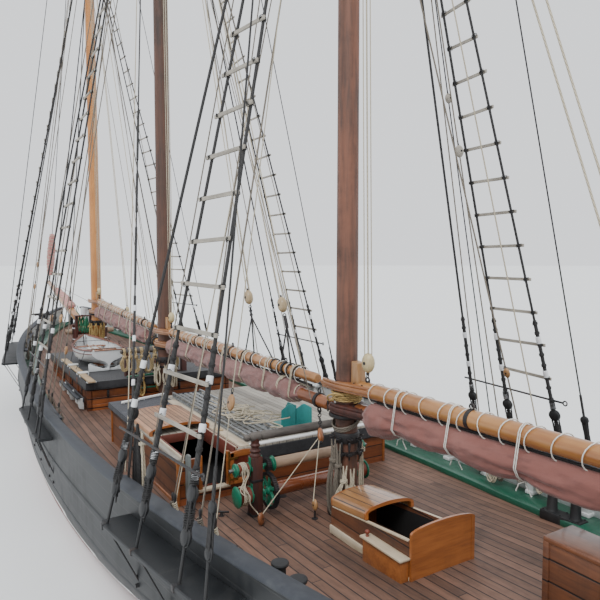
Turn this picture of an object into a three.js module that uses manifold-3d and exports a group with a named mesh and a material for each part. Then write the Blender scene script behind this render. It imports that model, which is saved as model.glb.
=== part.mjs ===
// A wooden three-masted gaff schooner afloat, with her sails furled on their booms.
// Millimetres. +X points to the bow, +Y to port, +Z up. The origin lies on the waterline, on the
// centreline amidships.

import * as THREE from 'three';
import { mergeVertices } from 'three/addons/utils/BufferGeometryUtils.js';
import Module from 'manifold-3d';

const wasm = await Module();
wasm.setup();

// Driving dimensions
const gap = 0.3;
const waterwayWidth = 620;
const waterwayHeight = 100;
const deckThickness = 60;
const plankThickness = 120;
const bulwarkHeight = 750;
const railThickness = 80;
const railInboard = 180;
const railOutboard = 50;
const stanchionSize = 130;
const stanchionPitch = 1050;
const keelHalf = 130;
const stemTop = 3080;
const jawClearance = 14;
const saddleOverhang = 110;
const mastHeel = 1000;
const mastSides = 12;
const ropeSides = 5;
const barrelSides = 10;
const shroudRadius = 19;
const channelLift = 480;
const deadeyeRadius = 60;
const topmastHeel = 120;
const topmastTip = 65;
const gearRadius = 290;
const pinionRadius = 104;
const rudderAxisX = -13080;
const rudderFoot = -2410;
const propellerZ = -1250;
const propellerRadius = 560;

// Hull sections from the stem to the transom. Each row holds x, the half-breadth at the deck, the
// heights of keel and garboard, and y and z of the floor, of the bilge and of the topside.
const sections = [
  [14750, 130, 1600, 1750, 100, 1900, 110, 2050, 120, 2300],
  [14100, 700, 100, 350, 140, 600, 220, 1000, 420, 1700],
  [13000, 1350, -900, -600, 180, -300, 450, 400, 850, 1400],
  [11500, 1950, -1750, -1450, 300, -900, 900, 100, 1500, 1200],
  [9000, 2720, -2100, -1800, 600, -1100, 1650, -200, 2390, 1000],
  [5500, 3280, -2250, -1950, 1200, -1350, 2450, -600, 3080, 600],
  [1000, 3500, -2350, -2050, 1600, -1500, 2850, -750, 3400, 400],
  [-3000, 3530, -2400, -2100, 1600, -1500, 2800, -700, 3430, 400],
  [-7000, 3330, -2450, -2120, 1200, -1350, 2350, -450, 3220, 600],
  [-10000, 3000, -2500, -2150, 500, -1100, 1600, -50, 2750, 900],
  [-12000, 2700, -2500, -2150, 200, -1200, 750, 100, 2230, 1100],
  [-12900, 2530, -2500, -2150, 180, -1300, 400, 200, 1930, 1200],
  [-12950, 2522, 50, 100, 250, 180, 600, 350, 1880, 1250],
  [-14000, 2300, 550, 600, 800, 750, 1300, 950, 1860, 1400],
  [-15200, 2050, 1050, 1080, 800, 1150, 1450, 1300, 1890, 1650],
].map(([x, deckY, keelZ, garboardZ, floorY, floorZ, bilgeY, bilgeZ, sideY, sideZ]) => ({
  x, deckY, keelZ, garboardZ, floorY, floorZ, bilgeY, bilgeZ, sideY, sideZ,
}));

// Masts: place, height of the hounds, head of the lower mast and of the topmast, radii, the swing
// gear's heights, and how far the boom and the gaff reach aft of the mast. Then, for the shrouds, how
// far before the mast each foot stands, the same for the backstay, how far outboard, and the height
// of the sheer pole.
const masts = [
  {
    name: 'fore', x: 8700, hounds: 18300, head: 20300, topHead: 26600, radius: 210, topRadius: 175,
    boomZ: 3480, gaffZ: 3900, boomReach: 8250, gaffReach: 7900, rise: -0.045,
    feet: [230, -1050, -2600], backstay: -3100, outboard: 440, shroudZ: 3750,
  },
  {
    name: 'main', x: -100, hounds: 19300, head: 21300, topHead: 27500, radius: 210, topRadius: 175,
    boomZ: 3200, gaffZ: 3560, boomReach: 8340, gaffReach: 7980, rise: -0.002,
    feet: [-400, -1600, -2800], backstay: -3250, outboard: 245, shroudZ: 3250,
  },
  {
    name: 'mizzen', x: -8900, hounds: 16400, head: 18100, topHead: 23800, radius: 175, topRadius: 145,
    boomZ: 3240, gaffZ: 3600, boomReach: 8300, gaffReach: 7900, rise: 0.012,
    feet: [510, -460, -1570], backstay: -2100, outboard: 370, shroudZ: 3250,
  },
];

const bowsprit = { heelX: 10600, heelZ: 2470, tipX: 21500, tipZ: 4320, radius: 190, tipRadius: 110 };

const colours = {
  hullBlack: '#2a2f31', teak: '#8a6a52', green: '#1f6b4a', white: '#d9dbd8', varnish: '#b0713a',
  darkMast: '#5b4a40', paleMast: '#b8895c', sail: '#8f6a60', black: '#1c1c1d', hatchWood: '#8a4f2c',
  teal: '#1f7f7c', steel: '#8e9498', bronze: '#9a7a3c', redBrown: '#6f3f2a',
};

const ship = new THREE.Group();

// Turns a closed mesh into a solid, whatever way its faces were wound.
function solidOf(geometry) {
  const bare = new THREE.BufferGeometry();
  bare.setAttribute('position', geometry.getAttribute('position').clone());
  if (geometry.index) bare.setIndex(geometry.index.clone());
  const merged = mergeVertices(bare, 1e-3);
  const corners = merged.getAttribute('position').array;
  const faces = Array.from(merged.index.array);
  const kept = [];
  for (let i = 0; i < faces.length; i += 3) {
    const [a, b, c] = faces.slice(i, i + 3);
    if (a !== b && b !== c && a !== c) kept.push(a, b, c);
  }
  let volume = 0;
  for (let i = 0; i < kept.length; i += 3) {
    const [a, b, c] = [0, 1, 2].map((k) => new THREE.Vector3().fromArray(corners, kept[i + k] * 3));
    volume += a.dot(b.cross(c));
  }
  if (volume < 0) kept.reverse();
  return new wasm.Manifold(new wasm.Mesh({
    numProp: 3, vertProperties: new Float32Array(corners), triVerts: new Uint32Array(kept),
  }));
}

function geometryOf(solid) {
  const mesh = solid.getMesh();
  const geometry = new THREE.BufferGeometry();
  geometry.setAttribute('position', new THREE.BufferAttribute(new Float32Array(mesh.vertProperties), 3));
  geometry.setIndex(new THREE.BufferAttribute(new Uint32Array(mesh.triVerts), 1));
  geometry.computeVertexNormals();
  return geometry;
}

function join(...solids) {
  return solids.flat().reduce((whole, next) => whole.add(next));
}

function cut(whole, ...tools) {
  return tools.flat().reduce((rest, tool) => rest.subtract(tool), whole);
}

function addPiece(name, solid, color, roughness = 0.7, metalness = 0) {
  const material = new THREE.MeshStandardMaterial({ color, roughness, metalness });
  const mesh = new THREE.Mesh(geometryOf(solid), material);
  mesh.name = name;
  ship.add(mesh);
}

// Basic forms
function block(x0, x1, y0, y1, z0, z1) {
  const geometry = new THREE.BoxGeometry(x1 - x0, y1 - y0, z1 - z0);
  geometry.translate((x0 + x1) / 2, (y0 + y1) / 2, (z0 + z1) / 2);
  return solidOf(geometry);
}

function rod(from, to, radius, endRadius = radius, sides = 6, turn = 0) {
  const start = new THREE.Vector3(...from);
  const span = new THREE.Vector3(...to).sub(start);
  const geometry = new THREE.CylinderGeometry(endRadius, radius, span.length(), sides, 1, false, turn);
  geometry.translate(0, span.length() / 2, 0);
  const lean = new THREE.Quaternion().setFromUnitVectors(new THREE.Vector3(0, 1, 0), span.normalize());
  geometry.applyQuaternion(lean);
  geometry.translate(start.x, start.y, start.z);
  return solidOf(geometry);
}

// A turned form about the Z axis through x and y, from pairs of radius and height.
function turned(profile, x, y, sides = mastSides) {
  const geometry = new THREE.LatheGeometry(profile.map(([r, h]) => new THREE.Vector2(r, h)), sides);
  geometry.rotateX(Math.PI / 2);
  geometry.translate(x, y, 0);
  return solidOf(geometry);
}

// A flat outline drawn in X and Y, thickened from z0 to z1.
function plate(shape, z0, z1, curveSegments = 8) {
  const geometry = new THREE.ExtrudeGeometry(shape, { depth: z1 - z0, bevelEnabled: false, curveSegments });
  geometry.translate(0, 0, z0);
  return solidOf(geometry);
}

// An outline drawn in Y and Z, thickened from x0 to x1.
function sidePlate(points, x0, x1) {
  return loft([x0, x1].map((x) => points.map(([y, z]) => [x, y, z])));
}

// A closed skin over rings that have the same number of points.
function loft(rings) {
  const count = rings[0].length;
  const index = [];
  for (let ring = 0; ring + 1 < rings.length; ring += 1) {
    for (let i = 0; i < count; i += 1) {
      const a = ring * count + i;
      const b = ring * count + ((i + 1) % count);
      index.push(a, b, b + count, a, b + count, a + count);
    }
  }
  const spread = (ring, axis) => {
    const places = ring.map((p) => p[axis]);
    return Math.max(...places) - Math.min(...places);
  };
  const capRing = (ring, offset, flip) => {
    const thin = [0, 1, 2].sort((m, n) => spread(ring, m) - spread(ring, n))[0];
    const [u, v] = [(thin + 1) % 3, (thin + 2) % 3];
    const flat = ring.map((p) => new THREE.Vector2(p[u], p[v]));
    for (const face of THREE.ShapeUtils.triangulateShape(flat, [])) {
      index.push(...(flip ? [...face].reverse() : face).map((corner) => corner + offset));
    }
  };
  // triangulateShape keeps the ring's own turning, so one end is flipped against the other
  capRing(rings[0], 0, true);
  capRing(rings.at(-1), (rings.length - 1) * count, false);
  const geometry = new THREE.BufferGeometry();
  geometry.setAttribute('position', new THREE.BufferAttribute(new Float32Array(rings.flat(2)), 3));
  geometry.setIndex(index);
  return solidOf(geometry);
}

// Heights and breadths along the deck, straight between the hull's sections
function sheer(x) {
  return x > -2000 ? 1400 + 1150 * ((x + 2000) / 17000) ** 2 : 1400 + 550 * ((x + 2000) / 13000) ** 2;
}

function along(x, value) {
  const last = sections.length - 2;
  const i = Math.min(Math.max(sections.findIndex((s) => s.x <= x) - 1, 0), last);
  const [a, b] = [sections[i], sections[i + 1]];
  return value(a) + ((value(b) - value(a)) * (x - a.x)) / (b.x - a.x);
}

const deckAt = (x) => along(x, (s) => sheer(s.x));
const breadthAt = (x) => along(x, (s) => s.deckY);
const stationsBetween = (low, high) => [
  high, ...sections.map((s) => s.x).filter((x) => x < high - 1 && x > low + 1), low,
];

// A strip along the deck whose corners are given at each station as y and z.
function strip(low, high, corners) {
  return loft(stationsBetween(low, high).map((x) => corners(x).map(([y, z]) => [x, y, z])));
}

function mirrored(solid) {
  return solid.mirror([0, 1, 0]);
}

// What stands on the deck is cut to its slope by this form, which is the deck raised by the gap.
const deckCutter = strip(-15190, 14700, (x) => {
  const y = breadthAt(x) - 30;
  return [[-y, -500], [y, -500], [y, deckAt(x) + gap], [-y, deckAt(x) + gap]];
});
const onDeck = (solid) => solid.subtract(deckCutter);
const waterwayCutter = strip(-15190, 14700, (x) => {
  const y = breadthAt(x) + 300;
  const top = deckAt(x) + waterwayHeight + gap;
  return [[-y, -500], [y, -500], [y, top], [-y, top]];
});

function bowspritForm(extra) {
  const { heelX, heelZ, tipX, tipZ, radius, tipRadius } = bowsprit;
  const middleX = 15200;
  const middleZ = heelZ + ((tipZ - heelZ) * (middleX - heelX)) / (tipX - heelX);
  return join(
    rod([heelX - extra, 0, heelZ], [middleX + 40, 0, middleZ + 7], radius + extra, radius + extra, 12),
    rod([middleX, 0, middleZ], [tipX + extra, 0, tipZ], radius + extra, tipRadius + extra, 12),
  );
}

const bowspritCutter = bowspritForm(gap);
const spritZ = (x) => bowsprit.heelZ
  + ((bowsprit.tipZ - bowsprit.heelZ) * (x - bowsprit.heelX)) / (bowsprit.tipX - bowsprit.heelX);

function makeHull() {
  const rings = sections.map((s) => {
    const port = [
      [keelHalf * Math.min(1, s.deckY / 200), s.keelZ],
      [keelHalf * Math.min(1, s.deckY / 200), s.garboardZ],
      [s.floorY, s.floorZ], [s.bilgeY, s.bilgeZ], [s.sideY, s.sideZ],
      [s.deckY, sheer(s.x) - deckThickness],
    ];
    const starboard = port.map(([y, z]) => [-y, z]).reverse();
    return [...port, ...starboard].map(([y, z]) => [s.x, y, z]);
  });
  const stemHead = loft([
    [[14350, -90, 2100], [14350, 90, 2100], [14350, 90, stemTop], [14350, -90, stemTop]],
    [[14850, -70, 2100], [14850, 70, 2100], [14850, 70, stemTop], [14850, -70, stemTop]],
  ]);
  const aperture = rod([-12450, -400, propellerZ], [-12450, 400, propellerZ], 720, 720, 12)
    .intersect(block(-12780, -12050, -500, 500, -2300, -400));
  const rudderTrunk = rod([rudderAxisX, 0, -200], [rudderAxisX, 0, 900], 110, 110, 12);
  const shaftHole = rod([-12100, 0, propellerZ], [-11700, 0, propellerZ], 60 + gap, 60 + gap, 12);
  const shoe = block(-13180, -12850, -70, 70, -2500, rudderFoot - gap);
  return cut(join(loft(rings), stemHead, shoe), bowspritCutter, aperture, rudderTrunk, shaftHole);
}

function makeDeck() {
  return strip(-15190, 14080, (x) => {
    const y = Math.max(breadthAt(x) - waterwayWidth, 20);
    const low = deckAt(x) - deckThickness + gap;
    return [[-y, low], [y, low], [y, deckAt(x)], [-y, deckAt(x)]];
  });
}

function makeWaterway() {
  const body = strip(-15190, 14300, (x) => {
    const inner = Math.max(breadthAt(x) - waterwayWidth + gap, 100);
    const low = deckAt(x) - deckThickness + gap;
    const high = deckAt(x) + waterwayHeight;
    return [[inner, low], [breadthAt(x), low], [breadthAt(x), high], [inner, high]];
  });
  return cut(body, bowspritCutter);
}

function makeBulwark() {
  const low = -15190;
  const high = 14300;
  const planking = strip(low, high, (x) => {
    const y = breadthAt(x);
    const foot = deckAt(x) + waterwayHeight + gap;
    const head = deckAt(x) + bulwarkHeight + 10;
    return [[y - plankThickness, foot], [y, foot], [y, head], [y - plankThickness, head]];
  });
  const rail = strip(low, high, (x) => {
    const foot = deckAt(x) + bulwarkHeight;
    const inner = Math.max(breadthAt(x) - railInboard, 60);
    const outer = breadthAt(x) + railOutboard;
    return [[inner, foot], [outer, foot], [outer, foot + railThickness], [inner, foot + railThickness]];
  });
  const posts = [];
  for (let x = low + 700; x < 13000; x += stanchionPitch) {
    const y = breadthAt(x) - plankThickness;
    const z = deckAt(x);
    posts.push(block(
      x, x + stanchionSize, y - stanchionSize, y + 60, z - 60, z + bulwarkHeight + 20,
    ).subtract(waterwayCutter));
  }
  return cut(join(planking, rail, posts), bowspritCutter);
}

function makeTaffrail() {
  const x = -15190;
  const z = deckAt(x);
  const y = breadthAt(x) - railInboard - gap * 3;
  const deckY = breadthAt(x) - waterwayWidth - gap;
  return join(
    block(x, x + 110, -y, y, z - 60, z + bulwarkHeight + 10).subtract(waterwayCutter),
    onDeck(block(x, x + 110, -deckY, deckY, z - 60, z + waterwayHeight + 20)),
    block(x - 5, x + 280, -y, y, z + bulwarkHeight, z + bulwarkHeight + railThickness),
  );
}

function mastForm(mast, extra) {
  const { x, head, radius, topRadius } = mast;
  return rod([x, 0, mastHeel], [x, 0, head], radius + extra, topRadius + extra, mastSides);
}

function radiusAt(mast, z) {
  return mast.radius + ((mast.topRadius - mast.radius) * (z - mastHeel)) / (mast.head - mastHeel);
}

const topmastX = (mast) => mast.x + mast.topRadius + 150;

function topmastForm(mast, extra) {
  const x = topmastX(mast);
  return rod(
    [x, 0, mast.hounds - 350], [x, 0, mast.topHead], topmastHeel + extra, topmastTip + extra, mastSides,
  );
}

function makeMast(mast) {
  const { x, hounds, head } = mast;
  const pole = onDeck(mastForm(mast, 0));
  const cheekY = mast.topRadius + 60;
  const cheeks = block(x - 260, x + 600, -cheekY, cheekY, hounds - 90, hounds + 60);
  const crosstrees = [-210, 560].map((offset) => block(
    x + offset - 60, x + offset + 60, -1000, 1000, hounds + 50, hounds + 130,
  ));
  const cap = block(x - 210, x + 560, -190, 190, head - 230, head - 110);
  const saddle = turned(
    [[0, mast.boomZ - 160], [radiusAt(mast, mast.boomZ) + 20, mast.boomZ - 160],
      [radiusAt(mast, mast.boomZ) + saddleOverhang, mast.boomZ - 120],
      [radiusAt(mast, mast.boomZ) + saddleOverhang, mast.boomZ - 80], [0, mast.boomZ - 80]],
    x, 0,
  );
  const band = turned(
    [[0, mast.boomZ - 560], [radiusAt(mast, 2700) + 30, mast.boomZ - 560],
      [radiusAt(mast, 2700) + 30, mast.boomZ - 480], [0, mast.boomZ - 480]],
    x, 0,
  );
  return cut(join(pole, cheeks, crosstrees, cap, saddle, band), topmastForm(mast, gap));
}

// Jaws that half embrace the mast and leave it free to turn between their horns.
function jaws(mast, z, halfHeight) {
  const inner = radiusAt(mast, z) + jawClearance;
  const outer = inner + 90;
  const shape = new THREE.Shape();
  shape.moveTo(mast.x + 190, inner);
  shape.lineTo(mast.x, inner);
  shape.absarc(mast.x, 0, inner, Math.PI / 2, (3 * Math.PI) / 2, false);
  shape.lineTo(mast.x + 190, -inner);
  shape.lineTo(mast.x + 190, -inner - 50);
  shape.lineTo(mast.x, -outer);
  shape.lineTo(mast.x - inner - 330, -90);
  shape.lineTo(mast.x - inner - 330, 90);
  shape.lineTo(mast.x, outer);
  shape.lineTo(mast.x + 190, inner + 50);
  shape.closePath();
  return plate(shape, z - halfHeight, z + halfHeight);
}

function boomForm(mast, extra) {
  const startX = mast.x - radiusAt(mast, mast.boomZ) - saddleOverhang - 25;
  const endX = mast.x - mast.boomReach;
  const endZ = mast.boomZ + mast.rise * (startX - endX);
  return rod([startX + extra, 0, mast.boomZ], [endX - extra, 0, endZ], 125 + extra, 105 + extra, 12);
}

function gaffForm(mast, extra) {
  const startX = mast.x - radiusAt(mast, mast.gaffZ) - jawClearance - 40;
  const endX = mast.x - mast.gaffReach;
  const endZ = mast.gaffZ + mast.rise * (startX - endX);
  return rod([startX + extra, 0, mast.gaffZ], [endX - extra, 0, endZ], 115 + extra, 85 + extra, 12);
}

function makeBoom(mast) {
  return join(boomForm(mast, 0), jaws(mast, mast.boomZ, 80 - gap));
}

function makeGaff(mast) {
  return join(gaffForm(mast, 0), jaws(mast, mast.gaffZ, 70));
}

// The furled sail lies in a roll round the boom, and the gaff rests in its top.
function makeSail(mast) {
  const startX = mast.x - radiusAt(mast, mast.boomZ) - 460;
  const endX = mast.x - mast.gaffReach + 420;
  const steps = 10;
  const rings = [];
  for (let step = 0; step <= steps; step += 1) {
    const t = step / steps;
    const x = startX + (endX - startX) * t;
    const baseZ = mast.boomZ + mast.rise * (startX - x);
    const full = 0.88 + 0.12 * Math.sin(t * 27);
    const halfWidth = (230 - 60 * t) * full;
    const below = (210 - 30 * t) * full;
    const above = mast.gaffZ - mast.boomZ - 40;
    const ring = [];
    for (let corner = 0; corner < 10; corner += 1) {
      const angle = (corner / 10) * 2 * Math.PI;
      const up = Math.sin(angle);
      ring.push([x, halfWidth * Math.cos(angle), baseZ + (up > 0 ? above : below) * up]);
    }
    rings.push(ring);
  }
  return cut(loft(rings), boomForm(mast, gap), gaffForm(mast, gap));
}

// A side's shrouds with deadeyes, sheer pole, topmast backstay, and the channel and chainplates.
const channelWidth = { edge: 70, inner: 200, fore: 160, aft: 140 };
const chainplate = { radius: 35, drop: 1100, inboard: 200 };

function insideSkin(extra) {
  return loft(sections.map((s) => {
    const port = [
      [s.floorY + extra, s.floorZ], [s.bilgeY + extra, s.bilgeZ], [s.sideY + extra, s.sideZ],
      [s.deckY + extra, sheer(s.x) - deckThickness], [s.deckY + extra, sheer(s.x) + bulwarkHeight - 1],
    ];
    const starboard = port.map(([y, z]) => [-y, z]).reverse();
    return [...port, ...starboard].map(([y, z]) => [s.x, y, z]);
  }));
}

const skinCutter = insideSkin(gap);

function makeShrouds(mast, side) {
  const feetX = [...mast.feet, mast.backstay].map((offset) => mast.x + offset);
  const headZ = mast.hounds - 260;
  const headY = radiusAt(mast, headZ - 140) + gap + 45;
  const channel = strip(feetX.at(-1) - channelWidth.aft, feetX[0] + channelWidth.fore, (x) => {
    const inner = breadthAt(x) - channelWidth.inner;
    const edge = breadthAt(x) + mast.outboard + channelWidth.edge;
    const z = deckAt(x) + channelLift;
    return [[inner, z - 60], [edge, z - 60], [edge, z], [inner, z]];
  });
  const parts = [
    channel,
    block(mast.x - 90, mast.x + 90, headY - 45, headY + 45, headZ - 140, headZ + 140),
  ];
  const polePoints = [];
  feetX.forEach((x, i) => {
    const foot = new THREE.Vector3(x, breadthAt(x) + mast.outboard, deckAt(x) + channelLift - 30);
    const isBackstay = i === feetX.length - 1;
    const topX = topmastX(mast);
    const topY = topmastTip + gap + 30;
    const head = isBackstay
      ? new THREE.Vector3(topX, topY, mast.topHead - 300)
      : new THREE.Vector3(mast.x + (1 - i) * 30, headY, headZ);
    const at = (z) => foot.clone().lerp(head, (z - foot.z) / (head.z - foot.z)).toArray();
    const radius = isBackstay ? shroudRadius * 0.7 : shroudRadius;
    parts.push(rod(foot.toArray(), head.toArray(), radius, radius, ropeSides));
    parts.push(rod(at(foot.z + 110), at(foot.z + 780), deadeyeRadius, deadeyeRadius, 4));
    if (isBackstay) {
      parts.push(block(topX - 40, topX + 40, topY - 2, topY + 60, head.z - 60, head.z + 60));
      return;
    }
    polePoints.push(new THREE.Vector3(...at(mast.shroudZ)));
    const heel = [x, breadthAt(x) - chainplate.inboard, foot.z - chainplate.drop];
    parts.push(rod(foot.toArray(), heel, chainplate.radius, chainplate.radius, 4));
  });
  const [first, last] = [polePoints[0], polePoints.at(-1)];
  const over = last.clone().sub(first).normalize().multiplyScalar(200);
  parts.push(rod(first.clone().sub(over).toArray(), last.clone().add(over).toArray(), 18, 18, ropeSides));
  const whole = join(parts);
  return cut(side > 0 ? whole : mirrored(whole), skinCutter, mastForm(mast, gap), topmastForm(mast, gap));
}

// Stays with an eye block at each end
function stay(from, to, radius, endSize, cutters) {
  const half = endSize / 2;
  const ends = [from, to].map(([x, y, z]) => block(
    x - half, x + half, y - half, y + half, z - half, z + half,
  ));
  return cut(join(rod(from, to, radius, radius, ropeSides), ends), cutters);
}

const [foreMast, mainMast, mizzenMast] = masts;
const stayCutters = [bowspritCutter, ...masts.flatMap((m) => [mastForm(m, gap), topmastForm(m, gap)])];

const jibStayHead = [topmastX(foreMast) + 80, 0, foreMast.topHead - 500];
const jibStayFoot = [21200, 0, spritZ(21200) + 120];
const jibStayRadius = 16;

// The furled jib is a roll round the lower end of the jib stay.
function makeHeadsail() {
  const foot = new THREE.Vector3(...jibStayFoot);
  const head = new THREE.Vector3(...jibStayHead);
  const steps = 6;
  const sides = 10;
  const rings = [];
  for (let step = 0; step <= steps; step += 1) {
    const t = step / steps;
    const centre = foot.clone().lerp(head, 0.015 + 0.11 * t);
    const radius = 110 + 120 * Math.sin(Math.PI * (0.12 + 0.8 * t));
    rings.push(Array.from({ length: sides }, (unused, i) => {
      const angle = (i / sides) * 2 * Math.PI;
      return [centre.x + radius * Math.cos(angle), centre.y + radius * Math.sin(angle), centre.z];
    }));
  }
  const round = jibStayRadius + gap;
  return cut(loft(rings), rod(jibStayHead, jibStayFoot, round, round, ropeSides));
}

// Deck fittings
const hatch = { x0: 200, x1: 6200, halfWidth: 2100, height: 750 };

function makeHatch() {
  const { x0, x1, halfWidth, height } = hatch;
  const top = deckAt(x0) + height;
  const coaming = block(x0, x1, -halfWidth, halfWidth, 1200, top);
  const cover = block(x0 - 40, x1 + 40, -halfWidth - 40, halfWidth + 40, top - 220, top + 60);
  return onDeck(join(coaming, cover));
}

// The ship's boat: rows of x, half-breadth, keel height and gunwale height above the hatch.
const boat = { centreY: 1180, sternX: 1600, wall: 30 };
const boatRows = [
  [0, 420, 90, 620], [900, 640, 40, 560], [1900, 690, 20, 550], [2800, 470, 40, 600], [3550, 40, 160, 720],
];

function makeBoat() {
  const base = deckAt(hatch.x0) + hatch.height + 60 + gap;
  const ring = (inset, floor) => boatRows.map(([x, half, keel, gunwale], i) => {
    const y = Math.max(half - inset, 12);
    const shift = i === 0 ? inset : i === boatRows.length - 1 ? -inset * 3 : 0;
    const low = base + keel + floor;
    const high = base + gunwale + (floor ? 60 : 0);
    const flank = [[y * 0.12, low], [y * 0.72, low + 90], [y * 0.98, low + 300], [y, high]];
    const points = [...flank, ...flank.map(([a, b]) => [-a, b]).reverse()];
    return points.map(([a, b]) => [boat.sternX + x + shift, boat.centreY + a, b]);
  });
  const shell = cut(loft(ring(0, 0)), loft(ring(boat.wall, 40)));
  const chocks = [700, 2600].map((x) => block(
    boat.sternX + x, boat.sternX + x + 90, boat.centreY - 420, boat.centreY + 420, base, base + 170,
  ));
  const keel = block(
    boat.sternX + 60, boat.sternX + 3300, boat.centreY - 25, boat.centreY + 25, base + 20, base + 160,
  );
  const thwarts = [800, 1900].map((x) => block(
    boat.sternX + x, boat.sternX + x + 220, boat.centreY - 600, boat.centreY + 600, base + 400, base + 430,
  ).intersect(loft(ring(5, 5))));
  const lowHollow = loft(ring(boat.wall, 40));
  return join(shell, cut(join(chocks, keel), lowHollow), thwarts);
}

const house = { aftX: -7200, foreX: -2800, halfWidth: 2150, wall: 60, roofZ: 2300, roof: 60 };
const doorway = { y0: 1300, y1: 1740, sill: 1700, clear: 62 };
const hood = { aftX: -5800, foreX: -4300, y0: 1030, y1: 2190, rise: 175, wall: 30, lap: 100 };

function makeHouse() {
  const { aftX, foreX, halfWidth, wall, roofZ, roof } = house;
  const outer = block(aftX, foreX, -halfWidth, halfWidth, 1200, roofZ - roof);
  const inner = block(
    aftX + wall, foreX - wall, -halfWidth + wall, halfWidth - wall, 1000, roofZ - roof + 5,
  );
  const lid = block(aftX - 50, foreX + 50, -halfWidth - 50, halfWidth + 50, roofZ - roof - 0.5, roofZ);
  const way = block(aftX - 200, aftX + wall + 100, doorway.y0, doorway.y1, doorway.sill, roofZ + 50);
  const hatchway = block(
    aftX - 200, hood.aftX - 20, hood.y0 + hood.lap, hood.y1 - hood.lap, roofZ - roof - 40, roofZ + 50,
  );
  const hingeY = doorway.y0 - 20;
  const bracket = block(
    aftX - doorway.clear - 42, aftX + 5, hingeY - 22, hingeY + 22, doorway.sill - 30, doorway.sill + 10 - gap,
  );
  return onDeck(join(cut(join(cut(outer, inner), lid), way, hatchway), bracket));
}

// An arched lid whose curve runs athwart and whose planks run fore and aft.
function archedHood(x0, x1, y0, y1, z, rise, wall, endWalls) {
  const middle = (y0 + y1) / 2;
  const half = (y1 - y0) / 2;
  const arc = (inset) => Array.from({ length: 9 }, (unused, i) => {
    const angle = (Math.PI * i) / 8;
    return [middle + (half - inset) * Math.cos(angle), z + 70 + (rise - 70 - inset) * Math.sin(angle)];
  });
  const outer = [[middle + half, z], ...arc(0), [middle - half, z]];
  const inner = [[middle + half - wall, z - 20], ...arc(wall), [middle - half + wall, z - 20]];
  return cut(sidePlate(outer, x0, x1), sidePlate(inner, x0 + endWalls[0], x1 + endWalls[1]));
}

function makeDoor() {
  const { y0, y1, sill } = doorway;
  const hingeY = y0 - 20;
  const width = y1 - y0 + 20;
  const x1 = house.aftX - doorway.clear;
  const head = house.roofZ - 10;
  const leaf = block(x1 - 40, x1, hingeY - width, hingeY - 12, sill + 10, head);
  const knuckle = rod([x1 - 20, hingeY, sill + 10], [x1 - 20, hingeY, head], 14, 14, 8);
  const strap = block(x1 - 32, x1 - 8, hingeY - 30, hingeY, sill + 60, sill + 120);
  return join(leaf, knuckle, strap);
}

// A light alloy gangway that is stowed on the house top.
function makeGangway() {
  const z = house.roofZ + gap;
  const [y0, y1] = [120, 780];
  const parts = [y0, y1].map((y) => block(-7000, -3000, y - 30, y + 30, z, z + 130));
  for (let x = -6900; x < -3000; x += 300) parts.push(block(x, x + 60, y0, y1, z + 40, z + 75));
  return join(parts);
}

function makeLightBox() {
  const z = house.roofZ + gap;
  return join(
    block(-6570, -6540, -840, -150, z, z + 440),
    block(-6570, -6150, -500, -470, z, z + 400),
    block(-6570, -6150, -840, -150, z, z + 30),
  );
}

const companion = {
  aftX: -11100, foreX: -9430, y0: -200, y1: 650, wall: 50, foreTop: 2000, slope: 5.5, hoodLength: 810, rise: 175,
};

// The companion's top and its hood slope up towards the stern.
function sloped(solid) {
  const { foreX, foreTop, slope } = companion;
  return solid.translate([-foreX, 0, -foreTop]).rotate([0, slope, 0]).translate([foreX, 0, foreTop]);
}

function makeCompanion() {
  const { aftX, foreX, y0, y1, wall, foreTop } = companion;
  const walls = cut(
    block(aftX, foreX, y0, y1, 1200, foreTop + 400),
    block(aftX + wall, foreX - wall, y0 + wall, y1 - wall, 1000, foreTop + 500),
    sloped(block(aftX - 200, foreX + 200, y0 - 50, y1 + 50, foreTop, foreTop + 800)),
  );
  return onDeck(walls);
}

function makeCompanionHood() {
  const { foreX, y0, y1, foreTop, hoodLength, rise } = companion;
  return sloped(archedHood(foreX - hoodLength, foreX, y0, y1, foreTop + gap, rise, 30, [-10, -30]));
}

// The winch stands a little to port: two posts under a head beam, with an upper barrel and a lower one across them.
const winch = { x: -8200, posts: [-480, 1250], postHalf: 90, beamZ: 2780, upperZ: 2300, lowerZ: 1900, shaft: 30 };

// A hole whose flats clear the corners of a bar that turns in it. The hole is turned by half a side.
const boreRadius = (radius, sides) => (radius + gap) / Math.cos(Math.PI / sides);

function boreAcross(x, z, radius, half) {
  const corner = boreRadius(radius, barrelSides);
  return barrelAcross(x, z, [[corner, -half], [corner, half]], barrelSides, Math.PI / barrelSides);
}

function makeWinchFrame() {
  const { x, posts: postYs, postHalf, beamZ, upperZ, lowerZ, shaft } = winch;
  const posts = postYs.map((y) => block(
    x - postHalf, x + postHalf, y - postHalf, y + postHalf, 1200, beamZ + 20,
  ));
  const beam = rod([x, -670, beamZ], [x, 1440, beamZ], 75, 75, 10);
  const bores = [[0, upperZ], [-60, lowerZ]].map(([dx, z]) => boreAcross(x + dx, z, shaft, 1600));
  return onDeck(cut(join(posts, beam), bores));
}

// A turned form lying athwart, from pairs of radius and Y for its starboard half and for its port half.
function barrelAcross(x, z, profile, sides = barrelSides, turn = 0) {
  const ends = [[0, profile[0][1]], ...profile, [0, profile.at(-1)[1]]];
  const geometry = new THREE.LatheGeometry(ends.map(([r, y]) => new THREE.Vector2(r, y)), sides, turn);
  geometry.translate(x, 0, z);
  return solidOf(geometry);
}

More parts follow.
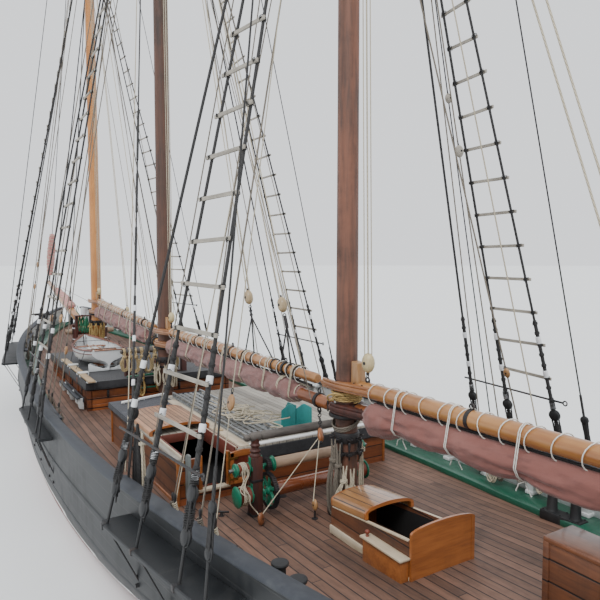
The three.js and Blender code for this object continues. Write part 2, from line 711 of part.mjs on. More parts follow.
function makeUpperBarrel() {
  const { x, upperZ, shaft } = winch;
  return barrelAcross(x, upperZ, [
    [shaft, -930], [shaft, -850], [105, -840], [70, -790], [85, -600], [shaft, -590],
    [shaft, -360], [120, -350], [120, -310], [85, -300], [85, 920], [120, 930], [120, 980],
    [shaft, 990], [shaft, 999], [pinionRadius, 1000], [pinionRadius, 1070], [shaft, 1071],
    [shaft, 1360], [85, 1370], [70, 1560], [105, 1610], [shaft, 1620], [shaft, 1700],
  ]);
}

function makeLowerBarrel() {
  const { x, lowerZ, shaft } = winch;
  const barrel = barrelAcross(x - 60, lowerZ, [
    [165, -870], [165, -820], [130, -810], [130, -600], [shaft, -590], [shaft, -340],
    [110, -330], [110, 960], [shaft, 970], [shaft, 1360], [130, 1370], [130, 1580], [165, 1590],
    [165, 1640],
  ]);
  return join(barrel, barrelAcross(x - 60, lowerZ, [[gearRadius, 1000], [gearRadius, 1070]], 24));
}

const windlass = { x: 10120, z: 2520, postY: 620, shaft: 40 };

function makeWindlassFrame() {
  const { x, z, postY, shaft } = windlass;
  const posts = [-postY, postY].map((y) => block(x - 90, x + 90, y - 80, y + 80, 1500, z + 330));
  const tie = block(x - 80, x - 30, -postY, postY, z + 225, z + 320);
  const bed = block(x - 80, x + 620, -200, 200, 1500, deckAt(x) + 170);
  const sill = block(x - 80, x + 80, -postY, postY, 1500, deckAt(x) + 120);
  const { heelX, heelZ } = bowsprit;
  const heelBitt = block(heelX - 120, heelX + 130, -240, 240, 1500, heelZ + 60);
  const bore = boreAcross(x, z, shaft, 1500);
  return onDeck(cut(join(posts, tie, bed, sill, heelBitt), bore, bowspritCutter));
}

function makeWindlassBarrel() {
  const { x, z, shaft } = windlass;
  return barrelAcross(x, z, [
    [110, -1000], [130, -740], [shaft, -730], [shaft, -510], [150, -500], [150, 500], [shaft, 510],
    [shaft, 730], [130, 740], [110, 1000],
  ]);
}

function makeRudder() {
  const stock = rod([rudderAxisX, 0, rudderFoot], [rudderAxisX, 0, 800], 85, 85, 12);
  const outline = new THREE.Shape();
  outline.moveTo(rudderAxisX, -2400);
  outline.lineTo(rudderAxisX - 1150, -2350);
  outline.quadraticCurveTo(rudderAxisX - 1250, -1300, rudderAxisX - 700, -500);
  outline.lineTo(rudderAxisX, -150);
  outline.closePath();
  const bladeThickness = 120;
  const geometry = new THREE.ExtrudeGeometry(outline, {
    depth: bladeThickness, bevelEnabled: false, curveSegments: 5,
  });
  geometry.rotateX(Math.PI / 2);
  geometry.translate(0, bladeThickness / 2, 0);
  return join(stock, solidOf(geometry));
}

const wheel = { x: -13500, height: 760, radius: 430, shaft: 30, sides: 8 };
const wheelZ = deckAt(wheel.x) + wheel.height;

function makeWheelBox() {
  const { x, shaft, sides } = wheel;
  const body = block(x + 220, x + 900, -240, 240, 1500, wheelZ + 160);
  const bearing = rod([x + 100, 0, wheelZ], [x + 300, 0, wheelZ], 70, 70, sides);
  const round = boreRadius(shaft, sides);
  const bore = rod([x - 100, 0, wheelZ], [x + 500, 0, wheelZ], round, round, sides, Math.PI / sides);
  return onDeck(cut(join(body, bearing), bore));
}

function makeWheel() {
  const { x, radius, shaft, sides } = wheel;
  const rim = new THREE.TorusGeometry(radius - 90, 26, 4, 12);
  rim.rotateY(Math.PI / 2);
  rim.translate(x + 20, 0, wheelZ);
  const parts = [solidOf(rim), rod([x - 40, 0, wheelZ], [x + 80, 0, wheelZ], 70, 70, sides)];
  parts.push(rod([x - 60, 0, wheelZ], [x + 480, 0, wheelZ], shaft, shaft, sides));
  for (let i = 0; i < 6; i += 1) {
    const angle = (i / 6) * 2 * Math.PI;
    const tip = [x + 20, radius * Math.sin(angle), wheelZ + radius * Math.cos(angle)];
    parts.push(rod([x + 20, 0, wheelZ], tip, 20, 16, 4));
  }
  return join(parts);
}

function makePropeller() {
  const x = -12360;
  const hub = join(
    rod([x - 110, 0, propellerZ], [x + 130, 0, propellerZ], 70, 95, 12),
    rod([x + 100, 0, propellerZ], [x + 630, 0, propellerZ], 60, 60, 12),
  );
  const blades = [];
  for (let i = 0; i < 3; i += 1) {
    const blade = new THREE.Shape();
    blade.absellipse(
      0, propellerRadius * 0.53, propellerRadius * 0.26, propellerRadius * 0.47, 0, 2 * Math.PI,
    );
    const geometry = new THREE.ExtrudeGeometry(blade, { depth: 30, bevelEnabled: false, curveSegments: 3 });
    geometry.translate(0, 0, -15);
    geometry.rotateY(Math.PI / 2 - 0.6);
    geometry.rotateX(Math.PI / 2);
    geometry.rotateX((i / 3) * 2 * Math.PI);
    geometry.translate(x, 0, propellerZ);
    blades.push(solidOf(geometry));
  }
  return join(hub, blades);
}

function makeBitts(side) {
  const x = -11100;
  const y = side * 2330;
  const base = block(x - 330, x + 330, y - 110, y + 110, deckAt(x) - 100, deckAt(x) + waterwayHeight + 40);
  const posts = [-190, 190].map((dx) => turned(
    [[0, 1500], [75, 1500], [65, 2230], [100, 2250], [100, 2290], [0, 2290]], x + dx, y, 12,
  ));
  return cut(join(base, posts), waterwayCutter);
}

function makeAnchor(side) {
  const x = 12300;
  const y = side * (breadthAt(x) - 60);
  const z = deckAt(x) + bulwarkHeight + railThickness;
  const shank = rod([x - 800, y, z + 130], [x + 500, y, z + 75], 40, 40, 6);
  const stock = rod([x - 700, y - 420, z + 125], [x - 700, y + 420, z + 125], 30, 30, 6);
  const crown = rod([x + 470, y - 380, z + 75], [x + 470, y + 380, z + 75], 38, 38, 6);
  const flukes = [-1, 1].map((end) => block(
    x + 200, x + 500, y + end * 370 - 60, y + end * 370 + 60, z + 45, z + 75,
  ));
  const feet = [-560, 420].map((dx) => block(x + dx, x + dx + 80, y - 45, y + 45, z - 200, z + 110));
  return cut(join(shank, stock, crown, flukes, feet), railCutter);
}

const railCutter = strip(-15190, 14700, (x) => {
  const y = breadthAt(x) + railOutboard + 5;
  const top = deckAt(x) + bulwarkHeight + railThickness + gap;
  return [[-y, -500], [y, -500], [y, top], [-y, top]];
});

// Assembly
addPiece('hull', makeHull(), colours.hullBlack, 0.6);
addPiece('deck', makeDeck(), colours.teak, 0.8);
addPiece('waterway_port', makeWaterway(), colours.green, 0.5);
addPiece('waterway_starboard', mirrored(makeWaterway()), colours.green, 0.5);
addPiece('bulwark_port', makeBulwark(), colours.white, 0.5);
addPiece('bulwark_starboard', mirrored(makeBulwark()), colours.white, 0.5);
addPiece('taffrail', makeTaffrail(), colours.white, 0.5);
addPiece('bowsprit', bowspritForm(0), colours.paleMast, 0.5);

for (const mast of masts) {
  const pale = mast.name === 'fore' ? colours.paleMast : colours.darkMast;
  addPiece(`mast_${mast.name}`, makeMast(mast), pale, 0.6);
  addPiece(`topmast_${mast.name}`, topmastForm(mast, 0), pale, 0.6);
  addPiece(`boom_${mast.name}`, makeBoom(mast), colours.varnish, 0.4);
  addPiece(`gaff_${mast.name}`, makeGaff(mast), colours.varnish, 0.4);
  addPiece(`sail_${mast.name}`, makeSail(mast), colours.sail, 0.95);
  addPiece(`shrouds_${mast.name}_port`, makeShrouds(mast, 1), colours.black, 0.7);
  addPiece(`shrouds_${mast.name}_starboard`, makeShrouds(mast, -1), colours.black, 0.7);
}

// Each stay: both ends, the radius of its rope, and the size of its eye blocks
const stays = {
  forestay: {
    from: [foreMast.x + 250, 0, foreMast.hounds - 480], to: [14700, 0, spritZ(14700) + 190],
    radius: 20, eye: 160,
  },
  jibstay: { from: jibStayHead, to: jibStayFoot, radius: jibStayRadius, eye: 140 },
  triatic_fore: {
    from: [foreMast.x - 200, 0, foreMast.head - 400], to: [mainMast.x + 560, 0, mainMast.head - 700],
    radius: 14, eye: 120,
  },
  triatic_main: {
    from: [mainMast.x - 200, 0, mainMast.head - 400], to: [mizzenMast.x + 480, 0, mizzenMast.head - 600],
    radius: 14, eye: 120,
  },
};
for (const [name, { from, to, radius, eye }] of Object.entries(stays)) {
  addPiece(name, stay(from, to, radius, eye, stayCutters), colours.black);
}
addPiece('headsail', makeHeadsail(), colours.sail, 0.95);
addPiece('hatch_main', makeHatch(), colours.hatchWood, 0.7);
addPiece('boat', makeBoat(), colours.white, 0.4);
addPiece('deckhouse', makeHouse(), colours.varnish, 0.5);
addPiece('deckhouse_hood', archedHood(
  hood.aftX, hood.foreX, hood.y0, hood.y1, house.roofZ + gap, hood.rise, hood.wall, [-10, -30],
), colours.varnish, 0.4);
addPiece('deckhouse_door', makeDoor(), colours.redBrown, 0.4);
addPiece('gangway', makeGangway(), colours.steel, 0.5, 0.8);
addPiece('light_box', makeLightBox(), colours.teal, 0.5);
addPiece('companion', makeCompanion(), colours.varnish, 0.4);
addPiece('companion_hood', makeCompanionHood(), colours.varnish, 0.4);
addPiece('winch_frame', makeWinchFrame(), colours.redBrown, 0.7);
addPiece('winch_upper_barrel', makeUpperBarrel(), colours.varnish, 0.5);
addPiece('winch_lower_barrel', makeLowerBarrel(), colours.varnish, 0.5);
addPiece('windlass_frame', makeWindlassFrame(), colours.redBrown, 0.7);
addPiece('windlass_barrel', makeWindlassBarrel(), colours.green, 0.5);
addPiece('rudder', makeRudder(), colours.hullBlack, 0.7);
addPiece('wheel_box', makeWheelBox(), colours.varnish, 0.4);
addPiece('wheel', makeWheel(), colours.varnish, 0.4);
addPiece('propeller', makePropeller(), colours.bronze, 0.4, 0.9);
addPiece('bitts_port', makeBitts(1), colours.black, 0.6);
addPiece('bitts_starboard', makeBitts(-1), colours.black, 0.6);
addPiece('anchor_port', makeAnchor(1), colours.black, 0.7);
addPiece('anchor_starboard', makeAnchor(-1), colours.black, 0.7);

export default ship;
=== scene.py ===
# A wooden three-masted gaff schooner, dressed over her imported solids.
# Metres. +X points to the bow, +Y to port, +Z up, and the waterline is at zero.
import math
import random

import bmesh
import bpy
import numpy as np
from mathutils import Matrix, Vector, noise


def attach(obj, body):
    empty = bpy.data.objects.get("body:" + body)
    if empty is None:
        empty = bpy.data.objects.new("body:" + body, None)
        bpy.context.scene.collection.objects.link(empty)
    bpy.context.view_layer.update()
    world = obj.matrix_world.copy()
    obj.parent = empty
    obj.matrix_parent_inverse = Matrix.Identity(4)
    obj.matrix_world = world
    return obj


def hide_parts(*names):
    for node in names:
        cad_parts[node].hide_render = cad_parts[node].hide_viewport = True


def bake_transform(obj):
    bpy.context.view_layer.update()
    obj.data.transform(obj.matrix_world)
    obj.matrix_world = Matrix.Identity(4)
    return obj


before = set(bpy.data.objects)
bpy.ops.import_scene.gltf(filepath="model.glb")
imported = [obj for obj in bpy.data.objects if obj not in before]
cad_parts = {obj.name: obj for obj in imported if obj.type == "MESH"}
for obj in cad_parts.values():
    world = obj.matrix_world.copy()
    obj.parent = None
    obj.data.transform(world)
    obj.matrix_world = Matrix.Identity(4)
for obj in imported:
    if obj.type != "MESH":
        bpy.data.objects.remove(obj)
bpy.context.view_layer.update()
draw = random.Random(41)
turn = 2 * math.pi

# Camera, floor and light
cameraPlan = {
    "place": (-16.21, 5.30, 5.5), "toStarboard": 31.3, "down": 3.73, "lens": 35.0,
    "skyTone": (0.88, 0.90, 0.93), "skyStrength": 1.4,
    "sunStrength": 2.0, "sunAngle": 24.0,
}


def placeCamera(plan):
    cameraData = bpy.data.cameras.new("viewCamera")
    cameraData.lens = plan["lens"]
    cameraData.sensor_width = 36.0
    cameraData.clip_end = 2000.0
    camera = bpy.data.objects.new("viewCamera", cameraData)
    heading, dip = math.radians(plan["toStarboard"]), math.radians(plan["down"])
    ahead = Vector((math.cos(heading) * math.cos(dip), -math.sin(heading) * math.cos(dip), -math.sin(dip)))
    camera.location = plan["place"]
    camera.rotation_mode = "QUATERNION"
    camera.rotation_quaternion = ahead.to_track_quat("-Z", "Y")
    bpy.context.scene.collection.objects.link(camera)
    bpy.context.scene.camera = camera


placeCamera(cameraPlan)


# Node helpers
def addNode(tree, kind, settings=None, inputs=None):
    node = tree.nodes.new("ShaderNode" + kind)
    for key, value in (settings or {}).items():
        setattr(node, key, value)
    for key, value in (inputs or {}).items():
        if isinstance(value, bpy.types.NodeSocket):
            tree.links.new(value, node.inputs[key])
        else:
            node.inputs[key].default_value = value
    return node


def mathOf(tree, operation, first, second=0.0, clamp=False):
    return addNode(tree, "Math", {"operation": operation, "use_clamp": clamp},
                   {0: first, 1: second}).outputs[0]


def mixOf(tree, share, first, second, blend="MIX"):
    node = addNode(tree, "Mix", {"data_type": "RGBA", "blend_type": blend}, {0: share, 6: first, 7: second})
    return node.outputs[2]


def rampOf(tree, value, low, high):
    node = addNode(tree, "MapRange", {"interpolation_type": "SMOOTHSTEP"},
                   {"Value": value, "From Min": low, "From Max": high})
    return node.outputs["Result"]


def noiseOf(tree, vector, scale, detail=4.0, roughness=0.55):
    node = addNode(tree, "TexNoise", None,
                   {"Vector": vector, "Scale": scale, "Detail": detail, "Roughness": roughness})
    return node.outputs["Fac"]


def stretched(tree, vector, scale):
    return addNode(tree, "Mapping", None, {"Vector": vector, "Scale": scale}).outputs["Vector"]


def makeGroup(name, inputs, outputs):
    tree = bpy.data.node_groups.new(name, "ShaderNodeTree")
    for socketName, kind, value in inputs:
        socket = tree.interface.new_socket(name=socketName, in_out="INPUT", socket_type="NodeSocket" + kind)
        if value is not None:
            socket.default_value = value
    for socketName, kind in outputs:
        tree.interface.new_socket(name=socketName, in_out="OUTPUT", socket_type="NodeSocket" + kind)
    entry = tree.nodes.new("NodeGroupInput")
    leave = tree.nodes.new("NodeGroupOutput")
    return tree, entry.outputs, leave.inputs


def useGroup(tree, group, inputs):
    node = tree.nodes.new("ShaderNodeGroup")
    node.node_tree = group
    for key, value in inputs.items():
        if isinstance(value, bpy.types.NodeSocket):
            tree.links.new(value, node.inputs[key])
        else:
            node.inputs[key].default_value = value
    return node.outputs


def makeWoodFigure():
    # Long grain along X of the incoming vector, with soft patches of the darker tone.
    tree, entry, leave = makeGroup("woodFigure", [
        ("Vector", "Vector", None), ("Light", "Color", None), ("Dark", "Color", None),
        ("Grain", "Float", 9.0), ("Patches", "Float", 0.7)], [("Color", "Color"), ("Height", "Float")])
    along = stretched(tree, entry["Vector"], (0.09, 1.0, 1.0))
    scaled = mathOf(tree, "MULTIPLY", entry["Grain"], 4.0)
    fine = noiseOf(tree, along, scaled, 5.0, 0.65)
    broad = noiseOf(tree, along, entry["Grain"], 3.0, 0.5)
    patch = noiseOf(tree, entry["Vector"], entry["Patches"], 3.0, 0.6)
    figure = mathOf(tree, "ADD", mathOf(tree, "MULTIPLY", fine, 0.45), mathOf(tree, "MULTIPLY", broad, 0.55))
    share = mathOf(tree, "ADD", mathOf(tree, "MULTIPLY", rampOf(tree, figure, 0.38, 0.66), 0.6),
                   mathOf(tree, "MULTIPLY", rampOf(tree, patch, 0.42, 0.68), 0.4))
    colour = mixOf(tree, share, entry["Light"], entry["Dark"])
    tree.links.new(colour, leave["Color"])
    tree.links.new(fine, leave["Height"])
    return tree


def makePlankLay():
    # Planks side by side along one axis, with butts along the other and a tone of their own.
    tree, entry, leave = makeGroup("plankLay", [
        ("Across", "Float", None), ("Along", "Float", None), ("Width", "Float", 0.1),
        ("Length", "Float", 5.0), ("Seam", "Float", 0.05)], [("Seam", "Float"), ("Tone", "Float")])
    place = mathOf(tree, "DIVIDE", entry["Across"], entry["Width"])
    index = mathOf(tree, "FLOOR", place)
    inside = mathOf(tree, "SUBTRACT", place, index)
    edge = mathOf(tree, "ABSOLUTE", mathOf(tree, "SUBTRACT", inside, 0.5))
    half = mathOf(tree, "SUBTRACT", 0.5, mathOf(tree, "MULTIPLY", entry["Seam"], 0.5))
    side = rampOf(tree, edge, mathOf(tree, "SUBTRACT", half, 0.03), half)
    shift = addNode(tree, "TexWhiteNoise", {"noise_dimensions": "1D"}, {"W": index}).outputs["Value"]
    run = mathOf(tree, "ADD", mathOf(tree, "DIVIDE", entry["Along"], entry["Length"]), shift)
    board = mathOf(tree, "FLOOR", run)
    end = mathOf(tree, "SUBTRACT", run, board)
    butt = mathOf(tree, "LESS_THAN", mathOf(tree, "MULTIPLY", end, entry["Length"]), 0.012)
    mark = mathOf(tree, "ADD", mathOf(tree, "MULTIPLY", index, 7.31), mathOf(tree, "MULTIPLY", board, 3.17))
    tone = addNode(tree, "TexWhiteNoise", {"noise_dimensions": "1D"}, {"W": mark}).outputs["Value"]
    tree.links.new(mathOf(tree, "MAXIMUM", side, butt), leave["Seam"])
    tree.links.new(tone, leave["Tone"])
    return tree


def makeWeathering():
    # Stains in patches and in runs that follow the vertical, and a fine unevenness.
    tree, entry, leave = makeGroup("weathering", [
        ("Vector", "Vector", None), ("Color", "Color", None), ("Stain", "Color", None),
        ("Amount", "Float", 0.4), ("Scale", "Float", 1.5)],
        [("Color", "Color"), ("Mask", "Float"), ("Height", "Float")])
    patch = noiseOf(tree, entry["Vector"], entry["Scale"], 6.0, 0.7)
    runs = noiseOf(tree, stretched(tree, entry["Vector"], (3.0, 3.0, 0.35)), entry["Scale"], 5.0, 0.6)
    fine = noiseOf(tree, entry["Vector"], 38.0, 3.0, 0.6)
    both = mathOf(tree, "ADD", mathOf(tree, "MULTIPLY", patch, 0.55), mathOf(tree, "MULTIPLY", runs, 0.45))
    mask = mathOf(tree, "MULTIPLY", rampOf(tree, both, 0.46, 0.68), entry["Amount"])
    specks = mathOf(tree, "MULTIPLY", rampOf(tree, fine, 0.6, 0.8),
                    mathOf(tree, "MULTIPLY", entry["Amount"], 0.35))
    total = mathOf(tree, "MAXIMUM", mask, specks)
    tree.links.new(mixOf(tree, total, entry["Color"], entry["Stain"]), leave["Color"])
    tree.links.new(total, leave["Mask"])
    tree.links.new(fine, leave["Height"])
    return tree


def makeRopeLay():
    # Strands that wind round a rope: its UV runs along it in metres and once round it.
    tree, entry, leave = makeGroup("ropeLay", [
        ("Vector", "Vector", None), ("Pitch", "Float", 0.09)], [("Shade", "Float"), ("Height", "Float")])
    parts = addNode(tree, "SeparateXYZ", None, {0: entry["Vector"]}).outputs
    wound = mathOf(tree, "ADD", mathOf(tree, "DIVIDE", parts[0], entry["Pitch"]),
                   mathOf(tree, "MULTIPLY", parts[1], 3.0))
    wave = mathOf(tree, "ABSOLUTE", mathOf(tree, "SINE", mathOf(tree, "MULTIPLY", wound, math.pi)))
    fray = noiseOf(tree, stretched(tree, entry["Vector"], (6.0, 2.0, 1.0)), 6.0, 4.0, 0.7)
    # The grooves between strands take the dark tone: painted shade, with fray noise breaking it up
    tree.links.new(mathOf(tree, "MULTIPLY", rampOf(tree, wave, 0.0, 0.55), rampOf(tree, fray, 0.1, 0.55)),
                   leave["Shade"])
    tree.links.new(mathOf(tree, "POWER", wave, 0.6), leave["Height"])
    return tree


def makeClothFace():
    # Weave, soft creases, and faded and damp places.
    tree, entry, leave = makeGroup("clothFace", [
        ("Vector", "Vector", None), ("Color", "Color", None), ("Faded", "Color", None),
        ("Damp", "Color", None)],
        [("Color", "Color"), ("Height", "Float")])
    threads = addNode(tree, "TexWave", {"wave_type": "BANDS", "bands_direction": "X"},
                      {"Vector": entry["Vector"], "Scale": 70.0, "Distortion": 1.5,
                       "Detail": 1.0}).outputs["Fac"]
    cross = addNode(tree, "TexWave", {"wave_type": "BANDS", "bands_direction": "Z"},
                    {"Vector": entry["Vector"], "Scale": 70.0, "Distortion": 1.5,
                     "Detail": 1.0}).outputs["Fac"]
    patch = noiseOf(tree, entry["Vector"], 1.3, 5.0, 0.65)
    folds = noiseOf(tree, stretched(tree, entry["Vector"], (0.8, 2.0, 2.6)), 3.2, 4.0, 0.6)
    faded = mixOf(tree, mathOf(tree, "MULTIPLY", rampOf(tree, patch, 0.45, 0.75), 0.7), entry["Color"],
                  entry["Faded"])
    colour = mixOf(tree, mathOf(tree, "MULTIPLY", rampOf(tree, folds, 0.5, 0.72), 0.6), faded, entry["Damp"])
    tree.links.new(colour, leave["Color"])
    weave = mathOf(tree, "MULTIPLY", mathOf(tree, "ADD", threads, cross), 0.04)
    tree.links.new(mathOf(tree, "ADD", weave, folds), leave["Height"])
    return tree


woodFigure, plankLay, weathering = makeWoodFigure(), makePlankLay(), makeWeathering()
ropeLay, clothFace = makeRopeLay(), makeClothFace()


def newMaterial(name, roughness, metallic=0.0, coat=0.0):
    material = bpy.data.materials.new(name)
    material.use_nodes = True
    tree = material.node_tree
    shader = tree.nodes["Principled BSDF"]
    shader.inputs["Roughness"].default_value = roughness
    shader.inputs["Metallic"].default_value = metallic
    shader.inputs["Coat Weight"].default_value = coat
    shader.inputs["Coat Roughness"].default_value = 0.12
    coords = tree.nodes.new("ShaderNodeTexCoord").outputs
    return material, tree, shader.inputs, coords


def setBump(tree, shader, height, strength, distance):
    bump = addNode(tree, "Bump", None, {"Height": height, "Strength": strength, "Distance": distance})
    tree.links.new(bump.outputs["Normal"], shader["Normal"])


def colourOf(red, green, blue):
    # From screen tones of 0 to 255 to linear light
    tones = (red, green, blue)
    return tuple(((c / 255 + 0.055) / 1.055) ** 2.4 if c > 10 else c / 255 / 12.92 for c in tones) + (1.0,)


# Which way a wood's grain runs: turns that bring X, Y or Z of the piece onto the figure's X
grainTurns = {"X": (0, 0, 0), "Y": (0, 0, -math.pi / 2), "Z": (0, math.pi / 2, 0)}


def woodFinish(name, light, dark, roughness, grain="X", coat=0.0, planks=None, stain=(40, 32, 28), worn=0.35,
               figure=9.0):
    material, tree, shader, coords = newMaterial(name, roughness, coat=coat)
    turned = addNode(tree, "Mapping", None, {"Vector": coords["Object"],
                                             "Rotation": grainTurns[grain]}).outputs[0]
    wood = useGroup(tree, woodFigure, {"Vector": turned, "Light": colourOf(*light), "Dark": colourOf(*dark),
                                       "Grain": figure})
    aged = useGroup(tree, weathering, {"Vector": coords["Object"], "Color": wood["Color"],
                                       "Stain": colourOf(*stain),
                                       "Amount": worn, "Scale": 1.1})
    colour, height = aged["Color"], wood["Height"]
    if planks:
        parts = addNode(tree, "SeparateXYZ", None, {0: coords["Object"]}).outputs
        boards = useGroup(tree, plankLay, {
            "Across": parts["XYZ".index(planks["across"])], "Along": parts["XYZ".index(grain)],
            "Width": planks["width"], "Length": planks.get("length", 6.0), "Seam": planks.get("seam", 0.08)})
        lift = mathOf(tree, "ADD", mathOf(tree, "MULTIPLY", boards["Tone"], 0.5), 0.72)
        toned = mixOf(tree, 1.0, colour, addNode(tree, "CombineColor", None,
                                                 {0: lift, 1: lift, 2: lift}).outputs[0], "MULTIPLY")
        colour = mixOf(tree, boards["Seam"], toned, colourOf(*planks.get("seamTone", (22, 19, 18))))
        height = mathOf(tree, "SUBTRACT", mathOf(tree, "MULTIPLY", height, 0.15), boards["Seam"])
    tree.links.new(colour, shader["Base Color"])
    rough = mathOf(tree, "ADD", mathOf(tree, "MULTIPLY", aged["Mask"], 0.35), roughness, True)
    tree.links.new(rough, shader["Roughness"])
    setBump(tree, shader, height, 0.5 if planks else 0.25, 0.006 if planks else 0.004)
    return material


def paintFinish(name, paint, stain, roughness=0.4, worn=0.35, coat=0.0, metallic=0.0, scale=1.4, planks=None):
    material, tree, shader, coords = newMaterial(name, roughness, metallic, coat)
    aged = useGroup(tree, weathering, {"Vector": coords["Object"], "Color": colourOf(*paint),
                                       "Stain": colourOf(*stain),
                                       "Amount": worn, "Scale": scale})
    colour, height = aged["Color"], aged["Height"]
    if planks:
        parts = addNode(tree, "SeparateXYZ", None, {0: coords["Object"]}).outputs
        boards = useGroup(tree, plankLay, {
            "Across": parts["XYZ".index(planks["across"])], "Along": parts[planks.get("along", 0)],
            "Width": planks["width"], "Length": planks.get("length", 6.0), "Seam": planks.get("seam", 0.06)})
        colour = mixOf(tree, mathOf(tree, "MULTIPLY", boards["Seam"], planks.get("depth", 0.7)), colour,
                       colourOf(*stain))
        height = mathOf(tree, "SUBTRACT", mathOf(tree, "MULTIPLY", height, 0.1), boards["Seam"])
    tree.links.new(colour, shader["Base Color"])
    rough = mathOf(tree, "ADD", mathOf(tree, "MULTIPLY", aged["Mask"], 0.4), roughness, True)
    tree.links.new(rough, shader["Roughness"])
    setBump(tree, shader, height, 0.35, 0.003)
    return material


def ropeFinish(name, light, dark, pitch=0.09, roughness=0.9):
    material, tree, shader, coords = newMaterial(name, roughness)
    lay = useGroup(tree, ropeLay, {"Vector": coords["UV"], "Pitch": pitch})
    # Crowns of the strands take the light tone and the grooves the dark one: painted shade
    colour = mixOf(tree, lay["Shade"], colourOf(*dark), colourOf(*light))
    aged = useGroup(tree, weathering, {"Vector": coords["Object"], "Color": colour, "Stain": colourOf(*dark),
                                       "Amount": 0.3, "Scale": 2.5})
    tree.links.new(aged["Color"], shader["Base Color"])
    setBump(tree, shader, lay["Height"], 0.7, 0.004)
    return material


def clothFinish(name, cloth, faded, damp, roughness=0.85, sheen=0.25):
    material, tree, shader, coords = newMaterial(name, roughness)
    shader["Sheen Weight"].default_value = sheen
    face = useGroup(tree, clothFace, {"Vector": coords["Object"], "Color": colourOf(*cloth),
                                      "Faded": colourOf(*faded), "Damp": colourOf(*damp)})
    tree.links.new(face["Color"], shader["Base Color"])
    setBump(tree, shader, face["Height"], 0.5, 0.02)
    return material


# Finishes, in the tones that the ship shows
tarBlack = paintFinish("tarBlack", (26, 27, 29), (58, 56, 54), 0.55, 0.4, scale=4.0)
ironBlack = paintFinish("ironBlack", (28, 28, 30), (86, 62, 48), 0.5, 0.35, scale=6.0)
hullBlack = paintFinish("hullBlack", (22, 25, 28), (58, 58, 56), 0.5, 0.3,
                        planks={"across": "Z", "width": 0.2, "seam": 0.05, "depth": 0.35})
bottomRed = paintFinish("bottomRed", (112, 42, 34), (64, 48, 40), 0.6, 0.5)
stripeWhite = paintFinish("stripeWhite", (214, 216, 212), (150, 146, 136), 0.4, 0.3)
bulwarkWhite = paintFinish("bulwarkWhite", (196, 200, 200), (146, 146, 138), 0.42, 0.4,
                           planks={"across": "Z", "width": 0.19, "seam": 0.07})
postWhite = paintFinish("postWhite", (206, 209, 208), (138, 132, 120), 0.42, 0.35, scale=3.0)
greenPaint = paintFinish("greenPaint", (24, 82, 62), (16, 50, 42), 0.33, 0.45, coat=0.3, scale=2.2)
castGreen = paintFinish("castGreen", (20, 112, 84), (30, 56, 44), 0.35, 0.4, coat=0.3, scale=7.0)
tealPaint = paintFinish("tealPaint", (36, 140, 138), (22, 84, 86), 0.45, 0.35, scale=3.0)
railGrey = paintFinish("railGrey", (46, 50, 57), (84, 86, 88), 0.6, 0.5, scale=3.5)
capWhite = paintFinish("capWhite", (224, 224, 222), (160, 158, 150), 0.45, 0.3, scale=4.0)
boatWhite = paintFinish("boatWhite", (214, 217, 218), (158, 160, 158), 0.32, 0.3, coat=0.2)
whiteBand = paintFinish("whiteBand", (222, 224, 226), (140, 138, 134), 0.55, 0.35, scale=9.0)
alloy = paintFinish("alloy", (158, 162, 164), (108, 110, 110), 0.36, 0.4, metallic=0.85, scale=6.0)
bronze = paintFinish("bronze", (150, 112, 60), (84, 92, 66), 0.38, 0.45, metallic=0.9, scale=6.0)
# Near-black finish for insides, painted shade where only shadow is seen
insideDark = paintFinish("insideDark", (14, 13, 13), (24, 20, 18), 0.9, 0.3)
deckWood = woodFinish("deckWood", (119, 88, 72), (83, 61, 50), 0.62, "X", planks={
    "across": "Y", "width": 0.15, "length": 6.2, "seam": 0.075, "seamTone": (30, 26, 25)}, stain=(66, 56, 52),
    worn=0.45)
mastDark = woodFinish("mastDark", (122, 78, 59), (61, 48, 42), 0.5, "Z", stain=(44, 38, 36), worn=0.75,
                      figure=5.0)
mastMain = woodFinish("mastMain", (94, 62, 48), (58, 44, 38), 0.5, "Z", stain=(52, 48, 46), worn=0.6,
                      figure=5.0)
mastPale = woodFinish("mastPale", (198, 134, 70), (160, 100, 50), 0.38, "Z", coat=0.3, stain=(120, 84, 58),
                      worn=0.3, figure=4.0)
sparVarnish = woodFinish("sparVarnish", (171, 123, 71), (139, 86, 43), 0.32, "X", coat=0.5,
                         stain=(112, 64, 34), worn=0.4, figure=5.0)
boomVarnish = woodFinish("boomVarnish", (151, 93, 53), (108, 58, 33), 0.36, "X", coat=0.4, stain=(74, 46, 32),
                         worn=0.5, figure=6.0)
jawOak = woodFinish("jawOak", (164, 113, 70), (124, 75, 42), 0.38, "X", coat=0.35, stain=(96, 58, 34),
                    worn=0.35, figure=12.0)
hatchTeak = woodFinish("hatchTeak", (132, 74, 40), (84, 46, 29), 0.5, "X", stain=(54, 36, 28), worn=0.55,
                       planks={
    "across": "Z", "width": 0.25, "length": 9.0, "seam": 0.09, "seamTone": (16, 12, 10)})
hatchTeakAcross = woodFinish("hatchTeakAcross", (146, 82, 40), (94, 52, 29), 0.45, "Y", stain=(54, 36, 28),
                             worn=0.5, planks={
    "across": "Z", "width": 0.25, "length": 9.0, "seam": 0.09, "seamTone": (16, 12, 10)})
houseTeak = woodFinish("houseTeak", (138, 77, 44), (94, 52, 33), 0.36, "Y", coat=0.4, stain=(60, 40, 30),
                       worn=0.45, planks={
    "across": "Z", "width": 0.23, "length": 9.0, "seam": 0.05})
# A darker copy of houseTeak for the side walls: painted shade
houseSides = woodFinish("houseSides", (122, 76, 50), (78, 50, 38), 0.42, "X", coat=0.4, stain=(60, 40, 30),
                        worn=0.45, planks={
    "across": "Z", "width": 0.23, "length": 9.0, "seam": 0.05})
hoodBare = woodFinish("hoodBare", (175, 134, 103), (140, 101, 77), 0.5, "X", stain=(116, 104, 94), worn=0.45,
                      planks={
    "across": "Y", "width": 0.085, "length": 9.0, "seam": 0.12, "seamTone": (58, 44, 38)})
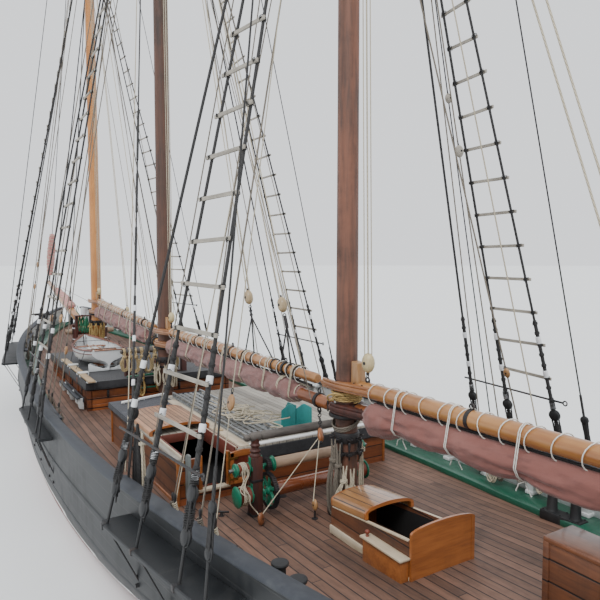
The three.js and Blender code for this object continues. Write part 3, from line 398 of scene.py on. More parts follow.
creamBoard = woodFinish("creamBoard", (199, 186, 164), (171, 153, 126), 0.55, "X", stain=(128, 114, 98),
                        worn=0.4)
archVarnish = woodFinish("archVarnish", (161, 97, 48), (116, 62, 30), 0.28, "Y", coat=0.6, stain=(84, 48, 28),
                         worn=0.3)
doorRed = woodFinish("doorRed", (124, 52, 34), (84, 36, 26), 0.34, "Z", coat=0.45, stain=(50, 28, 22),
                     worn=0.35)
postRed = woodFinish("postRed", (86, 44, 34), (50, 30, 27), 0.5, "Z", stain=(34, 28, 27), worn=0.6,
                     figure=12.0)
beamGrey = woodFinish("beamGrey", (104, 98, 92), (64, 60, 58), 0.75, "Y", stain=(46, 42, 40), worn=0.5,
                      figure=12.0)
barrelPale = woodFinish("barrelPale", (165, 142, 120), (133, 107, 86), 0.55, "Y", stain=(120, 92, 72),
                        worn=0.45, figure=12.0)
barrelRed = woodFinish("barrelRed", (132, 62, 42), (92, 44, 34), 0.45, "Y", stain=(54, 36, 32), worn=0.5,
                       figure=12.0)
barrelGloss = woodFinish("barrelGloss", (124, 66, 36), (84, 42, 25), 0.22, "Y", coat=0.7, stain=(84, 46, 30),
                         worn=0.3, figure=10.0)
battenGrey = woodFinish("battenGrey", (166, 160, 148), (122, 116, 108), 0.8, "X", stain=(96, 92, 84),
                        worn=0.5, figure=14.0)
blockTan = woodFinish("blockTan", (167, 128, 85), (133, 95, 60), 0.4, "Z", coat=0.2, stain=(104, 76, 52),
                      worn=0.35, figure=14.0)
blockBrown = woodFinish("blockBrown", (150, 92, 52), (110, 64, 38), 0.4, "Z", coat=0.2, stain=(70, 46, 34),
                        worn=0.4, figure=14.0)
blockCream = paintFinish("blockCream", (188, 172, 132), (128, 108, 76), 0.4, 0.4, scale=8.0)
blockAsh = woodFinish("blockAsh", (178, 158, 124), (138, 116, 84), 0.4, "Z", coat=0.2, stain=(96, 78, 58),
                      worn=0.35, figure=14.0)
coverBlack = clothFinish("coverBlack", (44, 45, 48), (62, 63, 66), (32, 33, 36), 0.7, 0.1)
roofBlack = clothFinish("roofBlack", (40, 43, 52), (60, 64, 74), (30, 32, 39), 0.65, 0.1)
sailRose = clothFinish("sailRose", (122, 75, 67), (140, 94, 86), (88, 53, 48))
sailBrown = clothFinish("sailBrown", (122, 84, 79), (142, 104, 98), (88, 59, 56))
sailPink = clothFinish("sailPink", (176, 122, 116), (190, 142, 136), (136, 88, 84))
manila = ropeFinish("manila", (190, 162, 104), (110, 86, 50), 0.08)
# Toned down partly for weathering and partly for painted shade among the loops of the hanks
hempPale = ropeFinish("hempPale", (194, 184, 162), (120, 110, 92), 0.07)
hempTan = ropeFinish("hempTan", (192, 170, 128), (104, 84, 58), 0.08)
ropeWhite = ropeFinish("ropeWhite", (228, 226, 218), (158, 154, 144), 0.06)
# Toned down partly for weathering and partly for painted shade among the loops of the hanks
ropeGrey = ropeFinish("ropeGrey", (126, 118, 106), (72, 66, 60), 0.07)
ropeTar = ropeFinish("ropeTar", (44, 43, 43), (18, 18, 19), 0.08, 0.7)
netGreen = ropeFinish("netGreen", (52, 128, 92), (26, 70, 54), 0.05)
floorPale = paintFinish("floorPale", (232, 234, 234), (222, 225, 226), 0.85, 0.1, scale=0.05)
print("finishes made")


# Floor and light
def layFloor(plan):
    bm = bmesh.new()
    bmesh.ops.create_circle(bm, cap_ends=True, radius=900.0, segments=96)
    mesh = bpy.data.meshes.new("studioFloor")
    bm.to_mesh(mesh)
    bm.free()
    floor = bpy.data.objects.new("studioFloor", mesh)
    mesh.materials.append(floorPale)
    bpy.context.scene.collection.objects.link(floor)
    world = bpy.data.worlds.new("studioSky")
    bpy.context.scene.world = world
    world.use_nodes = True
    sky = world.node_tree.nodes["Background"].inputs
    sky["Color"].default_value = (*plan["skyTone"], 1.0)
    sky["Strength"].default_value = plan["skyStrength"]
    sunData = bpy.data.lights.new("softSun", "SUN")
    sunData.energy = plan["sunStrength"]
    sunData.angle = math.radians(plan["sunAngle"])
    sun = bpy.data.objects.new("softSun", sunData)
    sun.rotation_mode = "QUATERNION"
    sun.rotation_quaternion = Vector((0.5, -0.55, -1.0)).to_track_quat("-Z", "Y")
    bpy.context.scene.collection.objects.link(sun)


layFloor(cameraPlan)


# Making pieces
def finishPiece(name, bm, finishes, body="ship", slot=None, stands=(), smooth=38.0, recalc=True):
    if recalc:
        bmesh.ops.recalc_face_normals(bm, faces=bm.faces)
    mesh = bpy.data.meshes.new(name)
    bm.to_mesh(mesh)
    bm.free()
    mesh.shade_smooth()
    mesh.set_sharp_from_angle(angle=math.radians(smooth))
    piece = bpy.data.objects.new(name, mesh)
    bpy.context.scene.collection.objects.link(piece)
    for material in finishes if isinstance(finishes, (list, tuple)) else [finishes]:
        mesh.materials.append(material)
    if isinstance(body, tuple):
        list(body)
        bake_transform(piece)
    else:
        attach(piece, body)
    if stands:
        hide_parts(*stands)
    return piece


def shaped(made, finish):
    for face in once(face for vert in made["verts"] for face in vert.link_faces):
        face.material_index = finish
    return made["verts"]


def once(items):
    # Each item once, and always in the same order
    return list(dict.fromkeys(items))


def edgesOf(verts):
    return once(edge for vert in verts for edge in vert.link_edges)


def addBox(bm, low, high, bevel=0.01, finish=0, segments=2):
    middle, size = (Vector(low) + Vector(high)) / 2, Vector(high) - Vector(low)
    place = Matrix.Translation(middle) @ Matrix.Diagonal((*size, 1.0))
    made = bmesh.ops.create_cube(bm, size=1.0, matrix=place)
    shaped(made, finish)
    if bevel:
        bmesh.ops.bevel(bm, geom=edgesOf(made["verts"]), offset=bevel, offset_type="OFFSET",
                        segments=segments, profile=0.5, affect="EDGES", material=-1)


def boxCorners(a, b):
    return tuple(map(min, zip(a, b))), tuple(map(max, zip(a, b)))


def along(start, end):
    # The turn that lays Z along the way from start to end, with its place halfway
    way = Vector(end) - Vector(start)
    turned = way.to_track_quat("Z", "Y").to_matrix().to_4x4()
    return Matrix.Translation((Vector(start) + Vector(end)) / 2) @ turned


def addRod(bm, start, end, radius, endRadius=None, segments=12, finish=0):
    length = (Vector(end) - Vector(start)).length
    made = bmesh.ops.create_cone(bm, cap_ends=True, segments=segments, radius1=radius,
                                 radius2=radius if endRadius is None else endRadius, depth=length,
                                 matrix=along(start, end))
    return shaped(made, finish)


def addBar(bm, start, end, width, height, bevel=0.006, finish=0, up=(0, 0, 1)):
    # A squared bar from start to end, with its height held upright
    ahead = (Vector(end) - Vector(start)).normalized()
    side = Vector(up).cross(ahead).normalized()
    turned = Matrix((ahead, side, ahead.cross(side))).transposed().to_4x4()
    length = (Vector(end) - Vector(start)).length
    middle = Matrix.Translation((Vector(start) + Vector(end)) / 2)
    scaled = Matrix.Diagonal((length, width, height, 1.0))
    made = bmesh.ops.create_cube(bm, size=1.0, matrix=middle @ turned @ scaled)
    shaped(made, finish)
    if bevel:
        bmesh.ops.bevel(bm, geom=edgesOf(made["verts"]), offset=bevel, offset_type="OFFSET", segments=1,
                        profile=0.5, affect="EDGES", material=-1)


def addTurned(bm, start, way, profile, segments=24, finish=0):
    # A turned form: pairs of distance along the way and radius, spun about it
    axis = Vector(way).normalized()
    side = axis.orthogonal().normalized()
    verts = [bm.verts.new(Vector(start) + axis * d + side * max(r, 0.0)) for d, r in profile]
    edges = [bm.edges.new(pair) for pair in zip(verts, verts[1:])]
    bmesh.ops.spin(bm, geom=verts + edges, cent=Vector(start), axis=axis, angle=turn, steps=segments,
                   use_merge=True)
    turned = paintShell(verts, finish)
    bmesh.ops.remove_doubles(bm, verts=once(vert for face in turned for vert in face.verts), dist=1e-5)


def sleeve(inner, outer, high, low=0.0):
    # The profile of a ring round a bar, open where it lies on the bar
    return (low, inner), (low, outer), (high, outer), (high, inner)


def band(inner, outer, high, low=0.0):
    # The same ring, closed on its inner face
    return (*sleeve(inner, outer, high, low), (low, inner))


def drum(radius, high, low=0.0):
    # The profile of a plain cylinder, closed at both ends
    return (low, 0.0), (low, radius), (high, radius), (high, 0.0)


def addHoop(bm, centre, way, radius, thickness, segments=20, sides=6, finish=0):
    axis = Vector(way).normalized()
    side = axis.orthogonal().normalized()
    turned = axis.cross(side).to_track_quat("Z", "Y").to_matrix().to_4x4()
    place = Matrix.Translation(Vector(centre) + side * radius) @ turned
    made = bmesh.ops.create_circle(bm, radius=thickness, segments=sides, matrix=place)
    ring = made["verts"]
    bmesh.ops.spin(bm, geom=ring + edgesOf(ring), cent=Vector(centre), axis=axis, angle=turn, steps=segments,
                   use_merge=True)
    paintShell(ring[:1], finish)


def paintShell(corners, finish):
    # Every face that hangs together with these corners takes the finish
    reach = once(face for vert in corners for face in vert.link_faces)
    seen = dict.fromkeys(reach)
    while reach:
        face = reach.pop()
        face.material_index = finish
        for other in once(other for edge in face.edges for other in edge.link_faces):
            if other not in seen:
                seen[other] = None
                reach.append(other)
    return list(seen)


def addPlate(bm, outline, depth, finish=0, bevel=0.0):
    # A flat outline of points in order, thickened along depth
    verts = [bm.verts.new(point) for point in outline]
    face = bm.faces.new(verts)
    out = bmesh.ops.extrude_face_region(bm, geom=[face])
    raised = [item for item in out["geom"] if isinstance(item, bmesh.types.BMVert)]
    bmesh.ops.translate(bm, verts=raised, vec=Vector(depth))
    paintShell(verts[:1], finish)
    if bevel:
        rims = [edge for edge in edgesOf(verts + raised) if edge.is_manifold
                and edge.calc_face_angle(0.0) > 0.5]
        bmesh.ops.bevel(bm, geom=rims, offset=bevel, offset_type="OFFSET", segments=2, profile=0.5,
                        affect="EDGES", material=-1)


def addSkin(bm, across, down, placeAt, finish=0, wrap=False):
    # A sheet of squares whose corners are put by placeAt(u, v), with u and v from 0 to 1
    made = bmesh.ops.create_grid(bm, x_segments=across, y_segments=down, size=0.5)
    shaped(made, finish)
    for vert in made["verts"]:
        vert.co = placeAt(vert.co.x + 0.5, vert.co.y + 0.5)
    if wrap:
        bmesh.ops.remove_doubles(bm, verts=made["verts"], dist=1e-5)
    return made["verts"]


def addBlock(bm, centre, way, length, finish=0, sheaves=1, face=None):
    # A wooden rope block: an oval shell with cheeks, its sheave pin and an iron strop
    axis = Vector(way).normalized()
    flat = Vector(face if face is not None else axis.orthogonal()).normalized()
    flat = (flat - axis * flat.dot(axis)).normalized()
    side = axis.cross(flat)
    thick = length * (0.18 + 0.16 * sheaves)
    turned = Matrix((side, flat, axis)).transposed().to_4x4()
    place = Matrix.Translation(centre) @ turned @ Matrix.Diagonal((length * 0.72, thick * 1.25, length, 1.0))
    made = bmesh.ops.create_uvsphere(bm, u_segments=14, v_segments=8, radius=0.5, matrix=place)
    limit = thick * 0.5
    for vert in made["verts"]:
        off = (vert.co - Vector(centre)).dot(flat)
        vert.co -= flat * (off - max(-limit, min(limit, off)))
    shaped(made, finish)
    centre, iron = Vector(centre), finish + 1
    pin, eye = flat * thick * 0.54, (axis * length * 0.44, axis * length * 0.62)
    addRod(bm, centre - pin, centre + pin, length * 0.09, segments=8, finish=iron)
    addRod(bm, centre + eye[0], centre + eye[1], length * 0.07, segments=6, finish=iron)


# Ropes: every line is a spline of a curve, made a mesh whose UV runs in metres along it
def smoothLine(points, count=8):
    points = [Vector(p) for p in points]
    if len(points) < 3:
        return points
    ends = [points[0] * 2 - points[1], *points, points[-1] * 2 - points[-2]]
    line = []
    for a, b, c, d in zip(ends, ends[1:], ends[2:], ends[3:]):
        for step in range(count):
            t = step / count
            bend, twist = 2 * a - 5 * b + 4 * c - d, 3 * b - a - 3 * c + d
            line.append(0.5 * ((2 * b) + (c - a) * t + bend * t * t + twist * t ** 3))
    return line + [points[-1]]


def sagging(start, end, sag, count=10):
    start, end = Vector(start), Vector(end)
    shares = [i / count for i in range(count + 1)]
    return [start.lerp(end, share) - Vector((0, 0, 4 * sag * share * (1 - share))) for share in shares]


def windings(centre, way, radius, turns, spread, perTurn=14, begin=0.0, flatten=1.0, wander=0.0):
    # Turns of rope round a bar, from one side of the centre to the other
    axis = Vector(way).normalized()
    side = axis.orthogonal().normalized()
    other = axis.cross(side)
    steps = int(turns * perTurn)
    line = []
    for i in range(steps + 1):
        angle = begin + turn * i / perTurn
        r = radius + wander * math.sin(angle * 0.37 + i)
        line.append(Vector(centre) + axis * spread * (i / steps - 0.5)
                    + side * r * math.cos(angle) * flatten + other * r * math.sin(angle))
    return line


def ropes(name, lines, radius, material, body="ship", slot="tarred_rigging", sides=3, closed=False,
          radii=None):
    curve = bpy.data.curves.new(name, "CURVE")
    curve.dimensions = "3D"
    curve.bevel_depth = radius
    curve.bevel_resolution = max(sides - 2, 0)
    curve.use_fill_caps = not closed
    around = 4 + 2 * curve.bevel_resolution
    for index, line in enumerate(lines):
        spline = curve.splines.new("POLY")
        spline.points.add(len(line) - 1)
        for point, place in zip(spline.points, line):
            point.co = (*place, 1.0)
            point.radius = radii[index] / radius if radii else 1.0
        spline.use_cyclic_u = closed
    holder = bpy.data.objects.new(name + "Line", curve)
    bpy.context.scene.collection.objects.link(holder)
    mesh = bpy.data.meshes.new_from_object(holder.evaluated_get(bpy.context.evaluated_depsgraph_get()))
    bpy.data.objects.remove(holder)
    bpy.data.curves.remove(curve)
    layRopeUv(mesh, lines, around, 0 if closed else len(lines))
    bm = bmesh.new()
    bm.from_mesh(mesh)
    bpy.data.meshes.remove(mesh)
    bmesh.ops.remove_doubles(bm, verts=bm.verts, dist=1e-5)
    return finishPiece(name, bm, material, body, slot, smooth=60.0, recalc=False)


def layRopeUv(mesh, lines, around, capped):
    # The caps' corners come first, and then the tubes, ring after ring
    runs, rounds = np.zeros(len(mesh.vertices)), np.zeros(len(mesh.vertices))
    base = 2 * around * capped
    for line in lines:
        steps = [(Vector(b) - Vector(a)).length for a, b in zip(line, line[1:])]
        size = len(line) * around
        runs[base:base + size] = np.repeat(np.concatenate(([0.0], np.cumsum(steps))), around)
        rounds[base:base + size] = np.tile(np.arange(around) / around, len(line))
        base += size
    corners = np.zeros(len(mesh.loops), int)
    mesh.loops.foreach_get("vertex_index", corners)
    wound = rounds[corners]
    capCorners = 2 * capped * (around - 2) * 3
    quads = wound[capCorners:].reshape(-1, 4)
    quads[(quads.max(1) - quads.min(1) > 0.5)[:, None] & (quads < 0.5)] += 1.0
    layer = mesh.uv_layers[0] if mesh.uv_layers else mesh.uv_layers.new(name="UVMap")
    layer.data.foreach_set("uv", np.stack((runs[corners], wound), 1).astype(np.float32).ravel())


# Lines of the hull. Each row: x, half-breadth at the deck, heights of keel and garboard, and y and z
# of the floor, of the bilge and of the topside.
hullLines = [
    (14.75, 0.13, 1.6, 1.75, 0.1, 1.9, 0.11, 2.05, 0.12, 2.3),
    (14.1, 0.7, 0.1, 0.35, 0.14, 0.6, 0.22, 1.0, 0.42, 1.7),
    (13.0, 1.35, -0.9, -0.6, 0.18, -0.3, 0.45, 0.4, 0.85, 1.4),
    (11.5, 1.95, -1.75, -1.45, 0.3, -0.9, 0.9, 0.1, 1.5, 1.2),
    (9.0, 2.72, -2.1, -1.8, 0.6, -1.1, 1.65, -0.2, 2.39, 1.0),
    (5.5, 3.28, -2.25, -1.95, 1.2, -1.35, 2.45, -0.6, 3.08, 0.6),
    (1.0, 3.5, -2.35, -2.05, 1.6, -1.5, 2.85, -0.75, 3.4, 0.4),
    (-3.0, 3.53, -2.4, -2.1, 1.6, -1.5, 2.8, -0.7, 3.43, 0.4),
    (-7.0, 3.33, -2.45, -2.12, 1.2, -1.35, 2.35, -0.45, 3.22, 0.6),
    (-10.0, 3, -2.5, -2.15, 0.5, -1.1, 1.6, -0.05, 2.75, 0.9),
    (-12.0, 2.7, -2.5, -2.15, 0.2, -1.2, 0.75, 0.1, 2.23, 1.1),
    (-12.9, 2.53, -2.5, -2.15, 0.18, -1.3, 0.4, 0.2, 1.93, 1.2),
    (-12.95, 2.522, 0.05, 0.1, 0.25, 0.18, 0.6, 0.35, 1.88, 1.25),
    (-14.0, 2.3, 0.55, 0.6, 0.8, 0.75, 1.3, 0.95, 1.86, 1.4),
    (-15.2, 2.05, 1.05, 1.08, 0.8, 1.15, 1.45, 1.3, 1.89, 1.65),
]
# The two rows that stand at the sternpost, where the floor steps up
sternStep = 11
# How far the skin stops below the deck, and the share of its girth that is keel
deckSunk, keelShare = 0.06, 0.08
hullPlan = {
    "keelHalf": 0.13, "stripeTop": 0.52, "stripeWide": 0.14, "waterwayWide": 0.62, "waterwayHigh": 0.1,
    "plankThick": 0.12, "bulwarkHigh": 0.75, "railThick": 0.08, "railIn": 0.18, "railOut": 0.05,
    "aft": -15.19, "fore": 14.3, "deckFore": 14.08, "postSize": 0.13, "postPitch": 1.05,
}


def sheerAt(x):
    return 1.4 + 1.15 * ((x + 2) / 17) ** 2 if x > -2 else 1.4 + 0.55 * ((x + 2) / 13) ** 2


def spanAt(x):
    x = min(max(x, hullLines[-1][0]), hullLines[0][0])
    index = next(i for i in range(len(hullLines) - 1) if hullLines[i + 1][0] <= x)
    return index, (x - hullLines[index][0]) / (hullLines[index + 1][0] - hullLines[index][0])


def deckAt(x):
    i, t = spanAt(x)
    a, b = sheerAt(hullLines[i][0]), sheerAt(hullLines[i + 1][0])
    return a + (b - a) * t


def railTop(x):
    return deckAt(x) + hullPlan["bulwarkHigh"] + hullPlan["railThick"]


def hullAt(x, column):
    # A smooth curve through the sections, but straight across the step abaft the sternpost
    i, t = spanAt(x)
    a, b = hullLines[i], hullLines[i + 1]
    step = b[0] - a[0]
    stepAt = sternStep if column > 1 else -1
    if i == stepAt:
        return a[column] + (b[column] - a[column]) * t

    def slope(j):
        low, high = max(j - 1, 0), min(j + 1, len(hullLines) - 1)
        if stepAt >= 0 and j == stepAt:
            high = j
        if stepAt >= 0 and j == stepAt + 1:
            low = j
        p, q = hullLines[low], hullLines[high]
        return (q[column] - p[column]) / (q[0] - p[0])
    ma, mb = slope(i) * step, slope(i + 1) * step
    return ((2 * t ** 3 - 3 * t ** 2 + 1) * a[column] + (t ** 3 - 2 * t ** 2 + t) * ma
            + (3 * t ** 2 - 2 * t ** 3) * b[column] + (t ** 3 - t ** 2) * mb)


def breadthAt(x):
    return hullAt(x, 1)


def girthAt(x, share):
    # A point of the port side's skin: share 0 at the keel's foot, 1 at the deck edge
    half = hullPlan["keelHalf"] * min(1.0, breadthAt(x) / 0.2)
    marks = [(half, hullAt(x, 2)), (half, hullAt(x, 3)), (hullAt(x, 4), hullAt(x, 5)),
             (hullAt(x, 6), hullAt(x, 7)),
             (hullAt(x, 8), hullAt(x, 9)), (breadthAt(x), deckAt(x) - deckSunk)]
    if share <= keelShare:
        return marks[0][0], marks[0][1] + (marks[1][1] - marks[0][1]) * share / keelShare
    place = (share - keelShare) / (1 - keelShare) * 4
    k = min(int(place), 3)
    t = place - k
    a, b, c = marks[k + 1], marks[k + 2], marks[min(k + 3, 5)]
    z = marks[k]
    if k == 0:
        z = (2 * a[0] - b[0], 2 * a[1] - b[1])
    if k == 3:
        c = (2 * b[0] - a[0], 2 * b[1] - a[1])

    def curve(i):
        return 0.5 * (2 * a[i] + (b[i] - z[i]) * t + (2 * z[i] - 5 * a[i] + 4 * b[i] - c[i]) * t * t
                      + (3 * a[i] - z[i] - 3 * b[i] + c[i]) * t ** 3)
    return curve(0), curve(1)


def stations(low, high, pitch):
    # Even stations that also take in each section, so that what follows the deck lies on its facets
    own = [row[0] for row in hullLines if low + 0.02 < row[0] < high - 0.02]
    even = [low + (high - low) * i / round((high - low) / pitch)
            for i in range(round((high - low) / pitch) + 1)]
    return sorted(own + [x for x in even if all(abs(x - o) > pitch * 0.3 for o in own)])


sternWells = {"screwX": (-12.78, -12.05), "screwCentre": (-12.45, 0, -1.25), "screwRadius": 0.715,
              "screwWide": 0.84, "boreRadius": 0.064, "boreX": (-12.1, -11.7), "trunkX": -13.08,
              "trunkZ": (-0.3, 0.9), "trunkRadius": 0.105}


def cutSternWells(bm, plan):
    # The propeller's aperture, its shaft's bore and the rudder's trunk
    def holder(name, made):
        bmesh.ops.recalc_face_normals(made, faces=made.faces)
        mesh = bpy.data.meshes.new(name)
        made.to_mesh(mesh)
        made.free()
        item = bpy.data.objects.new(name, mesh)
        bpy.context.scene.collection.objects.link(item)
        return item

    def cylinder(centre, radius, depth, axis, sides):
        made = bmesh.new()
        place = Matrix.Translation(centre) @ Vector(axis).to_track_quat("Z", "Y").to_matrix().to_4x4()
        bmesh.ops.create_cone(made, cap_ends=True, segments=sides, radius1=radius, radius2=radius,
                              depth=depth, matrix=place)
        return made
    screw = cylinder(plan["screwCentre"], plan["screwRadius"], plan["screwWide"], (0, 1, 0), 40)
    screwAft, screwFore = plan["screwX"]
    for vert in screw.verts:
        vert.co.x = min(max(vert.co.x, screwAft), screwFore)
    bmesh.ops.remove_doubles(screw, verts=screw.verts, dist=1e-5)
    (boreA, boreB), (trunkA, trunkB) = plan["boreX"], plan["trunkZ"]
    bore = cylinder(((boreA + boreB) / 2, 0, plan["screwCentre"][2]), plan["boreRadius"], boreB - boreA,
                    (1, 0, 0), 24)
    trunk = cylinder((plan["trunkX"], 0, (trunkA + trunkB) / 2), plan["trunkRadius"], trunkB - trunkA,
                     (0, 0, 1), 24)
    shell = holder("sternShell", bm)
    cutters = [holder("sternCutter%d" % i, made) for i, made in enumerate((screw, bore, trunk))]
    for cutter in cutters:
        well = shell.modifiers.new("well", "BOOLEAN")
        well.operation, well.solver, well.object = "DIFFERENCE", "EXACT", cutter
    bpy.context.view_layer.update()
    made = bpy.data.meshes.new_from_object(shell.evaluated_get(bpy.context.evaluated_depsgraph_get()))
    out = bmesh.new()
    out.from_mesh(made)
    bpy.data.meshes.remove(made)
    for item in (shell, *cutters):
        bpy.data.meshes.remove(item.data)
    bmesh.ops.remove_doubles(out, verts=out.verts, dist=1e-5)
    return out


def makeHull(plan):
    bm = bmesh.new()
    hullAft, hullFore = hullLines[-1][0], hullLines[0][0]
    xs = stations(hullAft, hullFore, 0.5)
    rows = 40

    def place(u, v):
        x = xs[round(u * (len(xs) - 1))]
        y, z = girthAt(x, v)
        return (x, max(y, 0.02), z)
    addSkin(bm, len(xs) - 1, rows, place)
    # The keel's, the stern's, the stem's and the deck's edges are each drawn in to the middle line
    for onEdge in (lambda co: abs(co.z - hullAt(co.x, 2)) < 1e-4,
                   lambda co: abs(co.x - hullAft) < 1e-4,
                   lambda co: abs(co.x - hullFore) < 1e-4,
                   lambda co: abs(co.z - deckAt(co.x) + deckSunk) < 1e-3):
        rim = [edge for edge in bm.edges if edge.is_boundary and all(onEdge(vert.co) for vert in edge.verts)]
        out = bmesh.ops.extrude_edge_only(bm, edges=rim)
        for item in out["geom"]:
            if isinstance(item, bmesh.types.BMVert):
                item.co.y = 0.0
    bmesh.ops.remove_doubles(bm, verts=bm.verts, dist=1e-4)
    bmesh.ops.mirror(bm, geom=bm.verts[:] + bm.edges[:] + bm.faces[:], axis="Y", merge_dist=1e-4)
    bmesh.ops.remove_doubles(bm, verts=bm.verts, dist=1e-4)
    bm = cutSternWells(bm, sternWells)
    for face in bm.faces:
        x, z = face.calc_center_median().xz
        top = plan["stripeTop"] + 0.004 * max(x - 4, 0) ** 1.5 + 0.0036 * max(-x - 6, 0) ** 1.5
        face.material_index = 1 if z < top - plan["stripeWide"] else 2 if z < top else 0
    finishPiece("hullSkin", bm, [hullBlack, bottomRed, stripeWhite], slot="hull_paint", stands=["hull"],
                smooth=50)


# The strakes: how far each lies below the deck, and the size its section is worked out from
stemPlan = {"head": ((14.36, -0.085, 2.1), (14.85, 0.085, 3.08)),
            "shoe": ((-13.18, -0.07, -2.5), (-12.85, 0.07, -2.41)),
            "aft": -15.15, "fore": 14.4, "pitch": 0.8, "strakes": ((0.02, 0.05), (0.62, 0.035))}


def makeStem(plan):
    # Stem head, keel shoe, and two rubbing strakes along each side
    bm = bmesh.new()
    addBox(bm, *plan["head"], 0.03)
    addBox(bm, *plan["shoe"], 0.01)
    for side in (1, -1):
        xs = stations(plan["aft"], plan["fore"], plan["pitch"])
        for drop, thick in plan["strakes"]:
            def place(u, v, side=side, drop=drop, thick=thick):
                x = xs[round(u * (len(xs) - 1))]
                z = deckAt(x) - drop
                y = breadthAt(x)
                if drop > 0.1:
                    share = next((s / 60 for s in range(60, 20, -1) if girthAt(x, s / 60)[1] <= z), 0.5)
                    y = girthAt(x, share)[0]
                angle = turn * v
                return (x, side * (y - 0.005 + thick * math.cos(angle) * 0.7),
                        z + thick * math.sin(angle) * 1.3)
            addSkin(bm, len(xs) - 1, 8, place, wrap=True)
    finishPiece("stemAndStrakes", bm, hullBlack, slot="hull_paint")


def makeDeck(plan):
    bm = bmesh.new()
    xs = stations(plan["aft"], plan["deckFore"], 0.75)

    def place(u, v):
        x = xs[round(u * (len(xs) - 1))]
        half = max(breadthAt(x) - plan["waterwayWide"], 0.02)
        return (x, (2 * v - 1) * (half + 0.01), deckAt(x))
    addSkin(bm, len(xs) - 1, 2, place)
    out = bmesh.ops.extrude_face_region(bm, geom=bm.faces[:])
    low = [item for item in out["geom"] if isinstance(item, bmesh.types.BMVert)]
    bmesh.ops.translate(bm, verts=low, vec=(0, 0, -0.055))
    finishPiece("deckPlanks", bm, deckWood, slot="deck_teak", stands=["deck"])


def sideStrip(bm, side, low, high, pitch, corners, finish=0):
    # A bar along a side, whose section in y and z comes from its place along the ship
    xs = stations(low, high, pitch)
    count = len(corners(0.0))

    def place(u, v):
        x = xs[round(u * (len(xs) - 1))]
        y, z = corners(x)[round(v * count) % count]
        return (x, side * y, z)
    verts = addSkin(bm, len(xs) - 1, count, place, finish, wrap=True)
    for end in (xs[0], xs[-1]):
        edges = [edge for edge in edgesOf(vert for vert in verts if vert.is_valid)
                 if edge.is_boundary and all(abs(vert.co.x - end) < 1e-4 for vert in edge.verts)]
        for face in bmesh.ops.contextual_create(bm, geom=edges)["faces"]:
            face.material_index = finish


def roundedSection(y0, y1, z0, z1, r=0.02):
    corners = [(y0, z0), (y1, z0), (y1, z1), (y0, z1)]
    ways = [(1, 0, 0, 1), (0, 1, -1, 0), (-1, 0, 0, -1), (0, -1, 1, 0)]
    points = []
    for (y, z), (ax, az, bx, bz) in zip(corners, ways):
        points.append((y + bx * r, z + bz * r))
        points.append((y + ax * r, z + az * r))
    return points


def makeSides(plan):
    for side, name in ((1, "port"), (-1, "starboard")):
        bm = bmesh.new()
        sideStrip(bm, side, plan["aft"], plan["fore"], 0.6, lambda x: roundedSection(
            max(breadthAt(x) - plan["waterwayWide"], 0.1), breadthAt(x) - 0.01,
            deckAt(x) - 0.05, deckAt(x) + plan["waterwayHigh"], 0.014))
        finishPiece("waterway" + name.capitalize(), bm, greenPaint, slot="green_paint",
                    stands=["waterway_" + name], smooth=50)

        bm = bmesh.new()
        sideStrip(bm, side, plan["aft"], plan["fore"], 0.6, lambda x: [
            (breadthAt(x) - plan["plankThick"], deckAt(x) + 0.1), (breadthAt(x), deckAt(x) - deckSunk),
            (breadthAt(x), deckAt(x) + 0.46), (breadthAt(x), deckAt(x) + 0.76),
            (breadthAt(x) - plan["plankThick"], deckAt(x) + 0.76),
            (breadthAt(x) - plan["plankThick"], deckAt(x) + 0.4)])
        for face in bm.faces:
            middle = face.calc_center_median()
            outer = abs(middle.y) > breadthAt(middle.x) - 0.03
            face.material_index = 2 if outer and middle.z > deckAt(middle.x) + 0.5 else 1 if outer else 0
        finishPiece("bulwarkPlanks" + name.capitalize(), bm, [bulwarkWhite, hullBlack, hullBlack],
                    slot="white_paint", stands=["bulwark_" + name])

        bm = bmesh.new()
        x = plan["aft"] + 0.7
        while x < 13.0:
            y, z = breadthAt(x + 0.065) - plan["plankThick"], deckAt(x)
            deep = 0.05 if side > 0 else 0.13
            low, high = sorted((side * (y - deep), side * (y + 0.03)))
            addBox(bm, (x, low, z + 0.1), (x + plan["postSize"], high, z + 0.755), 0.016)
            foot = sorted((side * (y - deep - 0.02), side * y))
            addBox(bm, (x - 0.015, foot[0], z + 0.1), (x + plan["postSize"] + 0.015, foot[1], z + 0.16), 0.01)
            x += plan["postPitch"]
        finishPiece("stanchions" + name.capitalize(), bm, postWhite, slot="white_paint")

        bm = bmesh.new()
        sideStrip(bm, side, plan["aft"], plan["fore"], 0.6, lambda x: roundedSection(
            max(breadthAt(x) - plan["railIn"], 0.06), breadthAt(x) + plan["railOut"],
            deckAt(x) + plan["bulwarkHigh"], railTop(x), 0.025))
        finishPiece("railCap" + name.capitalize(), bm, railGrey, slot="white_paint", smooth=50)


def makeTaffrail(plan):
    x = plan["aft"]
    z = deckAt(x)
    half = breadthAt(x) - plan["railIn"] - 0.005
    bm = bmesh.new()
    addBox(bm, (x, -half, z - 0.04), (x + 0.11, half, z + 0.76), 0.008)
    for y in (-1.45, -0.75, 0.0, 0.75, 1.45):
        addBox(bm, (x + 0.1, y - 0.06, z + 0.05), (x + 0.22, y + 0.06, z + 0.75), 0.014)
    finishPiece("taffrailPlanks", bm, bulwarkWhite, slot="white_paint", stands=["taffrail"])
    bm = bmesh.new()
    addBox(bm, (x - 0.005, -half, z + plan["bulwarkHigh"]), (x + 0.28, half, railTop(x)), 0.025)
    addBox(bm, (x, -1.4, z), (x + 0.14, 1.4, z + 0.12), 0.01)
    finishPiece("taffrailCap", bm, railGrey, slot="white_paint", smooth=50)


makeHull(hullPlan)
makeStem(stemPlan)
makeDeck(hullPlan)
makeSides(hullPlan)
makeTaffrail(hullPlan)
print("hull, deck and bulwarks made")


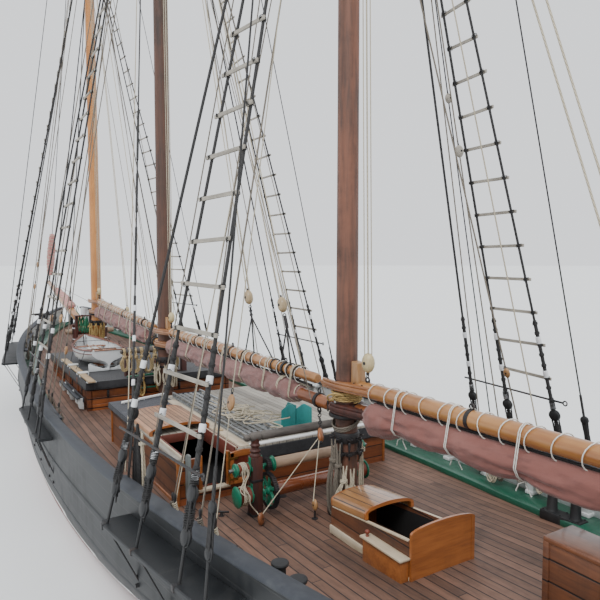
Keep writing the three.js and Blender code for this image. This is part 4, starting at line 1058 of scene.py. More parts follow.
# Masts and spars
masts = {
    "fore": {"x": 8.7, "hounds": 18.3, "head": 20.3, "topHead": 26.6, "radius": 0.21, "topRadius": 0.175,
             "boomZ": 3.48, "gaffZ": 3.9, "boomReach": 8.25, "gaffReach": 7.9, "rise": -0.045, "poleZ": 3.75,
             "finish": mastPale, "feet": (0.23, -1.05, -2.6), "backstay": -3.1, "outboard": 0.44,
             "sail": sailBrown, "crumple": 1.9, "slot": "pale_mast_wood", "bagged": False},
    "main": {"x": -0.1, "hounds": 19.3, "head": 21.3, "topHead": 27.5, "radius": 0.21, "topRadius": 0.175,
             "boomZ": 3.2, "gaffZ": 3.56, "boomReach": 8.34, "gaffReach": 7.98, "rise": -0.002, "poleZ": 3.25,
             "finish": mastMain, "feet": (-0.4, -1.6, -2.8), "backstay": -3.25, "outboard": 0.245,
             "sail": sailBrown, "crumple": 1.3, "slot": "dark_mast_wood", "bagged": False},
    "mizzen": {"x": -8.9, "hounds": 16.4, "head": 18.1, "topHead": 23.8, "radius": 0.175, "topRadius": 0.145,
               "boomZ": 3.24, "gaffZ": 3.6, "boomReach": 8.3, "gaffReach": 7.9, "rise": 0.012, "poleZ": 3.25,
               "finish": mastDark, "feet": (0.51, -0.46, -1.57), "backstay": -2.1, "outboard": 0.37,
               "sail": sailRose, "crumple": 1.15, "slot": "dark_mast_wood", "bagged": True},
}
sparPlan = {"jawClear": 0.014, "boomRadius": (0.125, 0.105), "gaffRadius": (0.115, 0.085), "hoopPitch": 0.33,
            "tiePitch": 1.0, "firstTie": 0.85, "saddle": 0.11, "horn": 0.40}


def poleRadius(mast, z):
    return mast["radius"] + (mast["topRadius"] - mast["radius"]) * (z - 1.0) / (mast["head"] - 1.0)


def topX(mast):
    return mast["x"] + mast["topRadius"] + 0.15


def makeMast(name, mast):
    x, hounds, head, foot = mast["x"], mast["hounds"], mast["head"], deckAt(mast["x"])
    bm = bmesh.new()
    addTurned(bm, (x, 0, foot - 0.03), (0, 0, 1), [(0, 0), (0, poleRadius(mast, foot)), *[
        (z, poleRadius(mast, foot + z) * (1 + 0.006 * math.sin(z * 1.7)))
        for z in (2, 4, 6, 8, 10, 12, hounds - foot)],
        (head - foot - 0.01, mast["topRadius"]), (head - foot + 0.02, mast["topRadius"] - 0.03),
        (head - foot + 0.02, 0)], 36)
    finishPiece("mastPole" + name.capitalize(), bm, mast["finish"], slot=mast["slot"],
                stands=["mast_" + name], smooth=50)

    bm = bmesh.new()
    r = poleRadius(mast, mast["boomZ"])
    addTurned(bm, (x, 0, foot), (0, 0, 1), [(0, r + 0.13), (0.05, r + 0.13), (0.08, r + 0.07),
                                            (0.2, r + 0.02), (0.24, r + 0.012),
                                            (0.24, r - 0.02), (0, r - 0.02)], 28)
    # The band with its eyes for the belaying pins, and the saddle under the boom's jaws
    low = mast["boomZ"] - 0.56
    addTurned(bm, (x, 0, low), (0, 0, 1), [(0.02, r - 0.01), (0.02, r + 0.022), (0.04, r + 0.03),
                                           (0.16, r + 0.03),
                                           (0.18, r + 0.022), (0.18, r - 0.01)], 28)
    saddle = r + sparPlan["saddle"]
    addTurned(bm, (x, 0, mast["boomZ"] - 0.17), (0, 0, 1), [
        (0, r + 0.01), (0.03, saddle - 0.02), (0.04, saddle), (0.08, saddle), (0.088, saddle - 0.012),
        (0.088, r - 0.01)], 28)
    eyes = 8
    for i in range(eyes):
        angle = turn * (i + 0.5) / eyes
        out = Vector((math.cos(angle), math.sin(angle), 0))
        eye = Vector((x, 0, low + 0.1)) + out * (r + 0.06)
        addHoop(bm, eye, (0, 0, 1), 0.035, 0.011, 12, 5)
    for z in (hounds - 0.45, hounds + 0.75, head - 0.45):
        hoop = poleRadius(mast, z)
        addTurned(bm, (x, 0, z), (0, 0, 1), sleeve(hoop - 0.01, hoop + 0.016, 0.09), 28)
        addHoop(bm, (x - hoop - 0.06, 0, z + 0.045), (0, 1, 0), 0.05, 0.014, 14, 6)
    addTurned(bm, (topX(mast), 0, mast["topHead"] - 0.34), (0, 0, 1), sleeve(0.06, 0.085, 0.06), 20)
    cheekY = mast["topRadius"] + 0.055
    addBox(bm, (x - 0.2, -0.18, head - 0.225), (x + 0.55, 0.18, head - 0.115), 0.02)
    finishPiece("mastIrons" + name.capitalize(), bm, ironBlack, slot="black_iron", smooth=50)

    bm = bmesh.new()
    for side in (1, -1):
        addBox(bm, *boxCorners((x - 0.26, side * (mast["topRadius"] - 0.02), hounds - 0.085),
                               (x + 0.6, side * cheekY, hounds + 0.055)), 0.015)
        addPlate(bm, [(x - 0.2, side * cheekY, hounds - 0.05), (x + 0.3, side * cheekY, hounds - 0.05),
                      (x + 0.05, side * cheekY, hounds - 0.85),
                      (x - 0.06, side * cheekY, hounds - 0.85)], (0, -side * 0.06, 0))
    for offset in (-0.21, 0.56):
        addBar(bm, (x + offset, -1.0, hounds + 0.09), (x + offset, 1.0, hounds + 0.09), 0.11, 0.075, 0.018)
    # The bolsters that carry the shrouds' eyes, one each side
    for side in (1, -1):
        y, z = side * (mast["topRadius"] + 0.03), hounds + 0.09
        addRod(bm, (x - 0.2, y, z), (x + 0.26, y, z), 0.05, segments=10)
    finishPiece("crosstrees" + name.capitalize(), bm, mast["finish"], slot=mast["slot"])

    bm = bmesh.new()
    length = mast["topHead"] - hounds + 0.35
    addTurned(bm, (topX(mast), 0, hounds - 0.35), (0, 0, 1), [
        (0, 0), (0, 0.10), (0.03, 0.118), (1.2, 0.12), (length * 0.5, 0.1), (length - 0.24, 0.068),
        (length - 0.22, 0.055),
        (length - 0.09, 0.053), (length - 0.085, 0.085), (length - 0.06, 0.098), (length - 0.03, 0.085),
        (length - 0.012, 0)], 24)
    finishPiece("topmastPole" + name.capitalize(), bm, mast["finish"], slot=mast["slot"],
                stands=["topmast_" + name], smooth=50)


def jawOutline(x, inner, outer, neck, horn, z):
    tips = [(x + horn, inner + 0.012), (x + horn * 0.6, inner)]
    arc = [(x - inner * math.sin(math.radians(a)), inner * math.cos(math.radians(a)))
           for a in range(0, 181, 15)]
    back = [(x + horn * 0.6, -inner), (x + horn, -inner - 0.012), (x + horn - 0.01, -inner - 0.05),
            (x + horn * 0.5, -outer + 0.01),
            (x - 0.05, -outer), (x - inner - neck * 0.5, -outer * 0.66), (x - inner - neck, -0.1)]
    front = [(a, -b) for a, b in reversed(back[2:])]
    return [Vector((a, b, z)) for a, b in tips + arc + back + front]


def makeSpars(name, mast, plan):
    x, body = mast["x"], name + "_boom"
    for spar, z, radii, reach, horn in (("boom", mast["boomZ"], plan["boomRadius"], mast["boomReach"], 0.19),
                                        ("gaff", mast["gaffZ"], plan["gaffRadius"], mast["gaffReach"],
                                         plan["horn"])):
        inner = poleRadius(mast, z) + plan["jawClear"]
        start = x - poleRadius(mast, z) - (plan["saddle"] + 0.025 if spar == "boom" else 0.054)
        end = x - reach
        endZ = z + mast["rise"] * (start - end)
        a, b = Vector((start, 0, z)), Vector((end, 0, endZ))
        way = (b - a).normalized()
        length = (b - a).length
        bm = bmesh.new()
        first = 0.35 if spar == "gaff" else 0.25
        addTurned(bm, a, way, [(0.0, 0), (0.0, radii[0] * 0.86), (first, radii[0]),
                               (length * 0.4, radii[0] * 1.02),
                               (length * 0.75, (radii[0] + radii[1]) / 2), (length - 0.03, radii[1]),
                               (length, radii[1] * 0.8), (length, 0)], 28)
        finish = sparVarnish if spar == "gaff" or name == "fore" else boomVarnish
        finishPiece(f"{spar}Pole{name.capitalize()}", bm, finish, body, "varnished_wood", [f"{spar}_{name}"],
                    smooth=50)
        bm = bmesh.new()
        half = 0.07 if spar == "gaff" else 0.075
        dark = 1 if spar == "boom" and name == "mizzen" else 0
        addPlate(bm, jawOutline(x, inner, inner + 0.085, 0.62, horn, z - half * 0.45), (0, 0, half * 0.9),
                 dark, 0.006)
        for low, high in ((z - half, z - half * 0.5), (z + half * 0.5, z + half)):
            addPlate(bm, jawOutline(x, inner + 0.002, inner + 0.07, 0.52, horn - 0.05, low),
                     (0, 0, high - low), dark, 0.006)
        for side in (1, -1):
            for offset in (0.2, -0.02, -0.3, -0.5):
                place = Vector((x + offset, side * (inner + 0.035 if offset > -0.1 else 0.09), z))
                addRod(bm, place - Vector((0, 0, half + 0.012)), place + Vector((0, 0, half + 0.012)), 0.014,
                       segments=8, finish=2)
        if spar == "gaff":
            # The hump that the throat bears against, and its eyebolt
            addPlate(bm, [Vector((x - inner - 0.02, -0.075, z + 0.04)),
                          Vector((x - inner - 0.22, -0.075, z + 0.06)),
                          Vector((x - inner - 0.17, -0.075, z + 0.38)),
                          Vector((x - inner - 0.03, -0.075, z + 0.40))], (0, 0.15, 0), 3, 0.012)
        finishPiece(f"{spar}Jaws{name.capitalize()}", bm, [jawOak, postRed, ironBlack, blockTan], body,
                    "varnished_wood")
        bm = bmesh.new()
        if spar == "boom":
            # Iron rings with eyes for the sheet and the lifts near the boom's end
            for d in (length - 0.32, length - 1.35, length * 0.55):
                centre = a + way * d
                addTurned(bm, centre - way * 0.035, way, sleeve(0.09, 0.128, 0.07), 24)
                addHoop(bm, centre - Vector((0, 0, 0.165)), (0, 1, 0), 0.045, 0.013, 14, 6)
                addHoop(bm, centre + Vector((0, 0, 0.165)), (0, 1, 0), 0.04, 0.012, 14, 6)
        else:
            for d in (length * 0.3, length * 0.56, length * 0.86):
                centre = a + way * d
                addTurned(bm, centre - way * 0.03, way, sleeve(0.08, 0.122, 0.06), 24)
                addHoop(bm, centre + Vector((0, 0, 0.155)), (0, 1, 0), 0.035, 0.012, 14, 6)
            addHoop(bm, Vector((x - inner - 0.34, 0, z + 0.15)), (0, 1, 0), 0.04, 0.014, 14, 6)
            addRod(bm, (x - inner - 0.34, 0, z + 0.02), (x - inner - 0.34, 0, z + 0.12), 0.02, segments=8)
        finishPiece(f"{spar}Irons{name.capitalize()}", bm, ironBlack, body, "black_iron", smooth=50)


def rollRing(mast, share):
    # Centre height, half width, and reach below and above of the furled sail at a share of its length
    start = mast["x"] - poleRadius(mast, mast["boomZ"]) - 0.30
    end = mast["x"] - mast["gaffReach"] + 0.42
    x = start + (end - start) * share
    base = mast["boomZ"] + mast["rise"] * (start - x)
    wide, low = 0.235 - 0.05 * share, 0.225 - 0.02 * share
    if mast["bagged"]:
        # The mizzen's lies close under its boom, but for a full bag by the mast
        wide, low = 0.195 - 0.035 * share, 0.142 + 0.085 * math.exp(-((start - x - 0.36) / 0.4) ** 2)
    return x, base, wide, low, mast["gaffZ"] - mast["boomZ"] - 0.155


def rollLength(mast):
    return mast["gaffReach"] - 0.9


def tieShares(mast):
    # Where the ties go round the bundle, as shares of its length
    count = rollLength(mast) / sparPlan["tiePitch"]
    return [(k + sparPlan["firstTie"]) / count for k in range(int(count))]


def rollPoint(mast, share, v):
    x, base, wide, low, high = rollRing(mast, share)
    rough, seed = mast["crumple"], mast["x"] * 3.1
    length = rollLength(mast)
    phase = share * length / sparPlan["tiePitch"] - sparPlan["firstTie"]
    angle = turn * v
    tie = 0.5 + 0.5 * math.cos(turn * phase)
    along = phase - math.floor(phase)
    ease = 0.0
    if 0 < share < 1:
        ease = min(1.0, (share * length / 0.22) ** 0.5, ((1 - share) * length / 0.3) ** 0.5)
    up, out = math.sin(angle), math.cos(angle)
    folds = abs(math.sin(angle * 2.5 + 2.2 * noise.noise((x * 0.7 + seed, 0, 1.3)) + 0.5 * x))
    folds += 0.6 * abs(math.sin(angle * 4.0 - 0.66 * x + 3.0 * noise.noise((x * 0.5, seed, 0))))
    # Creases that run up and out from every tie
    fan = math.sin(angle * 3.0 + 5.0 * abs(along - 0.5) + seed) * tie ** 0.5 * math.exp(-2.2 * (1 - tie))
    creases = noise.noise((x * 2.6 + seed, 2.2 * out, 2.2 * up))
    fine = noise.noise((x * 7.0 + seed, 5 * out, 5 * up))
    slack = 1.0 - 0.14 * tie ** 6 + 0.05 * (folds - 0.9) * rough + 0.07 * fan
    slack += 0.16 * creases * rough + 0.06 * fine * rough
    below = low + 0.045 * (1 - tie) if mast["bagged"] else low * (1.0 + 0.10 * (1 - tie))
    z = base + (high * up if up > 0 else below * up * slack) * ease
    return (x, wide * out * slack * ease * (1.0 + 0.06 * (1 - up)), z + (high - low) * 0.12 * (1 - ease))


def makeRoll(name, mast):
    # The furled sail: a long roll with lengthwise folds, gathered by a tie every metre or so
    bm = bmesh.new()
    addSkin(bm, 300, 52, lambda u, v: rollPoint(mast, u, v), wrap=True)
    roll = finishPiece("sailRoll" + name.capitalize(), bm, mast["sail"], name + "_boom", "sail_cloth",
                       ["sail_" + name], smooth=80)


def gaffLine(mast, x, drop=0.0):
    start = mast["x"] - poleRadius(mast, mast["gaffZ"]) - 0.054
    return Vector((x, 0, mast["gaffZ"] + mast["rise"] * (start - x) - drop))


def tautRound(spots):
    # The outermost of these points, in order round them
    spots = sorted(set(spots))
    ring = []
    for row in (spots, spots[::-1]):
        side = []
        for spot in row:
            while len(side) > 1 and ((side[-1][0] - side[-2][0]) * (spot[1] - side[-2][1])
                                     - (side[-1][1] - side[-2][1]) * (spot[0] - side[-2][0])) <= 0:
                side.pop()
            side.append(spot)
        ring += side[:-1]
    return ring


def makeLashings(name, mast, plan):
    # The lacing that holds the sail's head to the gaff, its jackstay, and the ties round the bundle
    x0, x1 = mast["x"] - 0.75, mast["x"] - mast["gaffReach"] + 0.2
    body = name + "_boom"
    r = 0.133 if name == "mizzen" else 0.128
    hoops, x = [], x0
    while x > x1:
        lean = draw.uniform(-0.05, 0.05)
        centre = gaffLine(mast, x)
        hoops.append([centre + Vector((0.04 * math.sin(a) + lean * math.cos(a), r * math.sin(a),
                                       (r if math.cos(a) > 0 else r + 0.045) * math.cos(a)))
                      for a in [turn * i / 22 for i in range(23)]])
        x -= plan["hoopPitch"] * draw.uniform(0.92, 1.08)
    ropes("gaffLacing" + name.capitalize(), hoops, 0.0075, ropeWhite, body, "sail_cloth", 2)
    stay = [gaffLine(mast, x0 + (x1 - x0) * i / 40, 0.142 + 0.006 * abs(math.sin(i * 0.9)))
            for i in range(41)]
    ropes("gaffJackstay" + name.capitalize(), [stay], 0.02, ropeTar, body, "tarred_rigging")
    ropes("gaffHeadRope" + name.capitalize(), [[p + Vector((0, 0.018, -0.03)) for p in stay],
                                               [p + Vector((0, -0.018, -0.03)) for p in stay]],
          0.011, ropeGrey, body, "sail_cloth")
    ties = []
    for i, share in enumerate(tieShares(mast)):
        # A taut ring about the gaff and the bundle, drawn round the outermost points of both
        x = rollRing(mast, share)[0]
        spots = [rollPoint(mast, share, k / 40)[1:] for k in range(40)]
        top = gaffLine(mast, x).z
        spots += [(0.125 * math.cos(turn * k / 20), top + 0.125 * math.sin(turn * k / 20)) for k in range(20)]
        ring = tautRound(spots)
        middle = sum(spot[1] for spot in ring) / len(ring)
        for twin in (0.0, 0.024) if name == "mizzen" else (0.0, 0.02, 0.045):
            line = [Vector((x + twin + 0.02 * math.sin(3.0 * y + i), y * 1.04, middle + (z - middle) * 1.02))
                    for y, z in ring]
            ties.append(line + line[:1])
        if name == "mizzen":
            low = min(ring, key=lambda spot: spot[1])
            for k in (-1, 1):
                ties.append([Vector((x, low[0], low[1] - 0.004)),
                             Vector((x + 0.05 * k, low[0] + 0.05, low[1] - 0.03)),
                             Vector((x + 0.10 * k, low[0] + 0.03, low[1] - 0.13))])
    ropes("sailTies" + name.capitalize(), ties, 0.0075, ropeWhite if name == "mizzen" else hempPale, body,
          "sail_cloth", 2)


for mastName, mastRow in masts.items():
    makeMast(mastName, mastRow)
    makeSpars(mastName, mastRow, sparPlan)
    makeRoll(mastName, mastRow)
    makeLashings(mastName, mastRow, sparPlan)
print("masts, spars and furled sails made")


# Standing rigging
rigPlan = {
    "lift": 0.45, "wire": 0.021, "served": 0.031, "servedTo": 2.55, "deadeye": 0.095, "low": 0.5,
    "high": 0.95, "bands": (1.07, 1.6, 2.15), "bandLong": 0.1, "pole": 0.017, "poleOver": 0.2,
    "battenPitch": 0.535, "battenLow": 1.6, "battenHigh": 0.05, "battenThick": 0.028, "channelEdge": 0.07,
    "chainDrop": 1.05,
}


def shroudRuns(mast, side):
    # Foot and head of each shroud, and last those of the topmast backstay
    runs = []
    for index, offset in enumerate((*mast["feet"], mast["backstay"])):
        x = mast["x"] + offset
        foot = Vector((x, side * (breadthAt(x) + mast["outboard"]), deckAt(x) + rigPlan["lift"]))
        if index < 3:
            headZ = mast["hounds"] - 0.26
            head = Vector((mast["x"] + (1 - index) * 0.03, side * (poleRadius(mast, headZ - 0.14) + 0.045),
                           headZ))
        else:
            head = Vector((topX(mast), side * 0.095, mast["topHead"] - 0.3))
        runs.append((foot, head))
    return runs


def runAt(run, z):
    foot, head = run
    return foot.lerp(head, (z - foot.z) / (head.z - foot.z))


def runUp(run, distance):
    foot, head = run
    return foot + (head - foot).normalized() * distance


def makeShrouds(name, mast, side, plan):
    tag = name.capitalize() + ("Port" if side > 0 else "Starboard")
    runs = shroudRuns(mast, side)
    lines, radii = [], []
    for run in runs[:3]:
        lines.append([runUp(run, plan["high"])] + [runAt(run, z) for z in (4, 7, 10, 13)] + [run[1]])
        radii.append(plan["wire"])
        # The doubled end, seized up along the shroud
        lines.append([runUp(run, d) for d in (plan["high"], 1.2, 1.8, plan["servedTo"])])
        radii.append(plan["served"])
    lines.append([runUp(runs[3], plan["high"]), runs[3][1]])
    radii.append(0.012)
    lines.append([runUp(runs[3], d) for d in (plan["high"], 1.0, 1.35)])
    radii.append(0.02)
    ropes("shrouds" + tag, lines, plan["wire"], ropeTar, radii=radii, sides=4)
    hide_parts(f"shrouds_{name}_" + ("port" if side > 0 else "starboard"))

    dead = bmesh.new()
    bands = bmesh.new()
    lanyards, hitches, tails = [], [], []
    for index, run in enumerate(runs):
        way = (run[1] - run[0]).normalized()
        face = Vector((0, 1, 0)) - way * way.y
        face.normalize()
        across = way.cross(face).normalized()
        size = plan["deadeye"] * (1.0 if index < 3 else 0.7)
        centres = [runUp(run, plan["low"]), runUp(run, plan["high"])]
        for centre in centres:
            addTurned(dead, centre - face * size * 0.45, face, [
                (0, 0), (0, size * 0.72), (size * 0.18, size * 0.96), (size * 0.36, size),
                (size * 0.44, size * 0.88), (size * 0.52, size),
                (size * 0.72, size * 0.96), (size * 0.9, size * 0.72), (size * 0.9, 0)], 20)
        addRod(dead, run[0] - way * 0.03, centres[0] - way * size * 0.8, 0.019, segments=8)
        addHoop(dead, centres[0], face, size * 1.06, 0.011, 20, 6)
        # Three turns of lanyard between the two deadeyes, drawn in from face to face
        for strand in (-0.045, 0.0, 0.045):
            for skin in (-1, 1):
                off = across * strand * size / 0.085
                reach = face * skin * size
                middle = centres[0].lerp(centres[1], 0.5)
                lanyards.append([centres[0] + off * 0.9 + reach * 0.3, middle + off * 0.75 + reach * 0.2,
                                 centres[1] + off + reach * 0.3])
        if index < 3:
            hitches.append(windings(runUp(run, 0.72), way, 0.055, 8, 0.2, 10, index, 1.0, 0.006))
            hitches.append(windings(runUp(run, plan["high"] + 0.17), way, 0.045, 8, 0.15, 10, index * 2, 1.0,
                                    0.006))
            for k in range(3):
                bottom = runUp(run, 0.46 - 0.07 * k) + across * draw.uniform(-0.08, 0.08)
                bottom += face * draw.uniform(0.03, 0.06) * (-side)
                tails.append([runUp(run, 0.86), runUp(run, 0.68) + across * (0.05 * (k - 1)), bottom])
            for bandAt in plan["bands"]:
                start = runUp(run, bandAt + draw.uniform(-0.03, 0.03))
                long = plan["bandLong"] * draw.uniform(0.85, 1.15)
                addTurned(bands, start, way, [(0, 0.025), (0, plan["served"] + 0.006),
                                              (0.012, plan["served"] + 0.010),
                                              (long, plan["served"] + 0.009), (long + 0.01, 0.025)], 16)
            for d in (1.22, 1.42, 1.8, 1.98, 2.34, 2.5):
                hitches.append(windings(runUp(run, d), way, plan["served"] + 0.005, 4, 0.035, 10))
    finishPiece("deadeyes" + tag, dead, tarBlack, slot="tarred_rigging")
    finishPiece("bands" + tag, bands, whiteBand, slot="white_paint")
    ropes("lanyards" + tag, lanyards + tails, 0.012, ropeTar)
    ropes("seizings" + tag, hitches, 0.007, ropeTar, sides=2)

    bm = bmesh.new()
    first, last = runAt(runs[0], mast["poleZ"]), runAt(runs[2], mast["poleZ"])
    over = (last - first).normalized() * plan["poleOver"]
    out = Vector((0, side * 0.04, 0))
    addRod(bm, first - over + out, last + over + out, plan["pole"], segments=10)
    addHoop(bm, last + over * 1.18 + out, (0, 1, 0), 0.035, 0.012, 14, 6)
    finishPiece("sheerPole" + tag, bm, ironBlack, slot="black_iron")
    bm = bmesh.new()
    z = mast["poleZ"] + 0.37
    while z < mast["hounds"] - plan["battenLow"]:
        a, b = runAt(runs[1], z), runAt(runs[2], z)
        beyond = (b - a).normalized()
        a -= beyond * (0.085 + draw.uniform(-0.02, 0.02))
        b += beyond * (0.065 + draw.uniform(-0.02, 0.02))
        tilt = Vector((0, 0, draw.uniform(-0.012, 0.012)))
        out = Vector((0, side * (plan["wire"] + plan["battenThick"] * 0.5 + (0.01 if z < 4.6 else 0.0)), 0))
        addBar(bm, a + out + tilt, b + out - tilt, plan["battenThick"], plan["battenHigh"], 0.005)
        z += plan["battenPitch"]
    finishPiece("battens" + tag, bm, battenGrey, slot="pale_mast_wood")
    ties = []
    z = mast["poleZ"] + 0.37
    while z < min(mast["hounds"] - plan["battenLow"], 11.0):
        for run in runs[1:3]:
            spot = runAt(run, z) + Vector((0, side * 0.015, 0))
            ties.append(windings(spot, (0.3, 0, 1), plan["wire"] + 0.022, 3, 0.05, 9, z))
        z += plan["battenPitch"]
    ropes("battenTies" + tag, ties, 0.005, ropeTar, sides=2)

    bm = bmesh.new()
    start, end = runs[3][0].x - 0.13, runs[0][0].x + 0.15
    count = 14
    verts = []
    for i in range(count + 1):
        x = start + (end - start) * i / count
        inner = breadthAt(x) + 0.004
        edge = breadthAt(x) + mast["outboard"] + plan["channelEdge"]
        z = deckAt(x) + 0.48
        trim = 0.04 if i in (0, count) else 0.0
        section = ((inner, z - 0.06), (edge - 0.012 - trim, z - 0.06), (edge - trim, z - 0.048),
                   (edge - trim, z - 0.012), (edge - 0.012 - trim, z), (inner, z))
        verts.append([bm.verts.new((x, side * y, h)) for y, h in section])
    for a, b in zip(verts, verts[1:]):
        for k in range(6):
            bm.faces.new((a[k], a[(k + 1) % 6], b[(k + 1) % 6], b[k]))
    bm.faces.new(verts[0])
    bm.faces.new(list(reversed(verts[-1])))
    for run in runs:
        foot = run[0]
        heel = Vector((foot.x, side * (breadthAt(foot.x) - 0.12), foot.z - plan["chainDrop"]))
        addBar(bm, foot - Vector((0, 0, 0.02)), heel, 0.05, 0.02, 0.004, 1, (0, 1, 0.3))
        addRod(bm, heel + Vector((0, side * 0.08, 0.1)), heel + Vector((0, side * 0.13, 0.1)), 0.03,
               segments=10, finish=1)
        addBox(bm, *boxCorners(foot - Vector((0.035, side * 0.02, 0.04)),
                               foot + Vector((0.035, side * 0.075, 0.035))),
               0.006, 1)
    finishPiece("channel" + tag, bm, [hullBlack, ironBlack], slot="hull_paint")


for mastName, mastRow in masts.items():
    for shipSide in (1, -1):
        makeShrouds(mastName, mastRow, shipSide, rigPlan)
print("shrouds made")

# Bowsprit, stays and the furled headsail
stayPlan = {
    "heel": (10.6, 0, 2.47), "tip": (21.5, 0, 4.32), "fore": (8.95, 0, 17.82), "foreEnd": (14.7, 0),
    "jib": (9.105, 0, 26.1),
    "jibFoot": (21.2, 0, 4.389), "triaticFore": ((8.5, 0, 19.9), (0.46, 0, 20.6)),
    "triaticMain": ((-0.3, 0, 20.9), (-8.42, 0, 17.5)),
}


def addEyeRing(bm, at, radius=0.1):
    addHoop(bm, at, (0, 1, 0), radius, 0.02, 18, 8)


def makeBowsprit(plan):
    heel, tip = Vector(plan["heel"]), Vector(plan["tip"])
    way = (tip - heel).normalized()
    length = (tip - heel).length
    bm = bmesh.new()
    addTurned(bm, heel, way, ((0.0, 0.0), (0.0, 0.16), (0.05, 0.184), (length * 0.42, 0.188),
                              (length * 0.75, 0.148), (length - 0.06, 0.108),
                              (length - 0.02, 0.094), (length, 0.0)), 30)
    finishPiece("bowspritPole", bm, sparVarnish, slot="varnished_wood", stands=["bowsprit"], smooth=50)
    bm = bmesh.new()
    for d, r in ((3.65, 0.2), (4.2, 0.197), (7.4, 0.168), (length - 0.34, 0.121)):
        centre = heel + way * d
        addTurned(bm, centre - way * 0.04, way, band(r - 0.03, r - 0.005, 0.08), 26)
    for d in (7.4, length - 0.34):
        addHoop(bm, heel + way * d - Vector((0, 0, 0.2 if d < 8 else 0.15)), (0, 1, 0), 0.05, 0.014, 14, 6)
    finishPiece("bowspritIrons", bm, ironBlack, slot="black_iron")
    # Bobstay chain, whiskers, foot ropes and the head rails' netting lines
    under = heel + way * (length - 0.34) - Vector((0, 0, 0.2))
    bob = Vector((14.22, 0, 1.15))
    lines = [[bob, under], [Vector((14.16, 0, 0.7)), heel + way * 7.4 - Vector((0, 0, 0.25))]]
    ropes("bobstays", lines, 0.018, ropeTar, sides=4)
    lines = []
    for side in (1, -1):
        a = Vector((11.6, side * (breadthAt(11.6) + 0.02), deckAt(11.6) + 0.62))
        b = heel + way * (length - 0.34) + Vector((0, side * 0.11, 0))
        lines.append([a, b])
        start = Vector((14.1, side * 0.34, 2.75))
        end = heel + way * (length - 0.6) + Vector((0, side * 0.12, -0.02))
        lines.append(sagging(start, end, 0.42, 14))
        for k in range(1, 6):
            t = k / 6
            top = heel + way * (4.2 + (length - 4.9) * t) + Vector((0, side * 0.1, 0))
            low = start.lerp(end, t) - Vector((0, 0, 4 * 0.42 * t * (1 - t)))
            lines.append([top, low])
    ropes("bowspritLines", lines, 0.009, ropeTar)


def makeStays(plan):
    heel, tip = Vector(plan["heel"]), Vector(plan["tip"])
    way = (tip - heel).normalized()

    def spritTop(x):
        point = heel + way * ((x - heel.x) / way.x)
        return point.z
    top = Vector(plan["fore"])
    end = Vector((plan["foreEnd"][0], 0, spritTop(plan["foreEnd"][0]) + 0.19))
    ropes("forestayWire", [[top, top.lerp(end, 0.5), end]], 0.019, ropeTar, sides=5)
    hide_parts("forestay")
    jibTop, jibEnd = Vector(plan["jib"]), Vector(plan["jibFoot"])
    ropes("jibstayWire", [[jibTop, jibTop.lerp(jibEnd, 0.5), jibEnd]], 0.0155, ropeTar, sides=5)
    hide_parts("jibstay")
    for key, node in (("triaticFore", "triatic_fore"), ("triaticMain", "triatic_main")):
        a, b = (Vector(p) for p in plan[key])
        ropes(key + "Wire", [[a, a.lerp(b, 0.5), b]], 0.0135, ropeTar, sides=5)
        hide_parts(node)
    bm = bmesh.new()
    for at, r in ((top + Vector((0.02, 0, 0.06)), 0.1), (end, 0.1), (jibTop, 0.085), (jibEnd, 0.085),
                  *((Vector(p), 0.07) for key in ("triaticFore", "triaticMain") for p in plan[key])):
        addEyeRing(bm, at, r)
    for a, b in ((end, top), (jibEnd, jibTop)):
        up = (b - a).normalized()
        addTurned(bm, a + up * 0.08, up, ((0.0, 0.0), (0.0, 0.024), (0.05, 0.04), (0.34, 0.04), (0.4, 0.024),
                                          (0.4, 0.0)), 12)
    finishPiece("stayIrons", bm, ironBlack, slot="black_iron")


def makeHeadsail(plan):
    # The furled headsail: a fat crumpled roll round the foot of the jib stay
    foot, head = Vector(plan["jibFoot"]), Vector(plan["jib"])
    up = (head - foot).normalized()
    side = Vector((0, 1, 0))
    out = up.cross(side).normalized()
    length = (head - foot).length

    def stayShare(u):
        return 0.015 + 0.11 * u

    def fatness(u):
        return 0.11 + 0.12 * math.sin(math.pi * (0.12 + 0.8 * u))

    def place(u, v):
        angle = turn * v
        ease = min(1.0, (u / 0.05) ** 0.5, ((1 - u) / 0.05) ** 0.5) if 0 < u < 1 else 0.0
        r = fatness(u)
        fold = abs(math.sin(angle * 3.0 + 2.0 * noise.noise((u * 6, 0, 2.0)) + u * 4))
        rough = noise.noise((u * 14.0, 2 * math.cos(angle), 2 * math.sin(angle)))
        tie = (0.5 + 0.5 * math.cos(turn * u * 6)) ** 6
        r *= (0.86 + 0.12 * fold + 0.14 * rough - 0.12 * tie) * ease
        return foot + up * (length * stayShare(u)) + side * r * math.cos(angle) + out * r * math.sin(angle)
    bm = bmesh.new()
    addSkin(bm, 90, 40, place, wrap=True)
    sail = finishPiece("headsailRoll", bm, sailPink, slot="sail_cloth", stands=["headsail"], smooth=80)
    lines, gaskets = [], 13
    for k in range(gaskets):
        u = 0.03 + 0.94 * k / (gaskets - 1)
        lines.append(windings(foot + up * (length * stayShare(u)), up, fatness(u) * 0.98, 1.5, 0.02, 16))
    ropes("headsailGaskets", lines, 0.009, hempPale)


